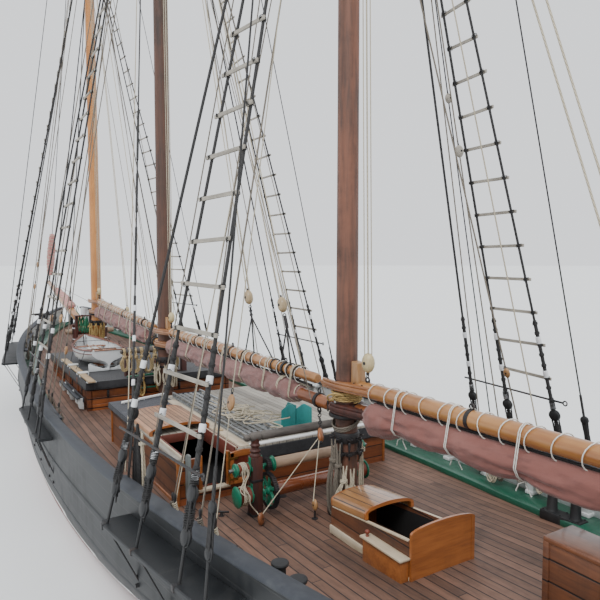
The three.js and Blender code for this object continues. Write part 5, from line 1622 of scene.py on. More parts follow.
def makeBunt(plan):
    # The rest of the headsail, bundled along the bowsprit's top from the stem to the jib stay
    heel, tip = Vector(plan["heel"]), Vector(plan["tip"])
    way = (tip - heel).normalized()
    lift = Vector((0, 1, 0)).cross(-way).normalized()
    if lift.z < 0:
        lift = -lift
    near, far = 3.5, 7.9

    def place(u, v):
        angle = turn * v
        out, up = math.cos(angle), math.sin(angle)
        ease = min(1.0, (u / 0.06) ** 0.5, ((1 - u) / 0.06) ** 0.5) if 0 < u < 1 else 0.0
        tie = (0.5 + 0.5 * math.cos(turn * u * 7)) ** 6
        fold = abs(math.sin(angle * 3.0 + 3.0 * noise.noise((u * 7, 0, 5.0)) + u * 9))
        rough = noise.noise((u * 16.0, 2.3 * out, 2.3 * up))
        r = (0.2 - 0.05 * u) * (0.84 + 0.16 * fold + 0.3 * rough - 0.14 * tie) * ease
        spot = heel + way * (near + (far - near) * u) + lift * (0.25 - 0.05 * u)
        spot = spot + Vector((0, 0.04 * math.sin(u * 9), 0))
        return spot + Vector((0, 1, 0)) * (r * 1.1 * out) + lift * (r * up)
    bm = bmesh.new()
    addSkin(bm, 130, 40, place, wrap=True)
    bunt = finishPiece("headsailBunt", bm, sailPink, slot="sail_cloth", smooth=80)
    lines = []
    for k in range(8):
        u = (k + 0.02) / 7 if k < 7 else 0.985
        centre = heel + way * (near + (far - near) * u) + lift * (0.12 - 0.03 * u)
        lines.append(windings(centre, way, 0.275 - 0.055 * u, 1.5, 0.03, 20))
    ropes("headsailBuntGaskets", lines, 0.009, hempPale)


makeBowsprit(stayPlan)
makeStays(stayPlan)
makeHeadsail(stayPlan)
makeBunt(stayPlan)
print("bowsprit, stays and headsail made")

# Main hatch, with its tarred cover, the boards on it and a step bench beside it
hatchPlan = {
    "foot": 0.2, "fore": 6.2, "half": 2.1, "top": 2.17, "lid": 2.232, "lap": 0.035, "drop": 0.215,
    "plankHigh": 0.19,
}


def makeHatch(plan):
    foot, fore, half, top = (plan[key] for key in ("foot", "fore", "half", "top"))
    bm = bmesh.new()
    rows = 5
    for side in (1, -1):
        for row in range(rows):
            low, high = top - (row + 1) * plan["plankHigh"], top - row * plan["plankHigh"] - 0.006
            inner = half - 0.07 if side > 0 else -half
            addBox(bm, (foot + 0.1, inner, low), (fore - 0.1, inner + 0.07, high), 0.008, 0, 1)
    for row in range(rows):
        low, high = top - (row + 1) * plan["plankHigh"], top - row * plan["plankHigh"] - 0.006
        addBox(bm, (foot, -half + 0.1, low), (foot + 0.07, half - 0.1, high), 0.008, 1, 1)
        addBox(bm, (fore - 0.07, -half + 0.1, low), (fore, half - 0.1, high), 0.008, 1, 1)
    for x in (foot, fore - 0.14):
        for y in (-half, half - 0.14):
            addBox(bm, (x, y, 1.36), (x + 0.14, y + 0.14, top), 0.012, 0)
    for side in (1, -1):
        for step in range(1, 5):
            x = foot + step * (fore - foot) / 5
            addBox(bm, (x - 0.045, side * half - 0.05, 1.38), (x + 0.045, side * half + 0.05, top), 0.01, 0)
    # A near-black box fills the hatch under its cover: painted shade
    addBox(bm, (foot + 0.06, -half + 0.06, 1.4), (fore - 0.06, half - 0.06, top - 0.01), 0.0, 2)
    finishPiece("hatchCoaming", bm, [hatchTeak, hatchTeakAcross, insideDark], stands=["hatch_main"],
                slot="hatch_wood")
    bm = bmesh.new()
    x = foot - 0.012
    for y in (-1.55, -0.5, 0.5, 1.55):
        addBox(bm, (x - 0.02, y - 0.03, top - 0.42), (x + 0.02, y + 0.03, top - 0.2), 0.006)
        addHoop(bm, (x - 0.025, y, top - 0.33), (0, 1, 0), 0.035, 0.008, 14, 5)
    for x in (0.9, 2.3, 3.7, 5.1):
        for side in (1, -1):
            addBox(bm, (x - 0.03, side * half - 0.02, top - 0.42), (x + 0.03, side * half + 0.02, top - 0.2),
                   0.006)
            addHoop(bm, (x, side * (half + 0.025), top - 0.33), (1, 0, 0), 0.035, 0.008, 14, 5)
    finishPiece("hatchIrons", bm, ironBlack, slot="black_iron")


def coverAt(plan, s, t):
    # A point of the cover from its flat place: it lies on the lid and falls down past the edges
    middle = (plan["foot"] + plan["fore"]) / 2
    reachX, reachY = (plan["fore"] - plan["foot"]) / 2 + plan["lap"], plan["half"] + plan["lap"]
    overX, overY = max(abs(s) - reachX, 0.0), max(abs(t) - reachY, 0.0)
    x, y = middle + max(-reachX, min(reachX, s)), max(-reachY, min(reachY, t))
    down = max(overX, overY)
    wave = noise.noise(Vector((s * 1.9, t * 1.9, 3.7)))
    fine = noise.noise(Vector((s * 6.0, t * 6.0, 8.1)))
    rim = min(reachX - abs(s), reachY - abs(t))
    sag = 0.006 * (0.5 + 0.5 * wave) * min(max(rim, 0.0) * 8.0, 1.0)
    z = plan["lid"] - 0.004 - sag - down * (1.0 + 0.06 * fine)
    out = (0.006 + 0.010 * fine + 0.008 * wave) * min(down * 9.0, 1.0)
    if overX > 0:
        x += math.copysign(out, s)
    if overY > 0:
        y += math.copysign(out, t)
    return Vector((x, y, z))


def makeCover(plan):
    length = plan["fore"] - plan["foot"] + 2 * (plan["lap"] + plan["drop"])
    width = 2 * (plan["half"] + plan["lap"] + plan["drop"])
    bm = bmesh.new()
    addSkin(bm, 150, 110, lambda u, v: coverAt(plan, (u - 0.5) * length, (v - 0.5) * width))
    bmesh.ops.recalc_face_normals(bm, faces=bm.faces)
    cover = finishPiece("hatchCover", bm, coverBlack, slot="sail_cloth", smooth=50.0, recalc=False)
    cloth = cover.modifiers.new("thickness", "SOLIDIFY")
    cloth.thickness, cloth.offset = 0.003, -1.0
    return cover, (length, width)


def makeHatchGear(plan):
    # The rope that lashes the cover's skirt, in shallow scallops from iron to iron
    edge, z = plan["lap"] + 0.035, plan["top"] - 0.13
    stops = []
    x0, x1, y1 = plan["foot"] - edge, plan["fore"] + edge, plan["half"] + edge
    for start, end in (((x0, -y1), (x0, y1)), ((x0, y1), (x1, y1)), ((x1, y1), (x1, -y1)),
                       ((x1, -y1), (x0, -y1))):
        parts = 6 if start[0] != end[0] else 4
        for part in range(parts):
            a = Vector((*start, z)).lerp(Vector((*end, z)), part / parts)
            b = Vector((*start, z)).lerp(Vector((*end, z)), (part + 1) / parts)
            stops += sagging(a, b, 0.022, 6)[:-1]
    ropes("hatchLashing", [stops], 0.008, ropeTar, closed=True)
    # Three tan boards with their white bearers, along the port edge
    bm = bmesh.new()
    for start, length in ((-0.1, 1.4), (1.35, 1.45), (2.85, 1.4)):
        addBox(bm, (start, 1.93, 2.263), (start + length, 2.12, 2.30), 0.006)
    finishPiece("hatchBoards", bm, boardTan, slot="hatch_wood")
    bm = bmesh.new()
    for x in (0.05, 1.05, 1.45, 2.6, 2.95, 4.0):
        addBox(bm, (x, 1.88, 2.226), (x + 0.11, 2.13, 2.264), 0.006)
    for x in (1.2, 2.72):
        addBox(bm, (x, 1.84, 2.298), (x + 0.22, 2.13, 2.33), 0.008)
        addBox(bm, (x, 1.84, 2.24), (x + 0.22, 1.87, 2.32), 0.008)
    finishPiece("hatchBearers", bm, postWhite, slot="white_paint")
    # The green kevel on the aft face, which holds two hanks
    bm = bmesh.new()
    addBar(bm, (0.115, -0.2, 2.315), (0.115, 1.05, 2.29), 0.06, 0.055, 0.012)
    for y in (0.02, 0.85):
        addBox(bm, (0.1, y - 0.035, 1.9), (0.19, y + 0.035, 2.3), 0.01)
    addBar(bm, (0.13, 0.1, 1.93), (0.13, 0.75, 1.93), 0.05, 0.05, 0.01)
    finishPiece("hatchKevel", bm, greenPaint, slot="green_paint")
    # The step bench: a grey board on three white brackets
    bm = bmesh.new()
    benchX, benchY, benchZ = (0.3, 3.1), (2.27, 2.37), 1.77
    addBox(bm, (benchX[0], benchY[0], benchZ), (benchX[1], benchY[1], benchZ + 0.035), 0.006, 0)
    addBox(bm, (benchX[0], benchY[0] - 0.11, benchZ - 0.1), (benchX[1], benchY[0] - 0.075, benchZ + 0.02),
           0.006, 0)
    for x in (0.34, 1.6, 2.9):
        outline = [(x, benchY[0] - 0.1, benchZ), (x, benchY[1] - 0.01, benchZ),
                   (x, benchY[1] - 0.02, benchZ - 0.06),
                   (x, benchY[0] + 0.02, 1.50), (x, benchY[0] - 0.1, 1.46)]
        addPlate(bm, outline, (0.06, 0, 0), 1, 0.006)
        addBox(bm, (x, benchY[1] - 0.05, benchZ - 0.13), (x + 0.26, benchY[1] - 0.02, benchZ), 0.006, 1)
    finishPiece("stepBench", bm, [railGrey, postWhite], slot="white_paint")


boardTan = woodFinish("boardTan", (180, 158, 126), (155, 129, 97), 0.6, "X", stain=(128, 108, 84), worn=0.4)
makeHatch(hatchPlan)
hatchCover, coverCut = makeCover(hatchPlan)
makeHatchGear(hatchPlan)

# The ship's boat on her chocks
boatPlan = {
    "centre": 1.18, "stern": 1.6, "base": 2.2393, "wall": 0.024,
    "rows": ((0.0, 0.50, 0.09, 0.62), (0.9, 0.64, 0.04, 0.56), (1.9, 0.69, 0.02, 0.55),
             (2.8, 0.47, 0.04, 0.60), (3.55, 0.04, 0.16, 0.72)),
    "strakes": ((0.0, 0.07), (0.10, 0.10), (0.42, 0.16), (0.72, 0.24), (0.90, 0.42), (0.98, 0.68),
                (1.0, 1.0)),
    "transom": ((0.0, 0.0), (0.04, 0.10), (0.07, 0.22), (0.22, 0.36), (0.70, 0.54), (0.97, 0.76), (1.0, 1.0)),
    "runOut": 1.3,
}


def smoothRow(rows, x, column):
    # A smooth value between the rows, through each of them
    spots = [row[0] for row in rows]
    index = max(i for i in range(len(spots) - 1) if spots[i] <= x + 1e-9)
    a, b = rows[index], rows[index + 1]
    before, after = rows[max(index - 1, 0)], rows[min(index + 2, len(rows) - 1)]
    t, span = (x - a[0]) / (b[0] - a[0]), b[0] - a[0]
    slopeA = (b[column] - before[column]) / (b[0] - before[0]) * span
    slopeB = (after[column] - a[column]) / (after[0] - a[0]) * span
    return ((2 * t ** 3 - 3 * t ** 2 + 1) * a[column] + (t ** 3 - 2 * t ** 2 + t) * slopeA
            + (3 * t ** 2 - 2 * t ** 3) * b[column] + (t ** 3 - t ** 2) * slopeB)


def boatAt(plan, x, climb, side, inset=0.0):
    rows = plan["rows"]
    half, keel, gunwale = (smoothRow(rows, x, column) for column in (1, 2, 3))
    # The sections turn from the transom's wineglass to the full midship form
    full = min(x / plan["runOut"], 1.0) ** 0.6
    share = [(a[0] + (b[0] - a[0]) * full, a[1] + (b[1] - a[1]) * full) for a,
             b in zip(plan["transom"], plan["strakes"])]
    position = climb * (len(share) - 1)
    step = min(int(position), len(share) - 2)
    t = position - step
    t = t * t * (3 - 2 * t) * 0.35 + t * 0.65
    out = share[step][0] + (share[step + 1][0] - share[step][0]) * t
    up = share[step][1] + (share[step + 1][1] - share[step][1]) * t
    y = max(half * out - inset * min(climb * 3, 1.0), 0.008)
    z = keel + (gunwale - keel) * up + inset * (1 - climb)
    return Vector((plan["stern"] + x, plan["centre"] + side * y, plan["base"] + z))


def makeBoat(plan):
    length, bays, climbs, wall = plan["rows"][-1][0], 40, 18, plan["wall"]
    middle = plan["centre"]
    bm = bmesh.new()
    for side in (1, -1):
        addSkin(bm, bays, climbs, lambda u, v, s=side: boatAt(plan, u * length, v, s), 0)
        addSkin(bm, bays, climbs, lambda u, v, s=side: boatAt(plan, 0.02 + u * (length - 0.12), v, s, wall),
                1)
    bmesh.ops.remove_doubles(bm, verts=bm.verts, dist=1e-4)
    # The transom closes the stern
    outline = [boatAt(plan, 0.0, climb / climbs, 1) for climb in range(climbs + 1)]
    outline += [boatAt(plan, 0.0, climb / climbs, -1) for climb in range(climbs, -1, -1)]
    addPlate(bm, outline, (0.03, 0, 0), 0)
    # Keel, skeg and stem
    addBar(bm, (1.63, middle, 2.305), (4.85, middle, 2.275), 0.045, 0.07, 0.008, 0)
    addPlate(bm, [(1.60, 1.16, 2.36), (1.60, 1.16, 2.26), (2.6, 1.16, 2.255), (2.6, 1.16, 2.29)],
             (0, 0.04, 0), 0, 0.004)
    addBar(bm, (4.8, middle, 2.27), (5.1, middle, 2.5), 0.04, 0.06, 0.008, 0)
    addBar(bm, (5.09, middle, 2.46), (5.14, middle, 2.95), 0.04, 0.06, 0.008, 0)
    finishPiece("boatShell", bm, [boatWhite, boatWhite], stands=["boat"], slot="boat_paint", smooth=50.0)
    # Gunwales, with a rubbing strake below
    lines, inner, lower = [], [], []
    for side in (1, -1):
        steps = range(bays + 1)
        lines.append([boatAt(plan, k * length / bays, 1.0, side) + Vector((0, side * 0.006, 0.006))
                      for k in steps])
        inner.append([boatAt(plan, 0.03 + k * (length - 0.16) / bays, 1.0, side, 0.045)
                      + Vector((0, 0, 0.004))
                      for k in steps])
        lower.append([boatAt(plan, k * length / bays, 0.90, side) + Vector((0, side * 0.008, -0.012))
                      for k in steps])
    ropes("boatGunwale", lines, 0.021, gunwaleRed, slot="red_brown_wood", sides=5)
    ropes("boatInwale", inner, 0.017, boomVarnish, slot="varnished_wood", sides=4)
    ropes("boatRubber", lower, 0.013, gunwaleRed, slot="red_brown_wood", sides=4)
    bm = bmesh.new()
    addBar(bm, (1.605, 0.76, 2.868), (1.605, 1.6, 2.868), 0.05, 0.03, 0.008)
    for x, half in ((2.4, 0.60), (3.3, 0.66), (4.2, 0.50)):
        addBox(bm, (x, middle - half, 2.64), (x + 0.21, middle + half, 2.665), 0.006)
    addBox(bm, (1.64, 0.83, 2.62), (2.02, 1.53, 2.645), 0.006)
    for y in (0.98, 1.1, 1.26, 1.38):
        addBox(bm, (2.0, y - 0.05, 2.345), (4.3, y + 0.05, 2.36), 0.003)
    finishPiece("boatThwarts", bm, boomVarnish, slot="varnished_wood")
    bm = bmesh.new()
    for step in range(13):
        x = 0.25 + step * 0.24
        for side in (1, -1):
            for low, high in ((0.15, 0.45), (0.45, 0.75), (0.75, 0.98)):
                a, b = boatAt(plan, x, low, side, wall), boatAt(plan, x, high, side, wall)
                addBar(bm, a, b, 0.022, 0.014, 0.0, up=(1, 0, 0))
    for side in (1, -1):
        for x in (1.55, 2.45):
            foot = boatAt(plan, x, 1.0, side)
            addRod(bm, foot, foot + Vector((0, 0, 0.05)), 0.012, segments=8, finish=1)
            addHoop(bm, foot + Vector((0, 0, 0.085)), (1, 0, 0), 0.035, 0.008, 14, 6, 1)
    finishPiece("boatTimbers", bm, [boatWhite, ironBlack], slot="boat_paint")
    # Oars laid on the thwarts, and the chocks that carry the boat
    bm = bmesh.new()
    for y, shift in ((1.02, 0.0), (1.33, 0.12)):
        start, end = Vector((1.75 + shift, y, 2.70)), Vector((4.25 + shift, y * 0.6 + middle * 0.4, 2.70))
        addRod(bm, start, end, 0.02, 0.017, 10)
        way = (start - end).normalized()
        outline = [start - way * 0.05 + Vector((0, -0.02, -0.006)),
                   start + way * 0.1 + Vector((0, -0.055, -0.006)),
                   start + way * 0.12 + Vector((0, 0.055, -0.006)),
                   start - way * 0.05 + Vector((0, 0.02, -0.006))]
        addPlate(bm, outline, (0, 0, 0.012), 0, 0.003)
    finishPiece("boatOars", bm, sparVarnish, slot="varnished_wood")
    bm = bmesh.new()
    for x, half, high in ((1.665, 0.58, 0.235), (2.3, 0.42, 0.16), (4.2, 0.40, 0.17)):
        top = plan["base"] + high
        outline = [(x, middle - half, 2.24), (x, middle + half, 2.24), (x, middle + half, top),
                   (x, middle + 0.16, 2.315),
                   (x, middle - 0.16, 2.315), (x, middle - half, top)]
        addPlate(bm, outline, (0.04, 0, 0), 0, 0.006)
    finishPiece("boatChocks", bm, boatWhite, slot="boat_paint")
    gripes = [[(2.02, 2.1, 2.23), (2.02, 1.86, 2.62), (2.02, 1.78, 2.83), (2.03, 1.6, 2.85),
               (2.04, middle, 2.852), (2.03, 0.75, 2.85),
               (2.02, 0.58, 2.83), (2.02, 0.5, 2.6), (2.02, 0.32, 2.24)],
              [(4.02, 1.85, 2.235), (4.02, 1.76, 2.6), (4.02, 1.70, 2.835), (4.02, 1.5, 2.86),
               (4.02, middle, 2.87), (4.02, 0.86, 2.86),
               (4.02, 0.66, 2.835), (4.02, 0.60, 2.6), (4.02, 0.45, 2.235)]]
    ropes("boatGripes", [smoothLine(line, 4) for line in gripes], 0.009, ropeTar, slot="tarred_rigging")


gunwaleRed = paintFinish("gunwaleRed", (104, 54, 44), (70, 40, 34), 0.4, 0.35, scale=5.0)
makeBoat(boatPlan)
print("hatch and boat made")

# The deckhouse: planked walls, a pale roof round the hatchway, rails, windows and canvas
housePlan = {
    "back": -7.2, "front": -2.8, "half": 2.15, "wall": 0.06, "eave": 0.05, "roof": (2.24, 2.30),
    "door": (1.30, 1.74, 1.70), "way": (-5.82, 1.13, 2.09),
}
leafGrey = paintFinish("leafGrey", (104, 110, 108), (66, 70, 68), 0.6, 0.6, scale=3.0)
roofCream = woodFinish("roofCream", (164, 158, 146), (124, 118, 108), 0.6, "X", stain=(140, 128, 110),
                       worn=0.4, planks={
    "across": "Y", "width": 0.14, "length": 9.0, "seam": 0.03})
glassDark = paintFinish("glassDark", (24, 34, 38), (40, 52, 56), 0.12, 0.2, coat=0.6)


def makeHouse(plan):
    back, front, half, wall, eave = (plan[key] for key in ("back", "front", "half", "wall", "eave"))
    low, high = plan["roof"]
    doorA, doorB, sill = plan["door"]
    wayX, wayA, wayB = plan["way"]
    bm = bmesh.new()
    foot = 1.36
    for side in (1, -1):
        outer, inner = side * half, side * (half - wall)
        addBox(bm, (back + 0.02, min(outer, inner), foot), (front - 0.02, max(outer, inner), low), 0.004, 0,
               1)
    addBox(bm, (front - wall, -half + 0.02, foot), (front, half - 0.02, low), 0.004, 1, 1)
    addBox(bm, (back, -half + 0.02, foot), (back + wall, doorA, low), 0.004, 1, 1)
    addBox(bm, (back, doorA, foot), (back + wall, doorB, sill), 0.004, 1, 1)
    addBox(bm, (back, doorB, foot), (back + wall, half - 0.02, low), 0.004, 1, 1)
    finishPiece("houseWalls", bm, [houseSides, houseTeak], stands=["deckhouse"], slot="varnished_wood")
    bm = bmesh.new()
    for x in (back, front):
        for y in (-half, half):
            addBox(bm, (x - 0.022, y - 0.022, foot), (x + 0.03, y + 0.03, low), 0.012)
    for side in (1, -1):
        addBar(bm, (back, side * (half + 0.006), low - 0.05), (front, side * (half + 0.006), low - 0.05),
               0.03, 0.06, 0.008)
        addBar(bm, (back, side * (half + 0.01), 1.50), (-5.4, side * (half + 0.01), 1.455), 0.03, 0.09, 0.008)
    addBar(bm, (back - 0.008, -half, low - 0.05), (back - 0.008, doorA, low - 0.05), 0.03, 0.06, 0.008)
    addBar(bm, (front + 0.008, -half, low - 0.05), (front + 0.008, half, low - 0.05), 0.03, 0.06, 0.008)
    addBox(bm, (back - 0.03, doorA - 0.06, sill - 0.06), (back + 0.05, doorA, high - 0.02), 0.008)
    addBox(bm, (back - 0.03, doorB, sill - 0.06), (back + 0.05, doorB + 0.06, high - 0.02), 0.008)
    finishPiece("housePosts", bm, archVarnish, slot="varnished_wood")
    bm = bmesh.new()
    addBox(bm, (back - 0.04, doorA - 0.07, sill - 0.045), (back + 0.08, doorB + 0.07, sill + 0.005), 0.01)
    finishPiece("houseSill", bm, creamBoard, slot="varnished_wood")
    bm = bmesh.new()
    edge = half + eave
    addBox(bm, (back - eave, -edge, low), (front + eave, wayA, high), 0.016, 0)
    addBox(bm, (wayX, wayA, low), (front + eave, wayB, high), 0.004, 0)
    addBox(bm, (back - eave, wayB, low), (front + eave, edge, high), 0.016, 0)
    finishPiece("houseRoof", bm, roofCream, slot="varnished_wood")
    # The cabin's near-black lining is painted shade that keeps the inside dark
    bm = bmesh.new()
    addBox(bm, (back + 0.07, -half + 0.08, 1.42), (front - 0.08, half - 0.08, 1.5), 0.0)
    for y in (-half + 0.065, half - 0.075):
        addBox(bm, (back + 0.065, y, 1.42), (front - 0.065, y + 0.01, low - 0.004), 0.0)
    for x, y0, y1 in ((back + 0.062, -half + 0.07, doorA), (back + 0.062, doorB, half - 0.07),
                      (front - 0.072, -half + 0.07, half - 0.07)):
        addBox(bm, (x, y0, 1.42), (x + 0.01, y1, low - 0.004), 0.0)
    addBox(bm, (back + 0.07, -half + 0.07, low - 0.006), (front - 0.07, wayA - 0.01, low - 0.001), 0.0)
    finishPiece("houseLining", bm, insideDark, slot="black_iron")
    # Ladder going down from the sill, and the slide's coamings
    bm = bmesh.new()
    for x, z in ((-7.02, 1.62), (-6.78, 1.5)):
        addBox(bm, (x - 0.1, doorA + 0.05, z), (x + 0.12, doorB - 0.03, z + 0.03), 0.006)
    finishPiece("houseLadder", bm, doorRed, slot="red_brown_wood")
    bm = bmesh.new()
    for y, wide, tone in ((wayA - 0.03, 0.024, 0), (wayA - 0.004, 0.022, 1), (wayA + 0.022, 0.024, 0)):
        addBox(bm, (back - 0.03, y - wide / 2, high - 0.015), (wayX + 0.1, y + wide / 2, high + 0.028), 0.004,
               tone, 1)
    addBox(bm, (back - 0.03, wayA, low - 0.16), (wayX, wayA + 0.035, high + 0.01), 0.006, 0)
    for y in (wayB - 0.02, wayB + 0.012):
        addBox(bm, (back - 0.03, y - 0.014, high - 0.015), (wayX + 0.1, y + 0.014, high + 0.03), 0.004,
               0 if y < wayB else 1, 1)
    addBox(bm, (wayX - 0.04, wayA, low - 0.1), (wayX, wayB, high - 0.005), 0.006, 0)
    finishPiece("hoodRails", bm, [gunwaleRed, creamBoard], slot="varnished_wood")
    # Cream board beside the rails, with its block end, and a white strip on the fore edge
    bm = bmesh.new()
    addBox(bm, (-7.22, 0.86, high - 0.006), (-3.3, 1.045, high + 0.022), 0.006, 0)
    addBox(bm, (-6.2, 0.9, high + 0.018), (-6.0, 1.03, high + 0.045), 0.01, 1)
    addBox(bm, (-7.245, -2.12, high - 0.01), (-7.13, 0.84, high + 0.018), 0.008, 2)
    finishPiece("roofBoards", bm, [creamBoard, boardTan, capWhite], slot="varnished_wood")
    bm = bmesh.new()
    addBar(bm, (-3.12, 2.02, high + 0.055), (-2.76, 0.9, high + 0.055), 0.055, 0.05, 0.012)
    for share in (0.06, 0.5, 0.94):
        spot = Vector((-3.12, 2.02, high)).lerp(Vector((-2.76, 0.9, high)), share)
        addRod(bm, spot - Vector((0, 0, 0.01)), spot + Vector((0, 0, 0.05)), 0.016, segments=10)
    finishPiece("roofRail", bm, capWhite, slot="white_paint")
    # Small windows on the starboard side and the fore end
    bm, glass, portZ = bmesh.new(), bmesh.new(), 1.93
    rim = ((0.0, 0.0), (0.0, 0.12), (0.028, 0.12), (0.034, 0.105), (0.02, 0.085), (0.016, 0.0))
    for x in (-6.3, -5.0, -3.7):
        addTurned(bm, (x, -half + 0.01, portZ), (0, -1, 0), rim, 24, 0)
        addRod(glass, (x, -half - 0.006, portZ), (x, -half - 0.016, portZ), 0.088, segments=24)
    for y in (-1.3, -0.3, 0.9):
        addTurned(bm, (front - 0.01, y, portZ), (1, 0, 0), rim, 24, 0)
        addRod(glass, (front + 0.006, y, portZ), (front + 0.016, y, portZ), 0.088, segments=24)
    finishPiece("houseWindows", bm, bronze, slot="bronze")
    finishPiece("windowGlass", glass, glassDark, slot="black_iron")


def makeRoofCanvas(plan):
    # A blue-black canvas over the fore port corner, falling past both edges
    high = plan["roof"][1]
    inner, outer = (-4.34, 0.9), (-2.75, 2.2)
    fallX, fallY = 0.12, 0.14
    length, width = outer[0] - inner[0] + fallX, outer[1] - inner[1] + fallY

    def place(u, v):
        s, t = inner[0] + u * length, inner[1] + v * width
        overX, overY = max(s - outer[0] - 0.012, 0.0), max(t - outer[1] - 0.012, 0.0)
        wave = noise.noise(Vector((s * 2.3, t * 2.3, 1.2)))
        fine = noise.noise(Vector((s * 8.0, t * 8.0, 5.2)))
        down = max(overX, overY)
        x, y = min(s, outer[0] + 0.012), min(t, outer[1] + 0.012)
        push = (0.004 + 0.008 * fine + 0.006 * wave) * min(down * 10, 1.0)
        return Vector((x + (push if overX > 0 else 0.0), y + (push if overY > 0 else 0.0),
                       high + 0.006 + 0.007 * (0.5 + 0.5 * wave) + 0.003 * fine - down))

    bm = bmesh.new()
    addSkin(bm, 80, 70, place)
    bmesh.ops.recalc_face_normals(bm, faces=bm.faces)
    canvas = finishPiece("roofCanvas", bm, roofBlack, slot="sail_cloth", smooth=50.0, recalc=False)
    wall = canvas.modifiers.new("thickness", "SOLIDIFY")
    wall.thickness, wall.offset = 0.003, 1.0
    # The canvas strip that hangs under the roof's aft edge
    stripWide, fall = 2.86, 0.23

    def hang(u, v):
        y, z = -2.1 + u * stripWide, plan["roof"][0] + 0.02 - v * fall
        fold = 0.012 * math.sin(u * 34.0 + 2.0 * noise.noise(Vector((u * 5, 0.3, 0)))) * (0.25 + 0.75 * v)
        return Vector((plan["back"] - plan["eave"] - 0.014 - fold * 0.6 + 0.012 * v, y,
                       z - 0.012 * v * noise.noise(Vector((u * 9, 7, 0)))))

    bm = bmesh.new()
    addSkin(bm, 110, 10, hang)
    strip = finishPiece("aftCanvas", bm, coverBlack, slot="sail_cloth", smooth=50.0, recalc=False)
    wall = strip.modifiers.new("thickness", "SOLIDIFY")
    wall.thickness, wall.offset = 0.003, 0.0


# The sliding hood: an arched lid of narrow planks, with a varnished facing at its mouth
hoodPlan = {"aft": -5.8, "fore": -4.3, "y": (1.03, 2.19), "foot": 2.3003, "side": 0.07, "rise": 0.105,
            "wall": 0.03}


def archRing(plan, inset, steps=26):
    a, b = plan["y"]
    middle, half = (a + b) / 2, (b - a) / 2 - inset
    spring = plan["foot"] + plan["side"]
    points = [(middle + half, plan["foot"])]
    points += [(middle + half * math.cos(math.pi * i / steps),
                spring + (plan["rise"] - inset) * math.sin(math.pi * i / steps))
               for i in range(steps + 1)]
    return points + [(middle - half, plan["foot"])]


def archWall(bm, plan, aft, fore, insetOut, insetIn, finish=0, move=None):
    # A bent board between two arches, from aft to fore
    outer, inner = archRing(plan, insetOut), archRing(plan, insetIn)
    move = move or (lambda point: point)
    ends = []
    for x in (aft, fore):
        ends.append([[bm.verts.new(move(Vector((x, y, z)))) for y, z in ring] for ring in (outer, inner)])
    faces = []
    (ao, ai), (fo, fi) = ends
    for i in range(len(ao) - 1):
        faces.append(bm.faces.new((ao[i], ao[i + 1], fo[i + 1], fo[i])))
        faces.append(bm.faces.new((ai[i], fi[i], fi[i + 1], ai[i + 1])))
        faces.append(bm.faces.new((ao[i], ai[i], ai[i + 1], ao[i + 1])))
        faces.append(bm.faces.new((fo[i], fo[i + 1], fi[i + 1], fi[i])))
    for i in (0, len(ao) - 1):
        faces.append(bm.faces.new((ao[i], fo[i], fi[i], ai[i])))
    for face in faces:
        face.material_index = finish


def archPlate(bm, plan, x, inset, depth, finish=0, move=None):
    move = move or (lambda point: point)
    outline = [move(Vector((x, y, z))) for y, z in archRing(plan, inset)]
    addPlate(bm, outline, move(Vector((x + depth, 0, 0))) - move(Vector((x, 0, 0))), finish)


def makeHood(plan):
    bm = bmesh.new()
    archWall(bm, plan, plan["aft"], plan["fore"], 0.0, plan["wall"], 0)
    archPlate(bm, plan, plan["fore"] - 0.03, 0.004, 0.026, 1)
    archWall(bm, plan, plan["aft"] - 0.012, plan["aft"] + 0.035, -0.004, 0.045, 1)
    archWall(bm, plan, plan["aft"] + 0.02, plan["aft"] + 0.06, 0.03, 0.062, 2)
    archWall(bm, plan, plan["fore"] - 0.03, plan["fore"] + 0.008, -0.005, 0.03, 1)
    finishPiece("deckhouseHood", bm, [hoodBare, archVarnish, gunwaleRed], "house_hood", "varnished_wood",
                ["deckhouse_hood"], smooth=30.0)


leafPlan = {"low": (-7.301, 0.822, 1.71), "high": (-7.263, 1.266, 2.288), "stile": 0.07, "arch": 0.035,
            "pin": (-7.282, 1.28), "knob": (-7.3, 0.87, 1.96), "hinges": (1.80, 2.16),
            "portHinge": (-7.262, 2.02, 0), "portTip": (-7.66, 2.10, 0), "portFoot": 1.66,
            "portThick": 0.035}


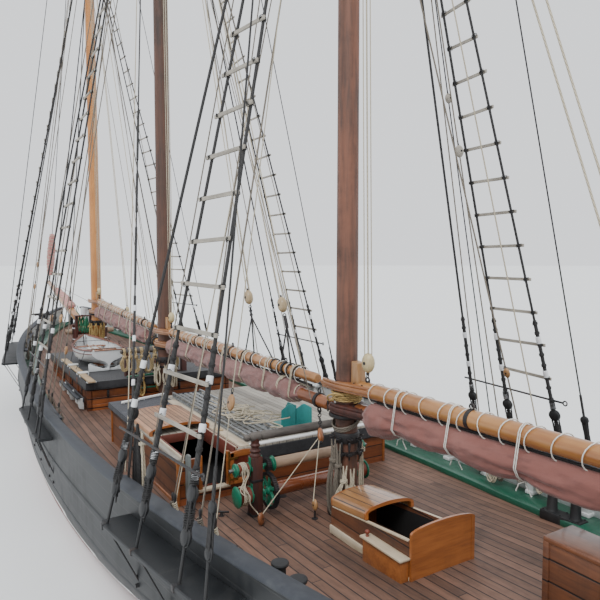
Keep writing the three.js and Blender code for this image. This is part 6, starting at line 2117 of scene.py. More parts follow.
def makeDoorLeaf(plan):
    # The leaf: an arched frame round sunk panels, opened flat against the wall
    (x0, y0, z0), (x1, y1, z1) = plan["low"], plan["high"]
    stile, arch = plan["stile"], plan["arch"]
    bm = bmesh.new()
    addBox(bm, (x0, y0, z0), (x1, y0 + stile, z1 - 0.03), 0.006, 0)
    addBox(bm, (x0, y1 - stile, z0), (x1, y1, z1 - 0.03), 0.006, 0)
    addBox(bm, (x0, y0 + 0.05, z0), (x1, y1 - 0.05, z0 + 0.09), 0.006, 0)
    addBox(bm, (x0, y0 + 0.05, z0 + 0.24), (x1, y1 - 0.05, z0 + 0.31), 0.006, 0)
    outline = [(x0, y0, z1 - 0.11), (x0, y1, z1 - 0.11)]
    outline += [(x0, y1 + (y0 - y1) * i / 12, z1 - arch + arch * math.sin(math.pi * i / 12))
                for i in range(13)]
    addPlate(bm, outline, (x1 - x0, 0, 0), 0, 0.004)
    addBox(bm, (x0 + 0.013, y0 + 0.04, z0 + 0.04), (x1 - 0.012, y1 - 0.04, z1 - 0.08), 0.0, 1)
    addRod(bm, (*plan["pin"], z0 + 0.002), (*plan["pin"], z1), 0.0135, segments=14, finish=2)
    for z in plan["hinges"]:
        addBox(bm, (-7.306, 1.12, z - 0.02), (-7.292, 1.284, z + 0.02), 0.004, 2)
    addTurned(bm, plan["knob"], (-1, 0, 0),
              ((0.0, 0.012), (0.02, 0.012), (0.026, 0.022), (0.038, 0.02), (0.044, 0.0)), 16, 2)
    finishPiece("houseDoor", bm, [archVarnish, doorRed, bronze], "house_door", "red_brown_wood",
                ["deckhouse_door"])
    # The port leaf stands open: its top rises to the middle of the doorway's arch
    bm = bmesh.new()
    hinge, tip = Vector(plan["portHinge"]), Vector(plan["portTip"])
    rows = [(0.0, 2.30), (0.15, 2.37), (0.4, 2.42), (0.7, 2.45), (1.0, 2.46)]
    outline = [Vector((*hinge.lerp(tip, t).xy, z)) for t, z in rows]
    outline += [Vector((*end.xy, plan["portFoot"])) for end in (tip, hinge)]
    side = (tip - hinge).normalized().cross(Vector((0, 0, 1))) * plan["portThick"]
    addPlate(bm, outline, side, 0, 0.006)
    for t, z in ((0.0, 1.85), (0.0, 2.2)):
        spot = Vector((-7.25, 2.03, z))
        addRod(bm, spot - Vector((0, 0, 0.04)), spot + Vector((0, 0, 0.04)), 0.014, segments=10, finish=1)
        addBox(bm, spot - Vector((0.01, 0.03, 0.02)), spot + Vector((0.05, 0.03, 0.02)), 0.004, 1)
    finishPiece("portLeaf", bm, [leafGrey, bronze], slot="red_brown_wood")


gangwayPlan = {"low": 2.3003, "high": 2.43, "aft": -7.0, "fore": -3.0, "sides": (0.12, 0.78),
               "braces": 20, "rungs": 14, "rungPitch": 0.29, "boards": (0.26, 0.38, 0.5, 0.62)}


def makeGangway(plan):
    bm = bmesh.new()
    low, high, aft, fore, sides = (plan[key] for key in ("low", "high", "aft", "fore", "sides"))
    pitch = (fore - aft) / plan["braces"]
    for y in sides:
        addBar(bm, (aft, y, low + 0.018), (fore, y, low + 0.018), 0.05, 0.036, 0.006)
        addBar(bm, (aft, y, high - 0.015), (fore, y, high - 0.015), 0.045, 0.03, 0.006)
        for step in range(plan["braces"]):
            x = aft + step * pitch
            zigzag = (low + 0.03, high - 0.025) if step % 2 else (high - 0.025, low + 0.03)
            addBar(bm, (x + 0.01, y, zigzag[0]), (x + pitch - 0.01, y, zigzag[1]), 0.016, 0.014, 0.0)
        for x in (aft + 0.02, (aft + fore) / 2, fore - 0.02):
            addBox(bm, (x - 0.02, y - 0.022, low + 0.02), (x + 0.02, y + 0.022, high - 0.01), 0.004)
    for step in range(plan["rungs"]):
        x = aft + 0.13 + step * plan["rungPitch"]
        addBar(bm, (x, sides[0], low + 0.055), (x, sides[1], low + 0.055), 0.045, 0.022, 0.004)
    for y in plan["boards"]:
        addBar(bm, (aft + 0.05, y, low + 0.074), (fore - 0.05, y, low + 0.074), 0.07, 0.012, 0.003)
    finishPiece("gangwayFrame", bm, alloy, slot="alloy", stands=["gangway"])
    bm = bmesh.new()
    for end in (aft, fore):
        addRod(bm, (end, 0.1, low + 0.06), (end, 0.8, low + 0.06), 0.022, segments=12)
    finishPiece("gangwayRollers", bm, railGrey, slot="black_iron")


# The wings: each one's outer and inner edge, and its height
lightPlan = {"low": 2.3003, "aft": -6.57, "fore": -6.15, "middle": -0.5, "thick": 0.028,
             "wings": ((-0.15, -0.462, 0.40), (-0.84, -0.478, 0.37)), "lamp": (-6.33, -0.68)}


def makeLightBox(plan):
    # A folded screen for the side light, lashed down on the house top
    low, aft, fore, middle = plan["low"], plan["aft"], plan["fore"], plan["middle"]
    bm = bmesh.new()
    for outer, inner, high in plan["wings"]:
        side = 1 if outer > inner else -1
        outline = [(aft, outer, low), (aft, outer, low + high - 0.06),
                   (aft, outer - side * 0.16, low + high + 0.04),
                   (aft, outer - side * 0.22, low + high + 0.035), (aft, inner, low + high - 0.04),
                   (aft, inner, low)]
        addPlate(bm, outline, (plan["thick"], 0, 0), 0, 0.006)
    outline = [(aft + 0.03, middle, low), (fore, middle, low), (fore, middle, low + 0.30),
               (fore - 0.08, middle, low + 0.4), (aft + 0.03, middle, low + 0.4)]
    addPlate(bm, outline, (0, plan["thick"], 0), 0, 0.006)
    addBox(bm, (aft + 0.001, -0.84, low), (fore, -0.15, low + 0.03), 0.006, 0)
    addBar(bm, (aft + 0.034, -0.2, low + 0.05), (aft + 0.034, -0.42, low + 0.36), 0.02, 0.03, 0.004, 0,
           (1, 0, 0))
    finishPiece("lightScreen", bm, tealPaint, slot="teal_paint", stands=["light_box"])
    bm = bmesh.new()
    x, y = plan["lamp"]
    addTurned(bm, (x, y, low + 0.03), (0, 0, 1), ((0.0, 0.0), (0.0, 0.07), (0.03, 0.08), (0.04, 0.065),
                                                  (0.05, 0.065)), 20, 0)
    addTurned(bm, (x, y, low + 0.08), (0, 0, 1), drum(0.062, 0.12), 20, 1)
    addTurned(bm, (x, y, low + 0.2), (0, 0, 1), ((0.0, 0.0), (0.0, 0.075), (0.02, 0.078), (0.06, 0.035),
                                                 (0.08, 0.03), (0.1, 0.0)), 20, 0)
    finishPiece("sideLamp", bm, [bronze, castGreen], slot="bronze")


makeHouse(housePlan)
makeRoofCanvas(housePlan)
makeHood(hoodPlan)
makeDoorLeaf(leafPlan)
makeGangway(gangwayPlan)
makeLightBox(lightPlan)
print("deckhouse made")

# The winch abaft the deckhouse: posts, head beam, bearings, two barrels with gears and drums
winchPlan = {
    "x": -8.2, "posts": (-0.48, 1.25), "half": 0.09, "beam": 2.78, "upper": 2.3, "lower": 1.9, "shift": -0.06,
    "shaft": 0.03, "teeth": 53, "pinionTeeth": 19, "mirror": 0.77,
}
shaftSteel = paintFinish("shaftSteel", (120, 120, 118), (60, 58, 56), 0.3, 0.3, metallic=0.9, scale=8.0)


def makeWinchFrame(plan):
    x, half, beam = plan["x"], plan["half"], plan["beam"]
    bm = bmesh.new()
    for y in plan["posts"]:
        addBox(bm, (x - half, y - half, 1.45), (x + half, y + half, 2.47), 0.012)
        addTurned(bm, (x, y, 2.46), (0, 0, 1), (
            (0.0, 0.0), (0.0, 0.082), (0.02, 0.088), (0.045, 0.084), (0.06, 0.068), (0.075, 0.066),
            (0.085, 0.08), (0.10, 0.086),
            (0.115, 0.08), (0.13, 0.062), (0.16, 0.06), (0.175, 0.074), (0.19, 0.08), (0.205, 0.074),
            (0.22, 0.062), (0.26, 0.066),
            (0.3, 0.07), (0.3, 0.0)), 22)
    finishPiece("winchPosts", bm, postRed, slot="red_brown_wood", stands=["winch_frame"])
    bm = bmesh.new()
    profile = [(-1.445, 0.0), (-1.442, 0.035), (-1.425, 0.052), (-1.40, 0.056), (-1.375, 0.05),
               (-1.36, 0.036), (-1.345, 0.034),
               (-1.335, 0.05), (-1.325, 0.068), (-1.30, 0.072), (-1.18, 0.073), (-1.165, 0.06), (-1.15, 0.06),
               (-1.13, 0.07),
               (-0.9, 0.066), (-0.7, 0.072)]
    middle = sum(plan["posts"]) / 2
    reach = plan["posts"][1] + 0.19 - middle
    profile = [(d + 1.445 - reach, r) for d, r in profile if d + 1.445 - reach < 0]
    profile += [(-d, r) for d, r in reversed(profile)]
    addTurned(bm, (x, middle, beam), (0, 1, 0), profile, 24)
    finishPiece("winchBeam", bm, beamGrey, slot="red_brown_wood")
    # Green bearing castings, bolted on both faces of each post
    bm = bmesh.new()
    for side, post in zip((-1, 1), plan["posts"]):
        for cx, z in ((x, plan["upper"]), (x + plan["shift"], plan["lower"])):
            for face, out, thick in ((post + side * half, side, 0.012), (post - side * half, -side, 0.018)):
                addTurned(bm, (cx, face - out * 0.004, z), (0, out, 0), (
                    (0.0, 0.034), (0.0, 0.066), (thick - 0.002, 0.07), (thick + 0.004, 0.062),
                    (thick + 0.004, 0.034), (0.0, 0.034)), 22)
                for low, high in ((0.06, 0.17), (-0.13, -0.06)):
                    addBox(bm, (cx - 0.035, min(face, face + out * thick), z + low),
                           (cx + 0.035, max(face, face + out * thick), z + high), 0.004)
                for dz in (0.145, -0.105):
                    addRod(bm, (cx, face, z + dz), (cx, face + out * (thick + 0.004), z + dz), 0.011,
                           segments=6)
                for way in (-1, 1):
                    addBox(bm, (min(cx + way * 0.05, cx + way * 0.1), min(face, face + out * thick),
                                z - 0.03),
                           (max(cx + way * 0.05, cx + way * 0.1), max(face, face + out * thick), z + 0.03),
                           0.004)
    finishPiece("winchBearings", bm, castGreen, slot="green_paint", recalc=True)
    bm = bmesh.new()
    for y in plan["posts"]:
        addBox(bm, (x - half - 0.008, y - half - 0.008, 1.52), (x + half + 0.008, y + half + 0.008, 1.57),
               0.004)
        addBox(bm, (x - half - 0.008, y - half - 0.008, 2.08), (x + half + 0.008, y + half + 0.008, 2.12),
               0.004)
    addTurned(bm, (-7.95, 1.72, deckAt(-7.95) - 0.005), (0, 0, 1),
              ((0.0, 0.0), (0.0, 0.05), (0.012, 0.05), (0.018, 0.03), (0.06, 0.018), (0.06, 0.0)), 16)
    addBar(bm, (-8.02, 1.62, deckAt(-8) + 0.065), (-7.88, 1.82, deckAt(-8) + 0.065), 0.03, 0.028, 0.006)
    addTurned(bm, (-7.75, 0.52, deckAt(-7.75) - 0.004), (0, 0, 1),
              ((0.0, 0.0), (0.0, 0.09), (0.012, 0.085), (0.016, 0.0)), 20)
    finishPiece("winchIrons", bm, ironBlack, slot="black_iron")


def addGear(bm, cx, z, low, high, root, tip, teeth, face, tooth):
    # A toothed ring about Y, closed all round
    addTurned(bm, (cx, low, z), (0, 1, 0), band(root - 0.04, root, high - low), max(teeth, 24), face)
    half = math.pi * root / teeth * 0.5
    for step in range(teeth):
        angle = turn * step / teeth
        out, side = Vector((math.cos(angle), 0, math.sin(angle))), Vector((-math.sin(angle), 0,
                math.cos(angle)))
        centre = Vector((cx, 0, z))
        outline = [centre + out * (root - 0.004) + side * half, centre + out * tip + side * half * 0.6,
                   centre + out * tip - side * half * 0.6, centre + out * (root - 0.004) - side * half]
        addPlate(bm, [Vector((p.x, low + 0.002, p.z)) for p in outline], (0, high - low - 0.004, 0), tooth)


def makeUpperBarrel(plan):
    x, z, shaft = plan["x"], plan["upper"], plan["shaft"]
    bm = bmesh.new()
    addTurned(bm, (x, 0, z), (0, 1, 0), ((-0.305, 0.0), (-0.305, 0.078), (-0.29, 0.0845), (0.0, 0.085),
                                         (0.3, 0.0852), (0.6, 0.085),
                                         (0.91, 0.0845), (0.925, 0.078), (0.925, 0.0)), 32, 0)
    for side, base in ((1, 0.0), (-1, plan["mirror"])):
        addTurned(bm, (x, base, z), (0, side, 0), ((1.365, 0.0), (1.365, 0.078), (1.39, 0.083), (1.45, 0.074),
                                                   (1.52, 0.07), (1.565, 0.078),
                                                (1.565, 0.0)), 26, 1)
        addTurned(bm, (x, base, z), (0, side, 0), ((1.56, 0.0), (1.56, 0.088), (1.575, 0.10), (1.598, 0.105),
                                                   (1.61, 0.10), (1.62, 0.05),
                                                (1.632, 0.042), (1.632, 0.0)), 26, 2)
        addTurned(bm, (x, base, z), (0, side, 0), ((1.362, 0.0), (1.362, 0.07), (1.367, 0.09), (1.38, 0.09),
                                                   (1.386, 0.07), (1.386, 0.0)), 26, 2)
        addTurned(bm, (x, base, z), (0, side, 0), ((1.62, 0.0), (1.62, 0.03), (1.685, 0.03), (1.69, 0.024),
                                                   (1.70, 0.022), (1.70, 0.0)), 16, 3)
    for low, high, wide in ((0.925, 0.985, 0.12), (-0.355, -0.305, 0.12)):
        addTurned(bm, (x, 0, z), (0, 1, 0), ((low, 0.0), (low, wide - 0.02), (low + 0.01, wide),
                                             (low + 0.02, wide), (low + 0.03, wide - 0.028),
                                             (high - 0.012, wide - 0.03), (high, wide - 0.05), (high, 0.0)),
                                             28, 2)
    addTurned(bm, (x, 0, z), (0, 1, 0), drum(shaft, 1.366, -0.596), 16, 2)
    addGear(bm, x, z, 1.0, 1.07, 0.094, 0.104, plan["pinionTeeth"], 4, 4)
    addTurned(bm, (x, 0, z), (0, 1, 0), drum(0.056, 1.068, 1.002), 16, 4)
    finishPiece("winchUpperBarrel", bm, [barrelPale, barrelRed, castGreen, shaftSteel, ironBlack],
                "winch_upper", "varnished_wood", ["winch_upper_barrel"])


def makeLowerBarrel(plan):
    x, z, shaft = plan["x"] + plan["shift"], plan["lower"], plan["shaft"]
    bm = bmesh.new()
    addTurned(bm, (x, 0, z), (0, 1, 0), ((-0.335, 0.0), (-0.335, 0.098), (-0.32, 0.109), (0.0, 0.11),
                                         (0.3, 0.1102), (0.6, 0.11),
                                         (0.945, 0.109), (0.962, 0.1), (0.962, 0.0)), 34, 0)
    for side, base in ((1, 0.0), (-1, plan["mirror"])):
        addTurned(bm, (x, base, z), (0, side, 0), ((1.37, 0.0), (1.37, 0.122), (1.39, 0.128), (1.47, 0.12),
                                                   (1.55, 0.124), (1.586, 0.13),
                                                (1.586, 0.0)), 30, 1)
        addTurned(bm, (x, base, z), (0, side, 0), ((1.582, 0.0), (1.582, 0.15), (1.59, 0.163), (1.604, 0.165),
                                                   (1.615, 0.155), (1.628, 0.12),
                                                (1.638, 0.07), (1.641, 0.0)), 30, 2)
        addTurned(bm, (x, base, z), (0, side, 0), ((1.362, 0.0), (1.362, 0.09), (1.367, 0.134),
                                                   (1.382, 0.136), (1.39, 0.125), (1.39, 0.0)), 30, 2)
    addTurned(bm, (x, 0, z), (0, 1, 0), drum(shaft, 1.366, -0.596), 16, 2)
    addGear(bm, x, z, 1.0, 1.07, 0.28, 0.29, plan["teeth"], 3, 3)
    addTurned(bm, (x, 0, z), (0, 1, 0), ((0.99, 0.0), (0.99, 0.06), (1.0, 0.068), (1.07, 0.068),
                                         (1.082, 0.058), (1.09, 0.04), (1.09, 0.0)), 24, 2)
    arms, inner, outer = 6, 0.05, 0.248
    for step in range(arms):
        angle = turn * step / arms + 0.3
        bend = angle + 0.35
        a = Vector((x + inner * math.cos(angle), 1.035, z + inner * math.sin(angle)))
        b = Vector((x + outer * math.cos(bend), 1.035, z + outer * math.sin(bend)))
        addBar(bm, a, b, 0.05, 0.052, 0.01, 2, up=(0, 1, 0))
    addTurned(bm, (x, 1.012, z), (0, 1, 0), band(0.232, 0.252, 0.046), 48, 2)
    finishPiece("winchLowerBarrel", bm, [barrelGloss, barrelRed, castGreen, ironBlack], "winch_lower",
                "varnished_wood", ["winch_lower_barrel"])


def makeWinchRopes(plan):
    # Turns on the two port drums, the bights between them and the fall to the block on deck
    x, upper, lower = plan["x"], plan["upper"], plan["lower"]
    low = x + plan["shift"]
    ropes("upperTurns", [windings((x, 1.475, upper), (0, 1, 0), 0.093, 4.5, 0.11, 16, 0.8, wander=0.002)],
          0.0105, hempPale, "winch_upper", sides=4)
    ropes("lowerTurns", [windings((low, 1.50, lower), (0, 1, 0), 0.139, 3.5, 0.09, 18, 0.4, wander=0.002)],
          0.0105, hempPale, "winch_lower", sides=4)
    lines = []
    for begin, out, end in ((1.45, 0.08, 1.52), (1.50, 0.03, 1.47), (1.53, -0.01, 1.545), (1.43, 0.06, 1.46)):
        lines.append(smoothLine([
            (x - 0.13, begin, upper + 0.03), (x - 0.135, begin, upper - 0.06),
            (x - 0.15, begin + out, upper - 0.16),
            (x - 0.20, end + out, upper - 0.26), (low - 0.178, end, lower + 0.05),
            (low - 0.178, end, lower - 0.03)], 5))
    lines.append(smoothLine([(low - 0.178, 1.46, lower + 0.02), (low - 0.172, 1.45, lower - 0.08),
                             (x - 0.22, 1.33, lower - 0.24),
                             (x - 0.36, 1.37, deckAt(x) + 0.13)], 5))
    ropes("winchFalls", lines, 0.0095, hempPale, sides=4)
    bm = bmesh.new()
    centre = Vector((x - 0.42, 1.37, deckAt(x) + 0.12))
    addBlock(bm, centre, (0.1, 0.05, 1), 0.2, 0, 1, (1, 0.6, 0))
    addTurned(bm, centre - Vector((0, 0, 0.13)), (0, 0, 1),
              ((0.0, 0.0), (0.0, 0.045), (0.015, 0.045), (0.02, 0.014), (0.07, 0.012), (0.07, 0.0)), 14, 1)
    finishPiece("winchLead", bm, [blockBrown, ironBlack], slot="varnished_wood")


makeWinchFrame(winchPlan)
makeUpperBarrel(winchPlan)
makeLowerBarrel(winchPlan)
makeWinchRopes(winchPlan)
print("winch made")

# The companion on the quarterdeck: boarded sides, a lid that slopes up aft and an arched board abaft it
companionPlan = {
    "aft": -11.1, "fore": -9.43, "low": -0.2, "high": 0.65, "wall": 0.05, "top": 2.0, "slope": 5.5,
    "lid": {"y": (-0.2, 0.65), "foot": 2.006, "side": 0.07, "rise": 0.105, "wall": 0.03, "aft": -10.24,
            "fore": -9.43},
}
lidPlanks = woodFinish("lidPlanks", (166, 121, 77), (130, 88, 54), 0.3, "X", coat=0.6, stain=(120, 92, 76),
                       worn=0.35, planks={
    "across": "Y", "width": 0.125, "length": 9.0, "seam": 0.09, "seamTone": (52, 38, 32)})


def slopeOf(point):
    # Turned about the companion's fore top edge, so that it climbs towards the stern
    angle = math.radians(companionPlan["slope"])
    dx, dz = point.x - companionPlan["fore"], point.z - companionPlan["top"]
    return Vector((companionPlan["fore"] + dx * math.cos(angle) + dz * math.sin(angle), point.y,
                   companionPlan["top"] - dx * math.sin(angle) + dz * math.cos(angle)))


def makeCompanion(plan):
    def topAt(x):
        return plan["top"] - (x - plan["fore"]) * math.tan(math.radians(plan["slope"]))

    aft, fore, low, high, wall = (plan[key] for key in ("aft", "fore", "low", "high", "wall"))
    foot = 1.42
    bm = bmesh.new()
    for y in (low, high - wall):
        outline = [(aft, y, foot), (fore, y, foot), (fore, y, topAt(fore)), (aft, y, topAt(aft))]
        addPlate(bm, outline, (0, wall, 0), 0, 0.005)
    finishPiece("companionSides", bm, houseSides, slot="varnished_wood", stands=["companion"])
    bm = bmesh.new()
    addBox(bm, (fore - wall, low + 0.01, foot), (fore - 0.001, high - 0.01, topAt(fore) - 0.004), 0.005)
    addBox(bm, (aft, low + 0.01, foot), (aft + wall, high - 0.01, topAt(aft) - 0.02), 0.006)
    finishPiece("companionEnds", bm, archVarnish, slot="varnished_wood")
    bm = bmesh.new()
    # Bare coaming tops, the rails that the lid runs on, and the deck mouldings
    for y0, y1 in ((low - 0.004, low + 0.046), (high - 0.046, high + 0.004)):
        addBar(bm, (aft + 0.03, (y0 + y1) / 2, topAt(aft) - 0.012),
               (fore - 0.03, (y0 + y1) / 2, topAt(fore) - 0.012), 0.048, 0.024, 0.005)
    for y0, y1 in ((low - 0.03, low + 0.002), (high - 0.002, high + 0.03)):
        addBox(bm, (aft, y0, deckAt(aft) - 0.07), (fore, y1, deckAt(aft) + 0.045), 0.008)
    finishPiece("companionRails", bm, creamBoard, slot="varnished_wood")
    # Near-black inner faces and floor, painted shade inside the companion
    bm = bmesh.new()
    addBox(bm, (aft + wall - 0.002, low + wall - 0.002, foot + 0.02),
           (aft + wall + 0.004, high - wall + 0.002, topAt(aft) - 0.05), 0)
    for y in (low + wall - 0.001, high - wall - 0.005):
        outline = [(aft + wall, y, foot), (fore - wall, y, foot), (fore - wall, y, topAt(fore) - 0.06),
                   (aft + wall, y, topAt(aft) - 0.06)]
        addPlate(bm, outline, (0, 0.006, 0), 0)
    addBox(bm, (aft + wall, low + wall, foot), (fore - wall, high - wall, foot + 0.03), 0)
    finishPiece("companionLining", bm, insideDark, slot="varnished_wood")
    # The arched board at the after end, and the varnished ledge along the port side
    bm = bmesh.new()
    board = {"y": (-0.42, 0.66), "foot": deckAt(aft) - 0.05, "side": 0.62, "rise": 0.085}
    archWall(bm, board, aft - 0.036, aft - 0.002, 0.0, 0.055, 0)
    outline = [Vector((aft - 0.03, y, z)) for y, z in archRing(board, 0.03)]
    addPlate(bm, outline, (0.022, 0, 0), 0)
    addBox(bm, (aft, high + 0.01, deckAt(aft) - 0.05), (aft + 0.75, high + 0.14, deckAt(aft) + 0.26), 0.01)
    finishPiece("companionBoard", bm, archVarnish, slot="varnished_wood")
    bm = bmesh.new()
    addBox(bm, (aft - 0.02, high + 0.005, deckAt(aft) + 0.262), (aft + 0.78, high + 0.17, deckAt(aft) + 0.29),
           0.008)
    finishPiece("companionLedge", bm, creamBoard, slot="varnished_wood")
    bm = bmesh.new()
    addTurned(bm, (aft + 0.70, high + 0.10, deckAt(aft) + 0.288), (0, 0, 1),
              ((0.0, 0.0), (0.0, 0.022), (0.012, 0.022), (0.02, 0.014), (0.03, 0.014),
                                                                        (0.038, 0.026), (0.056, 0.034),
                                                                        (0.074, 0.03), (0.088, 0.016),
                                                                        (0.092, 0.0)), 18)
    finishPiece("ledgeKnob", bm, barrelRed, slot="varnished_wood")


def makeLid(plan):
    lid = plan["lid"]
    bm = bmesh.new()
    archWall(bm, lid, lid["aft"] + 0.02, lid["fore"] - 0.02, 0.001, lid["wall"], 0, slopeOf)
    archPlate(bm, lid, lid["fore"] - 0.028, 0.003, 0.02, 1, slopeOf)
    archWall(bm, lid, lid["fore"] - 0.03, lid["fore"] - 0.001, 0.0, 0.02, 1, slopeOf)
    archWall(bm, lid, lid["aft"], lid["aft"] + 0.03, 0.0, 0.05, 1, slopeOf)
    archWall(bm, lid, lid["aft"] + 0.03, lid["aft"] + 0.062, 0.028, 0.05, 1, slopeOf)
    finishPiece("companionLid", bm, [lidPlanks, archVarnish, creamBoard], "companion_lid", "varnished_wood",
                ["companion_hood"], smooth=30.0)


makeCompanion(companionPlan)
makeLid(companionPlan)


# Mooring bitts, anchors, windlass and steering gear
bittsPlan = {"x": -11.1, "y": 2.33, "base": (0.33, 0.11, 0.135), "post": 0.19, "top": 2.293,
             "bolts": (-0.28, 0.0, 0.28)}


def makeBitts(plan, side):
    x, y = plan["x"], side * plan["y"]
    deck, (long, wide, high) = deckAt(x), plan["base"]
    # From the posts' foot to their crown
    tall = plan["top"] - deck - 0.12
    bm = bmesh.new()
    addBox(bm, (x - long, y - wide, deck - 0.02), (x + long, y + wide, deck + high), 0.02)
    for dx in (-plan["post"], plan["post"]):
        addTurned(bm, (x + dx, y, deck + 0.12), (0, 0, 1), (
            (0.0, 0.0), (0.0, 0.085), (0.02, 0.088), (0.04, 0.076), (0.3, 0.068), (tall - 0.057, 0.065),
            (tall - 0.043, 0.094), (tall - 0.023, 0.1), (tall - 0.009, 0.094), (tall - 0.003, 0.07),
            (tall, 0.0)), 26)
    for dx in plan["bolts"]:
        for dy in (-0.085, 0.085):
            addRod(bm, (x + dx, y + dy, deck + 0.12), (x + dx, y + dy, deck + 0.146), 0.014, segments=6)
    name = "port" if side > 0 else "starboard"
    finishPiece("mooringBitts" + name.capitalize(), bm, tarBlack, slot="black_iron", stands=["bitts_" + name])


# The arm's and the palm's points: ahead of the anchor's place, out from its shank, and above the place
anchorPlan = {"x": 12.3, "inboard": 0.06, "lift": 0.83, "shankAft": -0.8, "stockAt": -0.7, "ringAt": -0.84,
              "arm": ((0.49, 0.0, 0.077), (0.47, 0.14, 0.078), (0.42, 0.26, 0.08), (0.33, 0.35, 0.082),
                      (0.24, 0.385, 0.084)),
              "palm": ((0.44, 0.33, 0.1), (0.34, 0.27, 0.1), (0.21, 0.36, 0.1), (0.19, 0.405, 0.1),
                       (0.3, 0.44, 0.1)),
              "chocks": (-0.56, 0.42)}


def makeAnchor(plan, side):
    x = plan["x"]
    y, z = side * (breadthAt(x) - plan["inboard"]), deckAt(x) + plan["lift"]
    name = "port" if side > 0 else "starboard"
    bm = bmesh.new()
    addTurned(bm, (x + plan["shankAft"], y, z + 0.13), (1.3, 0, -0.055),
              ((0.0, 0.0), (0.0, 0.034), (0.03, 0.04), (0.5, 0.036), (0.9, 0.038), (1.28, 0.046),
                                                            (1.305, 0.03), (1.305, 0.0)), 14)
    for way in (-1, 1):
        addTurned(bm, (x + plan["stockAt"], y, z + 0.126), (0, way, 0),
                  ((0.0, 0.0), (0.0, 0.036), (0.06, 0.036), (0.08, 0.03), (0.36, 0.024), (0.375, 0.034),
                                                            (0.4, 0.042), (0.418, 0.034), (0.42, 0.0)), 14)
        arm, palm = ([(x + ahead, y + way * out, z + above) for ahead, out, above in plan[part]]
                     for part in ("arm", "palm"))
        arm = smoothLine(arm, 3)
        for a, b in zip(arm, arm[1:]):
            addRod(bm, a, b, 0.036, 0.034, 10)
        addPlate(bm, palm[::way], (0, 0, -0.03), 0, 0.004)
    addHoop(bm, (x + plan["ringAt"], y, z + 0.13), (0, 1, 0), 0.055, 0.014, 16, 6)
    for dx in plan["chocks"]:
        addBox(bm, (x + dx - 0.05, y - 0.05, z - 0.01), (x + dx + 0.05, y + 0.05, z + 0.075), 0.01)
    finishPiece("anchor" + name.capitalize(), bm, ironBlack, slot="black_iron", stands=["anchor_" + name])
    lines = [windings((x - 0.1, y, z + 0.09), (1, 0, 0), 0.056, 4.5, 0.09, 12),
             windings((x + 0.16, y, z + 0.085), (1, 0, 0), 0.056, 3.5, 0.07, 12)]
    ropes("anchorLashing" + name.capitalize(), lines, 0.009, hempPale)


windlassPlan = {"x": 10.12, "z": 2.52, "postY": 0.62, "postLow": 1.55, "postHigh": 2.74,
                "bands": (2.64, 2.16), "heel": ((10.48, -0.24), (10.73, 0.24)), "heelHigh": 2.53,
                "half": 0.5, "radius": 0.14, "rings": (0.12, 0.47), "whelps": 8}


def makeWindlass(plan):
    x, z, high, half, radius = (plan[key] for key in ("x", "z", "postHigh", "half", "radius"))
    deck = deckAt(x)
    bm = bmesh.new()
    for side in (-1, 1):
        y = side * plan["postY"]
        addBox(bm, (x - 0.09, y - 0.08, plan["postLow"]), (x + 0.09, y + 0.08, high), 0.014, 0)
        addBox(bm, (x - 0.1, y - 0.09, high - 0.02), (x + 0.1, y + 0.09, high + 0.11), 0.022, 0)
        for low in plan["bands"]:
            addBox(bm, (x - 0.096, y - 0.086, low), (x + 0.096, y + 0.086, low + 0.05), 0.006, 1)
    addBar(bm, (x - 0.055, -0.72, z + 0.272), (x - 0.055, 0.72, z + 0.272), 0.05, 0.09, 0.008, 0)
    addBox(bm, (x - 0.08, -0.2, deck - 0.03), (x + 0.62, 0.2, deck + 0.17), 0.02, 0)
    addBox(bm, (x - 0.08, -0.7, deck - 0.03), (x + 0.08, 0.7, deck + 0.12), 0.012, 0)
    addBox(bm, (*plan["heel"][0], deck), (*plan["heel"][1], plan["heelHigh"]), 0.02, 0)
    finishPiece("windlassPosts", bm, [postRed, whiteBand], slot="red_brown_wood", stands=["windlass_frame"])
    bm = bmesh.new()
    for side in (-1, 1):
        for face, way in ((0.70, 1), (0.54, -1)):
            addTurned(bm, (x, side * face, z), (0, side * way, 0),
                      ((-0.004, 0.045), (-0.004, 0.085), (0.016, 0.085), (0.02, 0.07), (0.02, 0.045),
                                                                     (-0.004, 0.045)), 20)
    finishPiece("windlassBearings", bm, ironBlack, slot="black_iron")
    bm = bmesh.new()
    addTurned(bm, (x, 0, z), (0, 1, 0), drum(0.04, 0.738, -0.738), 18, 1)
    # The body is an octagon with iron whelps and a ratchet ring amidships
    addTurned(bm, (x, 0, z), (0, 1, 0), (
        (-half, 0.0), (-half, radius - 0.01), (0.01 - half, radius), (half - 0.01, radius),
        (half, radius - 0.01), (half, 0.0)), 8, 0)
    addTurned(bm, (x, 0, z), (0, 1, 0), band(0.12, 0.148, 0.06, -0.06), 28, 1)
    for side in (-1, 1):
        for wide in plan["rings"]:
            addTurned(bm, (x, side * wide, z), (0, side, 0), band(0.12, 0.147, 0.024), 28, 1)
        addTurned(bm, (x, 0, z), (0, side, 0), ((0.735, 0.0), (0.735, 0.12), (0.75, 0.13), (0.78, 0.124),
                                                (0.86, 0.104), (0.93, 0.1), (0.975, 0.108),
                                                (0.995, 0.108), (1.0, 0.1), (1.0, 0.0)), 24, 2)
        addTurned(bm, (x, 0, z), (0, side, 0), ((0.99, 0.0), (0.99, 0.045), (1.0, 0.05), (1.004, 0.0)), 16, 1)
    for step in range(plan["whelps"]):
        angle = turn * (step + 0.5) / plan["whelps"]
        out = Vector((math.cos(angle), 0, math.sin(angle)))
        for side in (-1, 1):
            a = Vector((x, side * 0.16, z)) + out * 0.128
            b = Vector((x, side * 0.46, z)) + out * 0.128
            addBar(bm, a, b, 0.04, 0.03, 0.006, 1, up=out)
    finishPiece("windlassBarrel", bm, [barrelRed, ironBlack, barrelPale], "windlass", "varnished_wood",
                ["windlass_barrel"])


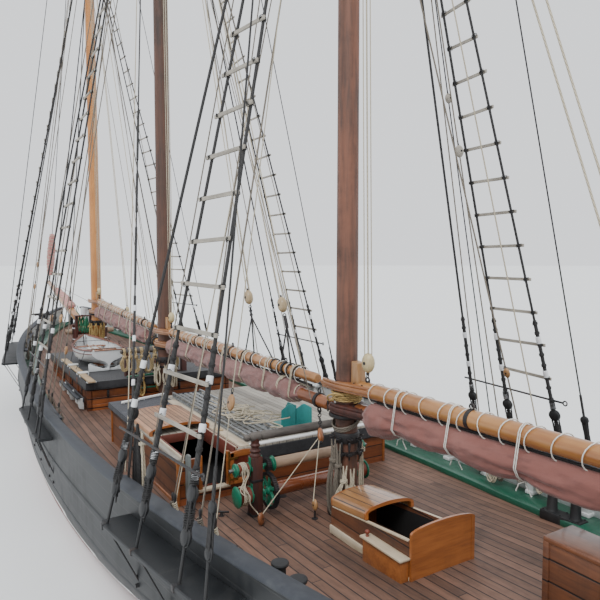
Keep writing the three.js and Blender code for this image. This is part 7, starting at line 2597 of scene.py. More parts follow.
# Places in x and z
rudderPlan = {"x": -13.08, "foot": -2.41, "shoulder": (-13.45, -0.3), "top": -0.15,
              "straps": (-2.0, -1.35, -0.62),
              "aft": ((-14.23, -2.35), (-14.30, -1.9), (-14.27, -1.35), (-14.1, -0.85), (-13.78, -0.5))}


def makeRudder(plan):
    bm = bmesh.new()
    x = plan["x"]
    addTurned(bm, (x, 0, plan["foot"]), (0, 0, 1), ((0.0, 0.0), (0.0, 0.078), (0.02, 0.085), (2.3, 0.085),
                                                    (3.19, 0.083), (3.21, 0.07), (3.21, 0.0)), 24)
    aft = [point.xy for point in smoothLine(plan["aft"], 5)]
    corners = ((x, plan["foot"] + 0.01), *aft, plan["shoulder"], (x, plan["top"]))
    outline = [Vector(spot) for spot in corners]
    count = len(outline)
    middle = Vector((sum(spot.x for spot in outline) / count, sum(spot.y for spot in outline) / count))
    layers = []
    for y, inset in ((-0.06, 0.014), (-0.05, 0.0), (0.05, 0.0), (0.06, 0.014)):
        ring = []
        for spot in outline:
            toward = (middle - spot).normalized() * inset
            ring.append(bm.verts.new((spot.x + toward.x, y, spot.y + toward.y)))
        layers.append(ring)
    for a, b in zip(layers, layers[1:]):
        for i in range(count):
            bm.faces.new((a[i], a[(i + 1) % count], b[(i + 1) % count], b[i]))
    bm.faces.new(layers[0])
    bm.faces.new(layers[-1][::-1])
    for z in plan["straps"]:
        for side in (-1, 1):
            y = side * 0.062
            reach = -13.86 if z < -0.7 else -13.45
            low, high = sorted((y - side * 0.008, y + side * 0.012))
            addBox(bm, (reach, low, z - 0.035), (x - 0.02, high, z + 0.035), 0.005, 1)
        addTurned(bm, (x, 0, z - 0.05), (0, 0, 1), band(0.08, 0.09, 0.1), 22, 1)
    finishPiece("rudderBlade", bm, [bottomRed, bronze], "rudder_body", "hull_paint", ["rudder"])


def makeSteering():
    bm = bmesh.new()
    x0, x1, half, top, hubX, hubZ = -13.28, -12.6, 0.24, 2.751, -13.42, 2.591
    deck = deckAt(-12.95)
    addBox(bm, (x0, -half, deck - 0.06), (x1, half, deck + 0.08), 0.01, 0)
    addBox(bm, (x0 + 0.015, -half + 0.015, deck + 0.05), (x1 - 0.015, half - 0.015, top - 0.05), 0.006, 0)
    for x in (x0 + 0.035, x1 - 0.035):
        for y in (-half + 0.035, half - 0.035):
            addBox(bm, (x - 0.034, y - 0.034, deck + 0.04), (x + 0.034, y + 0.034, top - 0.05), 0.007, 0)
    addBox(bm, (x0, -half, top - 0.055), (x1, half, top - 0.001), 0.014, 0)
    finishPiece("wheelBox", bm, houseSides, slot="varnished_wood", stands=["wheel_box"])
    bm = bmesh.new()
    addTurned(bm, (-13.2, 0, hubZ), (-1, 0, 0), ((-0.08, 0.036), (-0.08, 0.068), (0.19, 0.068), (0.2, 0.06),
                                                 (0.2, 0.036), (-0.08, 0.036)), 24)
    finishPiece("wheelBearing", bm, bronze, slot="bronze")
    bm = bmesh.new()
    centre = Vector((-13.48, 0, hubZ))
    addHoop(bm, centre, (1, 0, 0), 0.34, 0.025, 48, 10, 0)
    addHoop(bm, centre + Vector((-0.018, 0, 0)), (1, 0, 0), 0.34, 0.0085, 48, 6, 1)
    addTurned(bm, (hubX, 0, hubZ), (-1, 0, 0), ((0.0, 0.0), (0.0, 0.06), (0.012, 0.07), (0.108, 0.07),
                                                (0.118, 0.058), (0.12, 0.0)), 26, 0)
    addTurned(bm, (hubX, 0, hubZ), (-1, 0, 0), ((0.112, 0.0), (0.112, 0.04), (0.124, 0.038), (0.128, 0.0)),
              20, 1)
    addRod(bm, (-13.56, 0, hubZ), (-13.02, 0, hubZ), 0.03, segments=16, finish=1)
    spokes = 6
    for step in range(spokes):
        angle = turn * step / spokes
        out = Vector((0, math.sin(angle), math.cos(angle)))
        addTurned(bm, centre + out * 0.055, out, ((0.0, 0.0), (0.0, 0.02), (0.05, 0.017), (0.08, 0.021),
                                                  (0.13, 0.015), (0.19, 0.014), (0.23, 0.019),
                                                 (0.26, 0.016), (0.30, 0.014), (0.315, 0.018), (0.35, 0.019),
                                                 (0.37, 0.016), (0.375, 0.0)), 12, 0)
    finishPiece("steeringWheel", bm, [archVarnish, bronze], "helm", "varnished_wood", ["wheel"], smooth=50)


propellerPlan = {"x": -12.36, "z": -1.25, "pitch": 0.6, "blades": 3}


def makePropeller(plan):
    x, z, pitch, blades = (plan[key] for key in ("x", "z", "pitch", "blades"))
    bm = bmesh.new()
    addTurned(bm, (x - 0.11, 0, z), (1, 0, 0), ((0.0, 0.0), (0.0, 0.05), (0.02, 0.07), (0.12, 0.084),
                                                (0.2, 0.093), (0.238, 0.094), (0.24, 0.0)), 26)
    addTurned(bm, (x, 0, z), (1, 0, 0), drum(0.056, 0.63, 0.1), 18)
    for blade in range(blades):
        start = turn * blade / blades
        out = Vector((0, -math.sin(start), math.cos(start)))
        side = Vector((0, math.cos(start), math.sin(start)))

        def placeAt(u, v, face):
            # An elliptical blade whose pitch eases from root to tip
            r = 0.045 + 0.515 * v
            half = 0.145 * math.sqrt(max(1 - ((r - 0.297) / 0.264) ** 2, 0.0)) if r > 0.07 else 0.08
            half = max(half, 0.075 if r < 0.12 else 0.0)
            s = (u * 2 - 1) * half
            thick = 0.013 * (1 - (u * 2 - 1) ** 2) * (1.1 - 0.8 * v) * face
            ahead = Vector((1, 0, 0)) * math.sin(pitch) + side * math.cos(pitch)
            normal = Vector((1, 0, 0)) * math.cos(pitch) - side * math.sin(pitch)
            return Vector((x, 0, z)) + out * r + ahead * s + normal * thick

        front = addSkin(bm, 10, 14, lambda u, v: placeAt(u, v, 1))
        back = addSkin(bm, 10, 14, lambda u, v: placeAt(u, v, -1))
        bmesh.ops.remove_doubles(bm, verts=front + back, dist=2e-4)
    finishPiece("screwPropeller", bm, bronze, "propeller_body", "bronze", ["propeller"])


for side in (1, -1):
    makeBitts(bittsPlan, side)
    makeAnchor(anchorPlan, side)
makeWindlass(windlassPlan)
makeRudder(rudderPlan)
makeSteering()
makePropeller(propellerPlan)
print("companion, bitts, anchors, windlass and steering made")

# Running rigging: lines that stand from the pin rails to the mast heads
standing = {
    # foot x and y, the mast, the height of the head there, radius, and what the line is made of
    "mizzenPort": [(-8.20, 3.12, "mizzen", 17.43, 0.010, ropeGrey),
                   (-9.06, 3.23, "mizzen", 14.2, 0.008, ropeGrey),
                   (-9.12, 3.16, "mizzen", 14.75, 0.007, hempPale),
                   (-9.53, 3.12, "mizzen", 17.5, 0.008, ropeGrey),
                   (-9.78, 3.15, "mizzen", 14.6, 0.012, ropeGrey),
                   (-10.13, 3.01, "mizzen", 16.0, 0.007, hempPale)],
    "mizzenStarboard": [(-9.14, -2.8, "mizzen", 17.7, 0.011, ropeGrey),
                        (-9.61, -2.57, "mizzen", 17.1, 0.010, ropeTar),
                        (-9.71, -2.66, "mizzen", 16.5, 0.011, ropeGrey),
                        (-10.08, -2.95, "mizzen", 13.1, 0.013, ropeGrey),
                        (-10.46, -2.8, "mizzen", 15.8, 0.011, hempPale)],
    "mainPort": [(2.14, 3.30, "main", 21.0, 0.013, ropeGrey), (0.52, 3.2, "main", 20.6, 0.013, ropeGrey),
                 (-0.9, 3.22, "main", 18.7, 0.013, ropeGrey),
                 (-1.3, 3.2, "main", 17.6, 0.012, ropeGrey), (-2.4, 3.22, "main", 20.9, 0.012, ropeGrey)],
    "mainStarboard": [(0.3, -3.2, "main", 20.6, 0.013, ropeGrey), (-0.9, -3.2, "main", 18.2, 0.013, ropeGrey),
                      (-1.9, -3.2, "main", 20.2, 0.012, ropeGrey),
                      (-2.5, -3.2, "main", 17.5, 0.012, ropeGrey)],
    "forePort": [(9.25, 2.75, "fore", 20.0, 0.013, ropeGrey), (8.3, 2.9, "fore", 19.2, 0.013, ropeGrey),
                 (7.1, 3.0, "fore", 17.4, 0.013, ropeGrey),
                 (6.6, 3.05, "fore", 20.1, 0.012, ropeGrey)],
    "foreStarboard": [(8.9, -2.8, "fore", 19.8, 0.013, ropeGrey), (7.8, -2.95, "fore", 18.2, 0.013, ropeGrey),
                      (6.8, -3.0, "fore", 20.0, 0.012, ropeGrey)],
}


def lineFoot(x, y):
    # Where the measured line comes down to the pin just inside the rail
    side = 1 if y > 0 else -1
    return Vector((x, side * min(abs(y), breadthAt(x) - 0.24), railTop(x) - 0.02))


def makeStanding():
    groups = {}
    for rows in standing.values():
        for x, y, mastName, headZ, radius, material in rows:
            mast = masts[mastName]
            side = 1 if y > 0 else -1
            foot = lineFoot(x, y)
            headZ = min(headZ, mast["head"] - 0.3)
            head = Vector((mast["x"], side * (poleRadius(mast, headZ) + 0.05), headZ))
            middle = foot.lerp(head, 0.5) - Vector((0, 0, 0.03))
            groups.setdefault((mastName, material.name), (material, []))[1].append(([foot, middle, head],
                    radius))
    for (mastName, materialName), (material, rows) in groups.items():
        tag = mastName.capitalize() + materialName[0].upper() + materialName[1:]
        ropes("halyards" + tag, [row[0] for row in rows], 0.008, material, radii=[row[1] for row in rows])


def acrossLine(way, turned):
    # The chain's links lie in turn in one plane and in the other
    return way.cross(way.orthogonal()) if turned else way.orthogonal()


def addShackleBlock(bm, at, way, length, finish, sheaves=1, face=None):
    addBlock(bm, at, way, length, finish, sheaves, face)
    at, way = Vector(at), Vector(way).normalized()
    addHoop(bm, at + way * length * 0.72, way.orthogonal(), length * 0.12, length * 0.035, 12, 5, finish + 1)


def makeHangingBlocks():
    # Blocks aloft and at the rail, each on its own line
    bm = bmesh.new()

    def onLine(x, y, mastName, headZ, z):
        mast = masts[mastName]
        foot = lineFoot(x, y)
        head = Vector((mast["x"], (1 if y > 0 else -1) * (poleRadius(mast, headZ) + 0.05), headZ))
        return foot.lerp(head, (z - foot.z) / (head.z - foot.z)), (head - foot).normalized()
    for row, z, length in (((-9.61, -2.57, "mizzen", 17.1), 8.1, 0.16),
                           ((-9.71, -2.66, "mizzen", 16.5), 7.27, 0.2)):
        at, way = onLine(*row, z)
        addShackleBlock(bm, at, way, length, 2, 2, (1, 0, 0))
    for row, z, length in (((-10.13, 3.01, "mizzen", 16.0), 3.85, 0.2),
                           ((-10.08, -2.95, "mizzen", 13.1), 3.7, 0.17),
                           ((-0.9, 3.22, "main", 18.7), 4.1, 0.22), ((0.52, 3.2, "main", 20.6), 4.0, 0.22),
                           ((-2.4, 3.22, "main", 20.9), 3.5, 0.2),
                           ((8.3, 2.9, "fore", 19.2), 5.4, 0.24),
                           ((7.1, 3.0, "fore", 17.4), 4.6, 0.22), ((7.8, -2.95, "fore", 18.2), 4.9, 0.22)):
        at, way = onLine(*row, z)
        addShackleBlock(bm, at, way, length, 0, 1, (0, 1, 0))
    for mast in masts.values():
        for z, off in ((mast["hounds"] - 0.55, 0.0), (mast["hounds"] - 0.9, 0.06)):
            for side in (1, -1):
                addShackleBlock(bm, (mast["x"] + 0.1 + off, side * (poleRadius(mast, z) + 0.14), z),
                                (0, -side * 0.3, 1), 0.24, 0, 1, (1, 0, 0))
    finishPiece("hangingBlocks", bm, [blockTan, ironBlack, battenGrey, ironBlack], slot="varnished_wood")


# The peak halyard's blocks: place along the gaff, height above it, the strop's radius, and where
# the legs are made fast
peakBridles = {
    "main": ((-5.6, 1.25, 0.02, (-5.33, -5.75, -6.6)), (-7.03, 1.2, 0.034, (-6.84, -7.2, -7.45))),
}


def makePeakBridles(name, mast, onGaff, topAt):
    bm = bmesh.new()
    legs, falls = [], []
    for x, height, strop, feet in peakBridles.get(name, ()):
        knot = onGaff(mast["x"] - x) + Vector((0, 0, height - 0.42))
        way = (topAt(1) - knot).normalized()
        centre = knot + way * 0.42
        addBlock(bm, centre, way, 0.3, 0, 2, (0, 1, 0))
        addRod(bm, knot - way * 0.03, knot + way * 0.2, strop, segments=10, finish=1)
        for k in range(5):
            addHoop(bm, knot + way * (0.05 + 0.042 * k), acrossLine(way, k % 2 == 0), 0.028, 0.009, 12, 6, 1)
        for foot in feet:
            spot = onGaff(mast["x"] - foot)
            legs.append([knot, spot + Vector((0, 0.02, 0.05))])
            addHoop(bm, spot, (1, 0, -mast["rise"]), 0.118, 0.014, 24, 6, 1)
        for dy in (-0.035, 0.035):
            falls.append([centre + Vector((0, dy, 0.05)), topAt(1) + Vector((0, dy, 0))])
    if legs:
        ropes("peakLegs" + name.capitalize(), legs, 0.016, ropeTar, name + "_boom")
        finishPiece("peakBlocks" + name.capitalize(), bm, [blockAsh, ironBlack], name + "_boom",
                    "varnished_wood")
    return falls


def throatTackle(name, mast):
    # The throat halyard's tackle abaft the mast, and the peak halyard's spans to the gaff
    body = name + "_boom"
    inner = poleRadius(mast, mast["gaffZ"]) + 0.014
    low = Vector((mast["x"] - inner - 0.34, 0, mast["gaffZ"] + 0.15))
    high = Vector((mast["x"] - poleRadius(mast, mast["hounds"]) - 0.16, 0, mast["hounds"] - 0.7))
    centre = low + Vector((-0.01, 0, 0.26))
    bm = bmesh.new()
    addBlock(bm, centre, (0.02, 0, -1), 0.30, 0, 2, (0, 1, 0))
    for k in range(3):
        addHoop(bm, low + Vector((0, 0, 0.01 + 0.045 * k)), (0, 1, 0) if k % 2 else (1, 0, 0), 0.026, 0.008,
                12, 6, 1)
    addBlock(bm, high, (0, 0, 1), 0.32, 0, 2, (0, 1, 0))
    addRod(bm, high + Vector((0, 0, 0.14)), high + Vector((0.12, 0, 0.2)), 0.016, segments=8, finish=1)
    start = Vector((mast["x"] - poleRadius(mast, mast["gaffZ"]) - 0.054, 0, mast["gaffZ"]))

    def onGaff(reach):
        x = mast["x"] - reach
        return Vector((x, 0, start.z + mast["rise"] * (start.x - x)))
    spans = (mast["gaffReach"] * 0.60, mast["gaffReach"] * 0.62, mast["gaffReach"] * 0.93)
    lines = []
    for dy, dx in ((-0.05, -0.02), (-0.018, 0.03), (0.02, -0.03), (0.052, 0.02)):
        lines.append([centre + Vector((dx, dy, 0.12)), high + Vector((dx, dy * 0.9, -0.12))])
    ropes("throatFalls" + name.capitalize(), lines, 0.0085, hempPale, body)

    def topAt(index):
        z = mast["hounds"] + 0.55 + 0.35 * index
        return Vector((mast["x"] - poleRadius(mast, z) - 0.06, 0.0, z))

    lines = makePeakBridles(name, mast, onGaff, topAt)
    # The inner two spans end in blocks, unless bridles carry them, and the outer one in the gaff's eye
    for index, reach in enumerate(spans):
        if index < 2 and name in peakBridles:
            continue
        top, foot = topAt(index), onGaff(reach) + Vector((0, 0, 0.2))
        lines.append([top, foot])
        if index < 2:
            addShackleBlock(bm, foot, top - foot, 0.17, 0, 1, (0, 1, 0))
    ropes("peakFalls" + name.capitalize(), lines, 0.0115, hempPale, body)
    finishPiece("gaffBlocks" + name.capitalize(), bm, [blockCream, ironBlack], body, "varnished_wood")
    # A topping lift each side from the mast head to the boom's end
    lines = []
    boomEnd = Vector((mast["x"] - mast["boomReach"] + 0.34, 0,
                      mast["boomZ"] + mast["rise"] * (mast["boomReach"] - 0.34)))
    for side in (1, -1):
        top = Vector((mast["x"] - 0.02, side * (poleRadius(mast, mast["hounds"]) + 0.07),
                      mast["hounds"] + 0.2))
        lines.append([top, boomEnd + Vector((0.02, side * 0.14, 0.02))])
    ropes("toppingLifts" + name.capitalize(), lines, 0.009, ropeGrey, body)


def sheetTackle(name, mast, deckPoint, lean, falls):
    # The boom's sheet: a block under the boom, one at the deck, and falls between the two
    body = name + "_boom"
    inboard = mast["x"] - poleRadius(mast, mast["boomZ"]) - 0.135
    ring = Vector((mast["x"] - mast["boomReach"] + 0.32, 0, 0))
    ring.z = mast["boomZ"] + mast["rise"] * (inboard - ring.x) - 0.2
    upper = ring + Vector(lean)
    deckPoint = Vector((*deckPoint, deckAt(deckPoint[0])))
    lower = deckPoint + Vector((0, 0, 0.22))
    way = (upper - ring).normalized()
    bm = bmesh.new()
    addBlock(bm, upper, way, 0.26, 0, 1, (1, 0.6, 0) if name == "main" else (0, 1, 0))
    count = max(int((upper - ring).length / 0.06) - 1, 2)
    for k in range(count):
        link = ring.lerp(upper - way * 0.11, k / (count - 1))
        addHoop(bm, link, acrossLine(way, k % 2 == 0), 0.03, 0.009, 12, 6, 1)
    finishPiece("sheetBlock" + name.capitalize(), bm, [blockBrown, ironBlack], body, "varnished_wood")
    bm = bmesh.new()
    addBlock(bm, lower, (0, 0, -1), 0.18, 0, 1, (0, 1, 0))
    addTurned(bm, deckPoint - Vector((0, 0, 0.01)), (0, 0, 1),
              ((0.0, 0.0), (0.0, 0.05), (0.02, 0.05), (0.03, 0.018), (0.12, 0.015), (0.12, 0.0)), 14, 1)
    finishPiece("sheetLead" + name.capitalize(), bm, [blockTan, ironBlack], slot="varnished_wood")
    lines = []
    for k in range(falls):
        off = Vector((0.04 * (k - (falls - 1) / 2), 0.03 * (-1) ** k, 0))
        a, b = lower + off + Vector((0, 0, 0.06)), upper + off + way * 0.06
        lines.append([a.lerp(b, i / 24) for i in range(25)])
    return lines, (lower, upper), body


sheets = {
    "fore": ((1.05, 0.0), (0.02, 0.0, -0.4), 3),
    "main": ((-8.87, 0.57), (-0.33, 0.19, -0.28), 1),
    "mizzen": ((-14.95, 0.0), (0.02, 0.0, -0.3), 3),
}


def makeSheets():
    for name, (deckPoint, lean, falls) in sheets.items():
        lines, (lower, upper), body = sheetTackle(name, masts[name], deckPoint, lean, falls)
        if name == "main":
            lead = Vector((winchPlan["x"] - 0.42, 1.36, deckAt(winchPlan["x"]) + 0.17))
            lines.append([lead.lerp(upper + Vector((0.02, 0.03, -0.05)), i / 24) for i in range(25)])
        ropes("sheetFalls" + name.capitalize(), lines, 0.0085, hempPale,
              ("ship", body, tuple(lower), tuple(upper)))


makeStanding()
makeHangingBlocks()
for mastName, mastRow in masts.items():
    throatTackle(mastName, mastRow)
makeSheets()
print("running rigging made")

# The second winch frame before the main mast, pins, hanks, coils and piles of rope
fifePlan = {"x": 0.6, "z": 2.93, "ends": (-0.95, 1.1), "posts": (-0.78, 0.9)}


def hankLoops(at, length, width, strands, side=(0, 1, 0), tie=0.22, lean=(0, 0, 0)):
    # A hank on its pin: long loops drawn together under the pin by a few turns
    side = Vector(side).normalized()
    out = side.cross(Vector((0, 0, 1)))
    at, lean = Vector(at), Vector(lean)
    lines = []
    while len(lines) < strands:
        wide, long = width * draw.uniform(0.45, 1.0) / 2, length * draw.uniform(0.86, 1.0)
        off = out * draw.uniform(-0.03, 0.03)
        pinch = side * draw.uniform(-0.014, 0.014)
        sway = side * draw.uniform(-0.02, 0.02)
        marks = ((-0.03, 0.0, 0.0), (-0.016, tie, 0.6), (-wide, 0.55, 1.0), (-wide * 0.8, 0.88, 1.0),
                 (0.0, 1.0, 1.0), (wide * 0.8, 0.9, 1.0),
                 (wide, 0.58, 1.0), (0.016, tie, 0.6), (0.03, 0.0, 0.0))
        lines.append(smoothLine([at + side * across + pinch * loose + (off + sway) * loose + lean * down
                                 - Vector((0, 0, long * down))
                                 for across, down, loose in marks], 4))
    knot = windings(at + lean * tie - Vector((0, 0, length * tie)), (0, 0, 1), 0.036 + 0.002 * strands, 3.5,
                    0.045, 12, draw.uniform(0, 3))
    return lines + [knot]


def pinAt(bm, at, finish=0):
    # A belaying pin: a turned handle over the rail and its tail below
    addTurned(bm, Vector(at) - Vector((0, 0, 0.17)), (0, 0, 1),
              ((0.0, 0.0), (0.0, 0.009), (0.02, 0.012), (0.17, 0.013), (0.178, 0.02), (0.19, 0.016),
               (0.23, 0.022),
                                                               (0.27, 0.019), (0.285, 0.01), (0.29, 0.0)), 10,
                                                               finish)


def makeFife(plan):
    x, z = plan["x"], plan["z"]
    bm = bmesh.new()
    low, high = plan["ends"]
    addTurned(bm, (x, low, z), (0, 1, 0), ((0.0, 0.0), (0.004, 0.04), (0.03, 0.058), (0.07, 0.05),
                                           (0.085, 0.038), (0.1, 0.066), (0.13, 0.074),
                                           (high - low - 0.13, 0.074), (high - low - 0.1, 0.066),
                                           (high - low - 0.085, 0.038), (high - low - 0.07, 0.05),
                                           (high - low - 0.03, 0.058), (high - low - 0.004, 0.04),
                                           (high - low, 0.0)), 22, 0)
    finishPiece("mainFifeBeam", bm, beamGrey, slot="red_brown_wood")
    bm = bmesh.new()
    for y in plan["posts"]:
        addBox(bm, (x - 0.08, y - 0.08, 1.42), (x + 0.08, y + 0.08, z - 0.3), 0.012)
        addTurned(bm, (x, y, z - 0.31), (0, 0, 1), ((0.0, 0.0), (0.0, 0.075), (0.03, 0.08), (0.06, 0.062),
                                                    (0.1, 0.06), (0.12, 0.072), (0.15, 0.06), (0.27, 0.062),
                                                    (0.27, 0.0)), 18)
    addBox(bm, (x - 0.05, plan["posts"][0], 2.2), (x + 0.05, plan["posts"][1], 2.26), 0.01)
    finishPiece("mainFifePosts", bm, postRed, slot="red_brown_wood")
    bm = bmesh.new()
    for y in (-0.6, -0.35, -0.1, 0.15, 0.4, 0.65):
        pinAt(bm, (x, y, 2.27))
    finishPiece("mainFifePins", bm, ironBlack, slot="black_iron")
    lines, dark = [], []
    for y, width, strands in ((1.0, 0.24, 11), (0.84, 0.2, 10), (0.68, 0.24, 11), (0.5, 0.22, 10),
                              (0.32, 0.26, 11), (0.12, 0.22, 10), (-0.08, 0.24, 10),
                              (-0.28, 0.22, 9), (-0.48, 0.22, 9)):
        lines += hankLoops((x - 0.1, y, z - 0.02), draw.uniform(0.5, 0.66), width, strands, (0.15, 1, 0))
        lines.append(windings((x, y, z), (0, 1, 0), 0.088, 3.5, 0.07, 12, draw.uniform(0, 3)))
    for y in (0.6, 0.15, -0.3):
        dark += hankLoops((x - 0.09, y, 2.3), 0.5, 0.18, 6, (0.1, 1, 0))
    ropes("mainFifeHanks", lines, 0.0135, hempTan, sides=3)
    ropes("mainFifeHanksLow", dark, 0.011, hempPale, sides=3)


def makeMastHanks():
    # On the mizzen mast, below its band
    mastX = masts["mizzen"]["x"]
    bm = bmesh.new()
    addTurned(bm, (mastX, 0, 2.52), (0, 0, 1), band(0.175, 0.2, 0.05), 26, 0)
    for angle in (95, 125, 155, 205, 240, 268):
        a = math.radians(angle)
        spot = Vector((mastX + 0.225 * math.cos(a), 0.225 * math.sin(a), 2.62))
        addBox(bm, spot - Vector((0.035, 0.035, 0.1)), spot - Vector((-0.035, -0.035, 0.05)), 0.006, 0)
        pinAt(bm, spot, 0)
    finishPiece("mizzenPins", bm, ironBlack, slot="black_iron")
    grey = hankLoops((-8.93, 0.27, 2.78), 1.25, 0.17, 11, (0.6, 1, 0), 0.26)
    grey += hankLoops((-9.02, 0.24, 2.72), 1.12, 0.13, 6, (0.5, 1, 0), 0.3)
    pale = hankLoops((-9.13, 0.19, 2.40), 0.76, 0.22, 8, (0.3, 1, 0), 0.3, (-0.05, 0.12, 0))
    pale += hankLoops((-9.15, 0.07, 2.34), 0.72, 0.2, 8, (0.3, 1, 0), 0.4, (-0.04, 0.04, 0))
    pale += hankLoops((-8.99, -0.23, 2.66), 0.9, 0.11, 6, (-0.6, 1, 0), 0.12)
    ropes("mizzenHanksGrey", grey, 0.0105, ropeGrey, sides=3)
    ropes("mizzenHanksPale", pale, 0.010, hempPale, sides=3)
    coil = windings((mastX, 0, 3.425), (0, 0, 1), 0.225, 5.2, 0.15, 26, 2.2, wander=0.012)
    loop = smoothLine([(-9.06, 0.17, 3.46), (-9.0, 0.29, 3.5), (-8.86, 0.33, 3.44), (-8.8, 0.27, 3.36),
                       (-8.9, 0.235, 3.38)], 6)
    ropes("mizzenCoil", [coil, loop], 0.014, manila, "mizzen_boom", sides=4)
    loops = []
    for k in range(3):
        ring = []
        for i in range(37):
            a = turn * i / 36
            ring.append(Vector((mastX + (0.205 + 0.01 * k) * math.cos(a), (0.205 + 0.01 * k) * math.sin(a),
                                2.99 + 0.028 * k - 0.1 * math.sin(a) + 0.02 * math.cos(a))))
        loops.append(ring)
    ropes("mizzenLoops", loops, 0.013, ropeGrey, sides=4)
    # Main and fore masts carry theirs on a band as well
    for name, height in (("main", 2.62), ("fore", 3.0)):
        mast = masts[name]
        r = poleRadius(mast, height)
        bm = bmesh.new()
        addTurned(bm, (mast["x"], 0, height - 0.1), (0, 0, 1), band(r - 0.005, r + 0.025, 0.05), 26, 0)
        lines = []
        for angle in (80, 120, 160, 200, 240, 285):
            a = math.radians(angle)
            way = Vector((math.cos(a), math.sin(a), 0))
            spot = Vector((mast["x"], 0, height)) + way * (r + 0.05)
            pinAt(bm, spot, 0)
            lines += hankLoops(spot + way * 0.03, draw.uniform(0.5, 0.75), 0.15, 6, (-way.y, way.x, 0))
        finishPiece(name + "MastPins", bm, ironBlack, slot="black_iron")
        ropes(name + "MastHanks", lines, 0.011, hempPale if name == "main" else manila, sides=3)


def makeRailPins():
    # Pin rails inside the bulwarks, their pins, and the hank under each
    for side, tag, spans in ((1, "Port", ((-10.5, -7.3), (-2.9, 2.4), (6.2, 9.5))),
                             (-1, "Starboard", ((-10.9, -8.6), (-3.0, 0.7), (6.4, 9.2)))):
        bm = bmesh.new()
        for low, high in spans:
            sideStrip(bm, side, low, high, 0.5, lambda x: roundedSection(breadthAt(x) - 0.30,
                    breadthAt(x) - 0.11, deckAt(x) + 0.68, deckAt(x) + 0.735, 0.012))
        finishPiece("pinRail" + tag, bm, postWhite if side < 0 else railGrey, slot="white_paint", smooth=50)
        bm = bmesh.new()
        pale, grey = [], []
        for name, rows in standing.items():
            if not name.endswith(tag):
                continue
            for index, row in enumerate(rows):
                foot = lineFoot(*row[:2])
                pinAt(bm, foot + Vector((0, 0, 0.03)), 0)
                pile = grey if row[-1] is ropeGrey else pale
                inner = foot + Vector((0, -side * 0.045, -0.1))
                pile += hankLoops(inner, draw.uniform(0.42, 0.58), 0.17, 7, (1, 0, 0))
                pile.append(windings(foot - Vector((0, 0, 0.02)), (0, 0.2 * side, 1), 0.026, 4.5, 0.12, 10,
                                     index))
        finishPiece("pins" + tag, bm, ironBlack, slot="black_iron")
        ropes("railHanks" + tag, pale, 0.0105, hempPale, sides=3)
        ropes("railHanksGrey" + tag, grey, 0.0105, ropeGrey, sides=3)


def makeRunner():
    # The main mast's served runner on the port side, with the tackle and black bundle at its foot
    head = Vector((-0.1, 0.25, 20.7))
    low = Vector((-7.51, 2.95, 3.4))
    foot = Vector((-7.42, 3.02, deckAt(-7.42) + 0.6))
    ropes("runnerWire", [[head, head.lerp(low, 0.5), low]], 0.013, ropeTar, sides=4)
    served = [[head.lerp(low, a), head.lerp(low, (a + b) / 2), head.lerp(low, b)] for a,
              b in ((0.72, 0.775), (0.79, 0.83), (0.845, 0.9), (0.91, 0.955), (0.965, 1.0))]
    ropes("runnerServing", served, 0.021, ropeTar, sides=4)
    ropes("runnerStrand", [[head + Vector((0.05, 0.06, 0)), low + Vector((0.02, 0.07, -0.2)),
                            foot + Vector((0.05, 0.03, 0.2))]], 0.0085, hempPale)
    bm = bmesh.new()
    way = (head - low).normalized()
    for d in (0.25, 0.95, 1.45):
        addTurned(bm, low + way * d, way, ((0.0, 0.012), (0.0, 0.024), (0.012, 0.028), (0.09, 0.027),
                                           (0.1, 0.012), (0.0, 0.012)), 14)
    finishPiece("runnerBands", bm, whiteBand, slot="white_paint")
    bm = bmesh.new()
    addShackleBlock(bm, low - Vector((0, 0, 0.16)), (0, 0, 1), 0.24, 0, 2, (1, 0, 0))
    addShackleBlock(bm, foot, (0, 0, -1), 0.2, 0, 1, (1, 0, 0))
    finishPiece("runnerBlocks", bm, [tarBlack, ironBlack], slot="tarred_rigging")
    falls = [[low + Vector((dx, 0, -0.2)), foot + Vector((dx * 0.6, 0, 0.08))] for dx in (-0.05, 0.0, 0.05)]
    black = hankLoops(low - Vector((0.02, 0.06, 0.34)), 1.5, 0.2, 12, (1, 0, 0),
                      0.12) + hankLoops(low - Vector((-0.08, 0.05, 0.5)), 1.2, 0.16, 8, (1, 0, 0), 0.2)
    ropes("runnerFalls", falls, 0.009, ropeTar)
    ropes("runnerBundle", black, 0.012, ropeTar, sides=3)
    ropes("runnerBundlePale", hankLoops(low - Vector((0.1, 0.1, 0.45)), 1.1, 0.16, 5, (1, 0, 0), 0.16),
          0.0105, hempPale, sides=3)


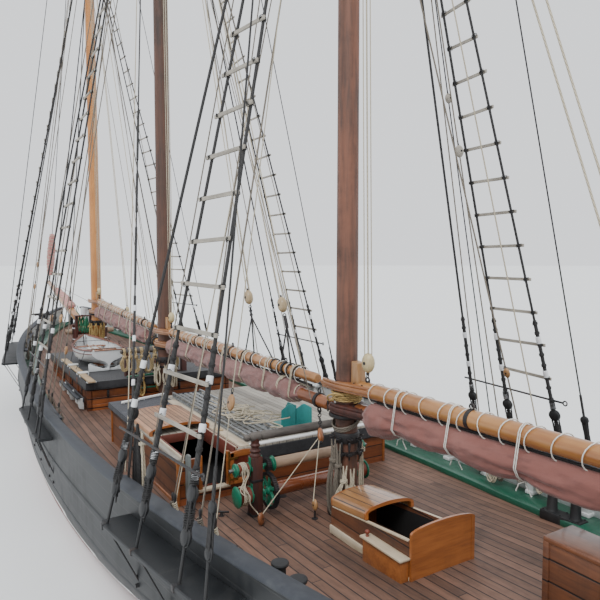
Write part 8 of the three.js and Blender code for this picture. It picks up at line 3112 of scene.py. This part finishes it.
def makePiles():
    # Heaped rope on the house top, on the hatch gear and at the fore mast
    lines = []
    heapX, heapY, heapZ = -5.9, 0.28, 2.47
    for k in range(9):
        cx, cy = heapX + draw.uniform(-0.55, 0.45), heapY + draw.uniform(-0.35, 0.32)
        r, stretch = draw.uniform(0.14, 0.3), draw.uniform(1.0, 1.9)
        heading, phase = draw.uniform(0, turn), draw.uniform(0, turn)
        ahead, aside = math.cos(heading), math.sin(heading)
        line = []
        for i in range(40):
            a = phase + turn * 1.7 * i / 39
            wob = 1 + 0.16 * math.sin(3 * a + k)
            px, py = r * stretch * wob * math.cos(a), r * wob * math.sin(a)
            line.append(Vector((cx + px * ahead - py * aside, cy + px * aside + py * ahead,
                                heapZ + 0.009 * k + 0.008 * math.sin(5 * a))))
        lines.append(line)
    for k in range(4):
        tail = []
        while len(tail) < 2:
            tail.append((-6.9 + 0.5 * k + draw.uniform(-0.1, 0.1), -0.1 + draw.uniform(-0.2, 0.5),
                         2.475 + 0.01 * k))
        tail.append((-5.2 + draw.uniform(-0.3, 0.3), draw.uniform(-0.1, 0.5), 2.485 + 0.01 * k))
        tail.append((-4.4, draw.uniform(0.1, 0.6), 2.47 + 0.01 * k))
        lines.append(smoothLine(tail, 7))
    ropes("roofPile", lines, 0.013, hempPale, sides=3)
    hanks = hankLoops((0.085, 0.62, 2.33), 0.62, 0.2, 8, (0, 1, 0), 0.2) + hankLoops((0.085, 0.14, 2.33),
            0.55, 0.18, 8, (0, 1, 0), 0.2)
    hanks += [windings((0.115, y, 2.30), (0, 1, 0), 0.05, 4.5, 0.12, 12) for y in (0.62, 0.14)]
    ropes("hatchHanks", hanks, 0.011, manila, sides=3)
    # Turns round the main boom's end, and the black bridle round the fore boom's
    coil = [windings((-7.35 - 0.17 * k, 0, masts["main"]["boomZ"]), (1, 0.02, 0), 0.135, 1.3, 0.03, 18, k)
            for k in range(2)]
    coil += [windings((-7.0, 0, 3.22), (1, 0, 0), 0.2, 2.3, 0.09, 20)]
    ropes("mainBoomTurns", coil, 0.012, hempPale, "main_boom", sides=3)
    end = masts["fore"]["x"] - masts["fore"]["boomReach"]
    dark = [windings((end + 0.25 + 0.2 * k, 0, 3.14), (1, 0, 0), 0.128, 2.5, 0.06, 16, k) for k in range(3)]
    ropes("foreBoomTurns", dark, 0.014, ropeTar, "fore_boom", sides=3)
    # Green netting and a white bucket on a rack before the fore mast, clear of its boom
    rack = Vector((9.5, 0.37, 3.24))
    green = []
    for k in range(16):
        x, y = rack.x - 0.03 + draw.uniform(-0.25, 0.25), rack.y + draw.uniform(-0.19, 0.21)
        top = Vector((x, y, rack.z - 0.055 + draw.uniform(-0.05, 0.05)))
        green.append(smoothLine([top, top + Vector((draw.uniform(-0.06, 0.06), draw.uniform(-0.05, 0.05),
                                                    -0.3)),
                                 top + Vector((draw.uniform(-0.1, 0.1), draw.uniform(-0.08, 0.08), -0.62)),
                                 top + Vector((draw.uniform(-0.06, 0.06), 0.05, -0.42)),
                                 top + Vector((0.02, 0.02, -0.05))], 5))
    green.append(smoothLine([rack + Vector((-0.03, 0.12, -0.02)), rack + Vector((0.05, 0.26, 0.2)),
                             rack + Vector((0.12, 0.2, 0.42))], 6))
    ropes("foreNetting", green, 0.014, netGreen, sides=3)
    bm = bmesh.new()
    addTurned(bm, rack + Vector((0.02, 0, 0.025)), (0.12, -0.2, 1), (
        (0.0, 0.0), (0.0, 0.105), (0.285, 0.142), (0.3, 0.15), (0.306, 0.142), (0.295, 0.135), (0.012, 0.097),
        (0.012, 0.0)), 24)
    finishPiece("foreBucket", bm, whiteBand, slot="white_paint")
    bm = bmesh.new()
    addBox(bm, rack + Vector((-0.17, -0.34, -0.025)), rack + Vector((0.17, 0.35, 0.022)), 0.01)
    for y in (rack.y - 0.28, rack.y + 0.29):
        addBox(bm, (rack.x - 0.05, y - 0.05, deckAt(rack.x) - 0.02), (rack.x + 0.05, y + 0.05, rack.z - 0.01),
               0.01)
    finishPiece("foreFife", bm, postRed, slot="red_brown_wood")


makeFife(fifePlan)
makeMastHanks()
makeRailPins()
makeRunner()
makePiles()
print("hanks and coils made")
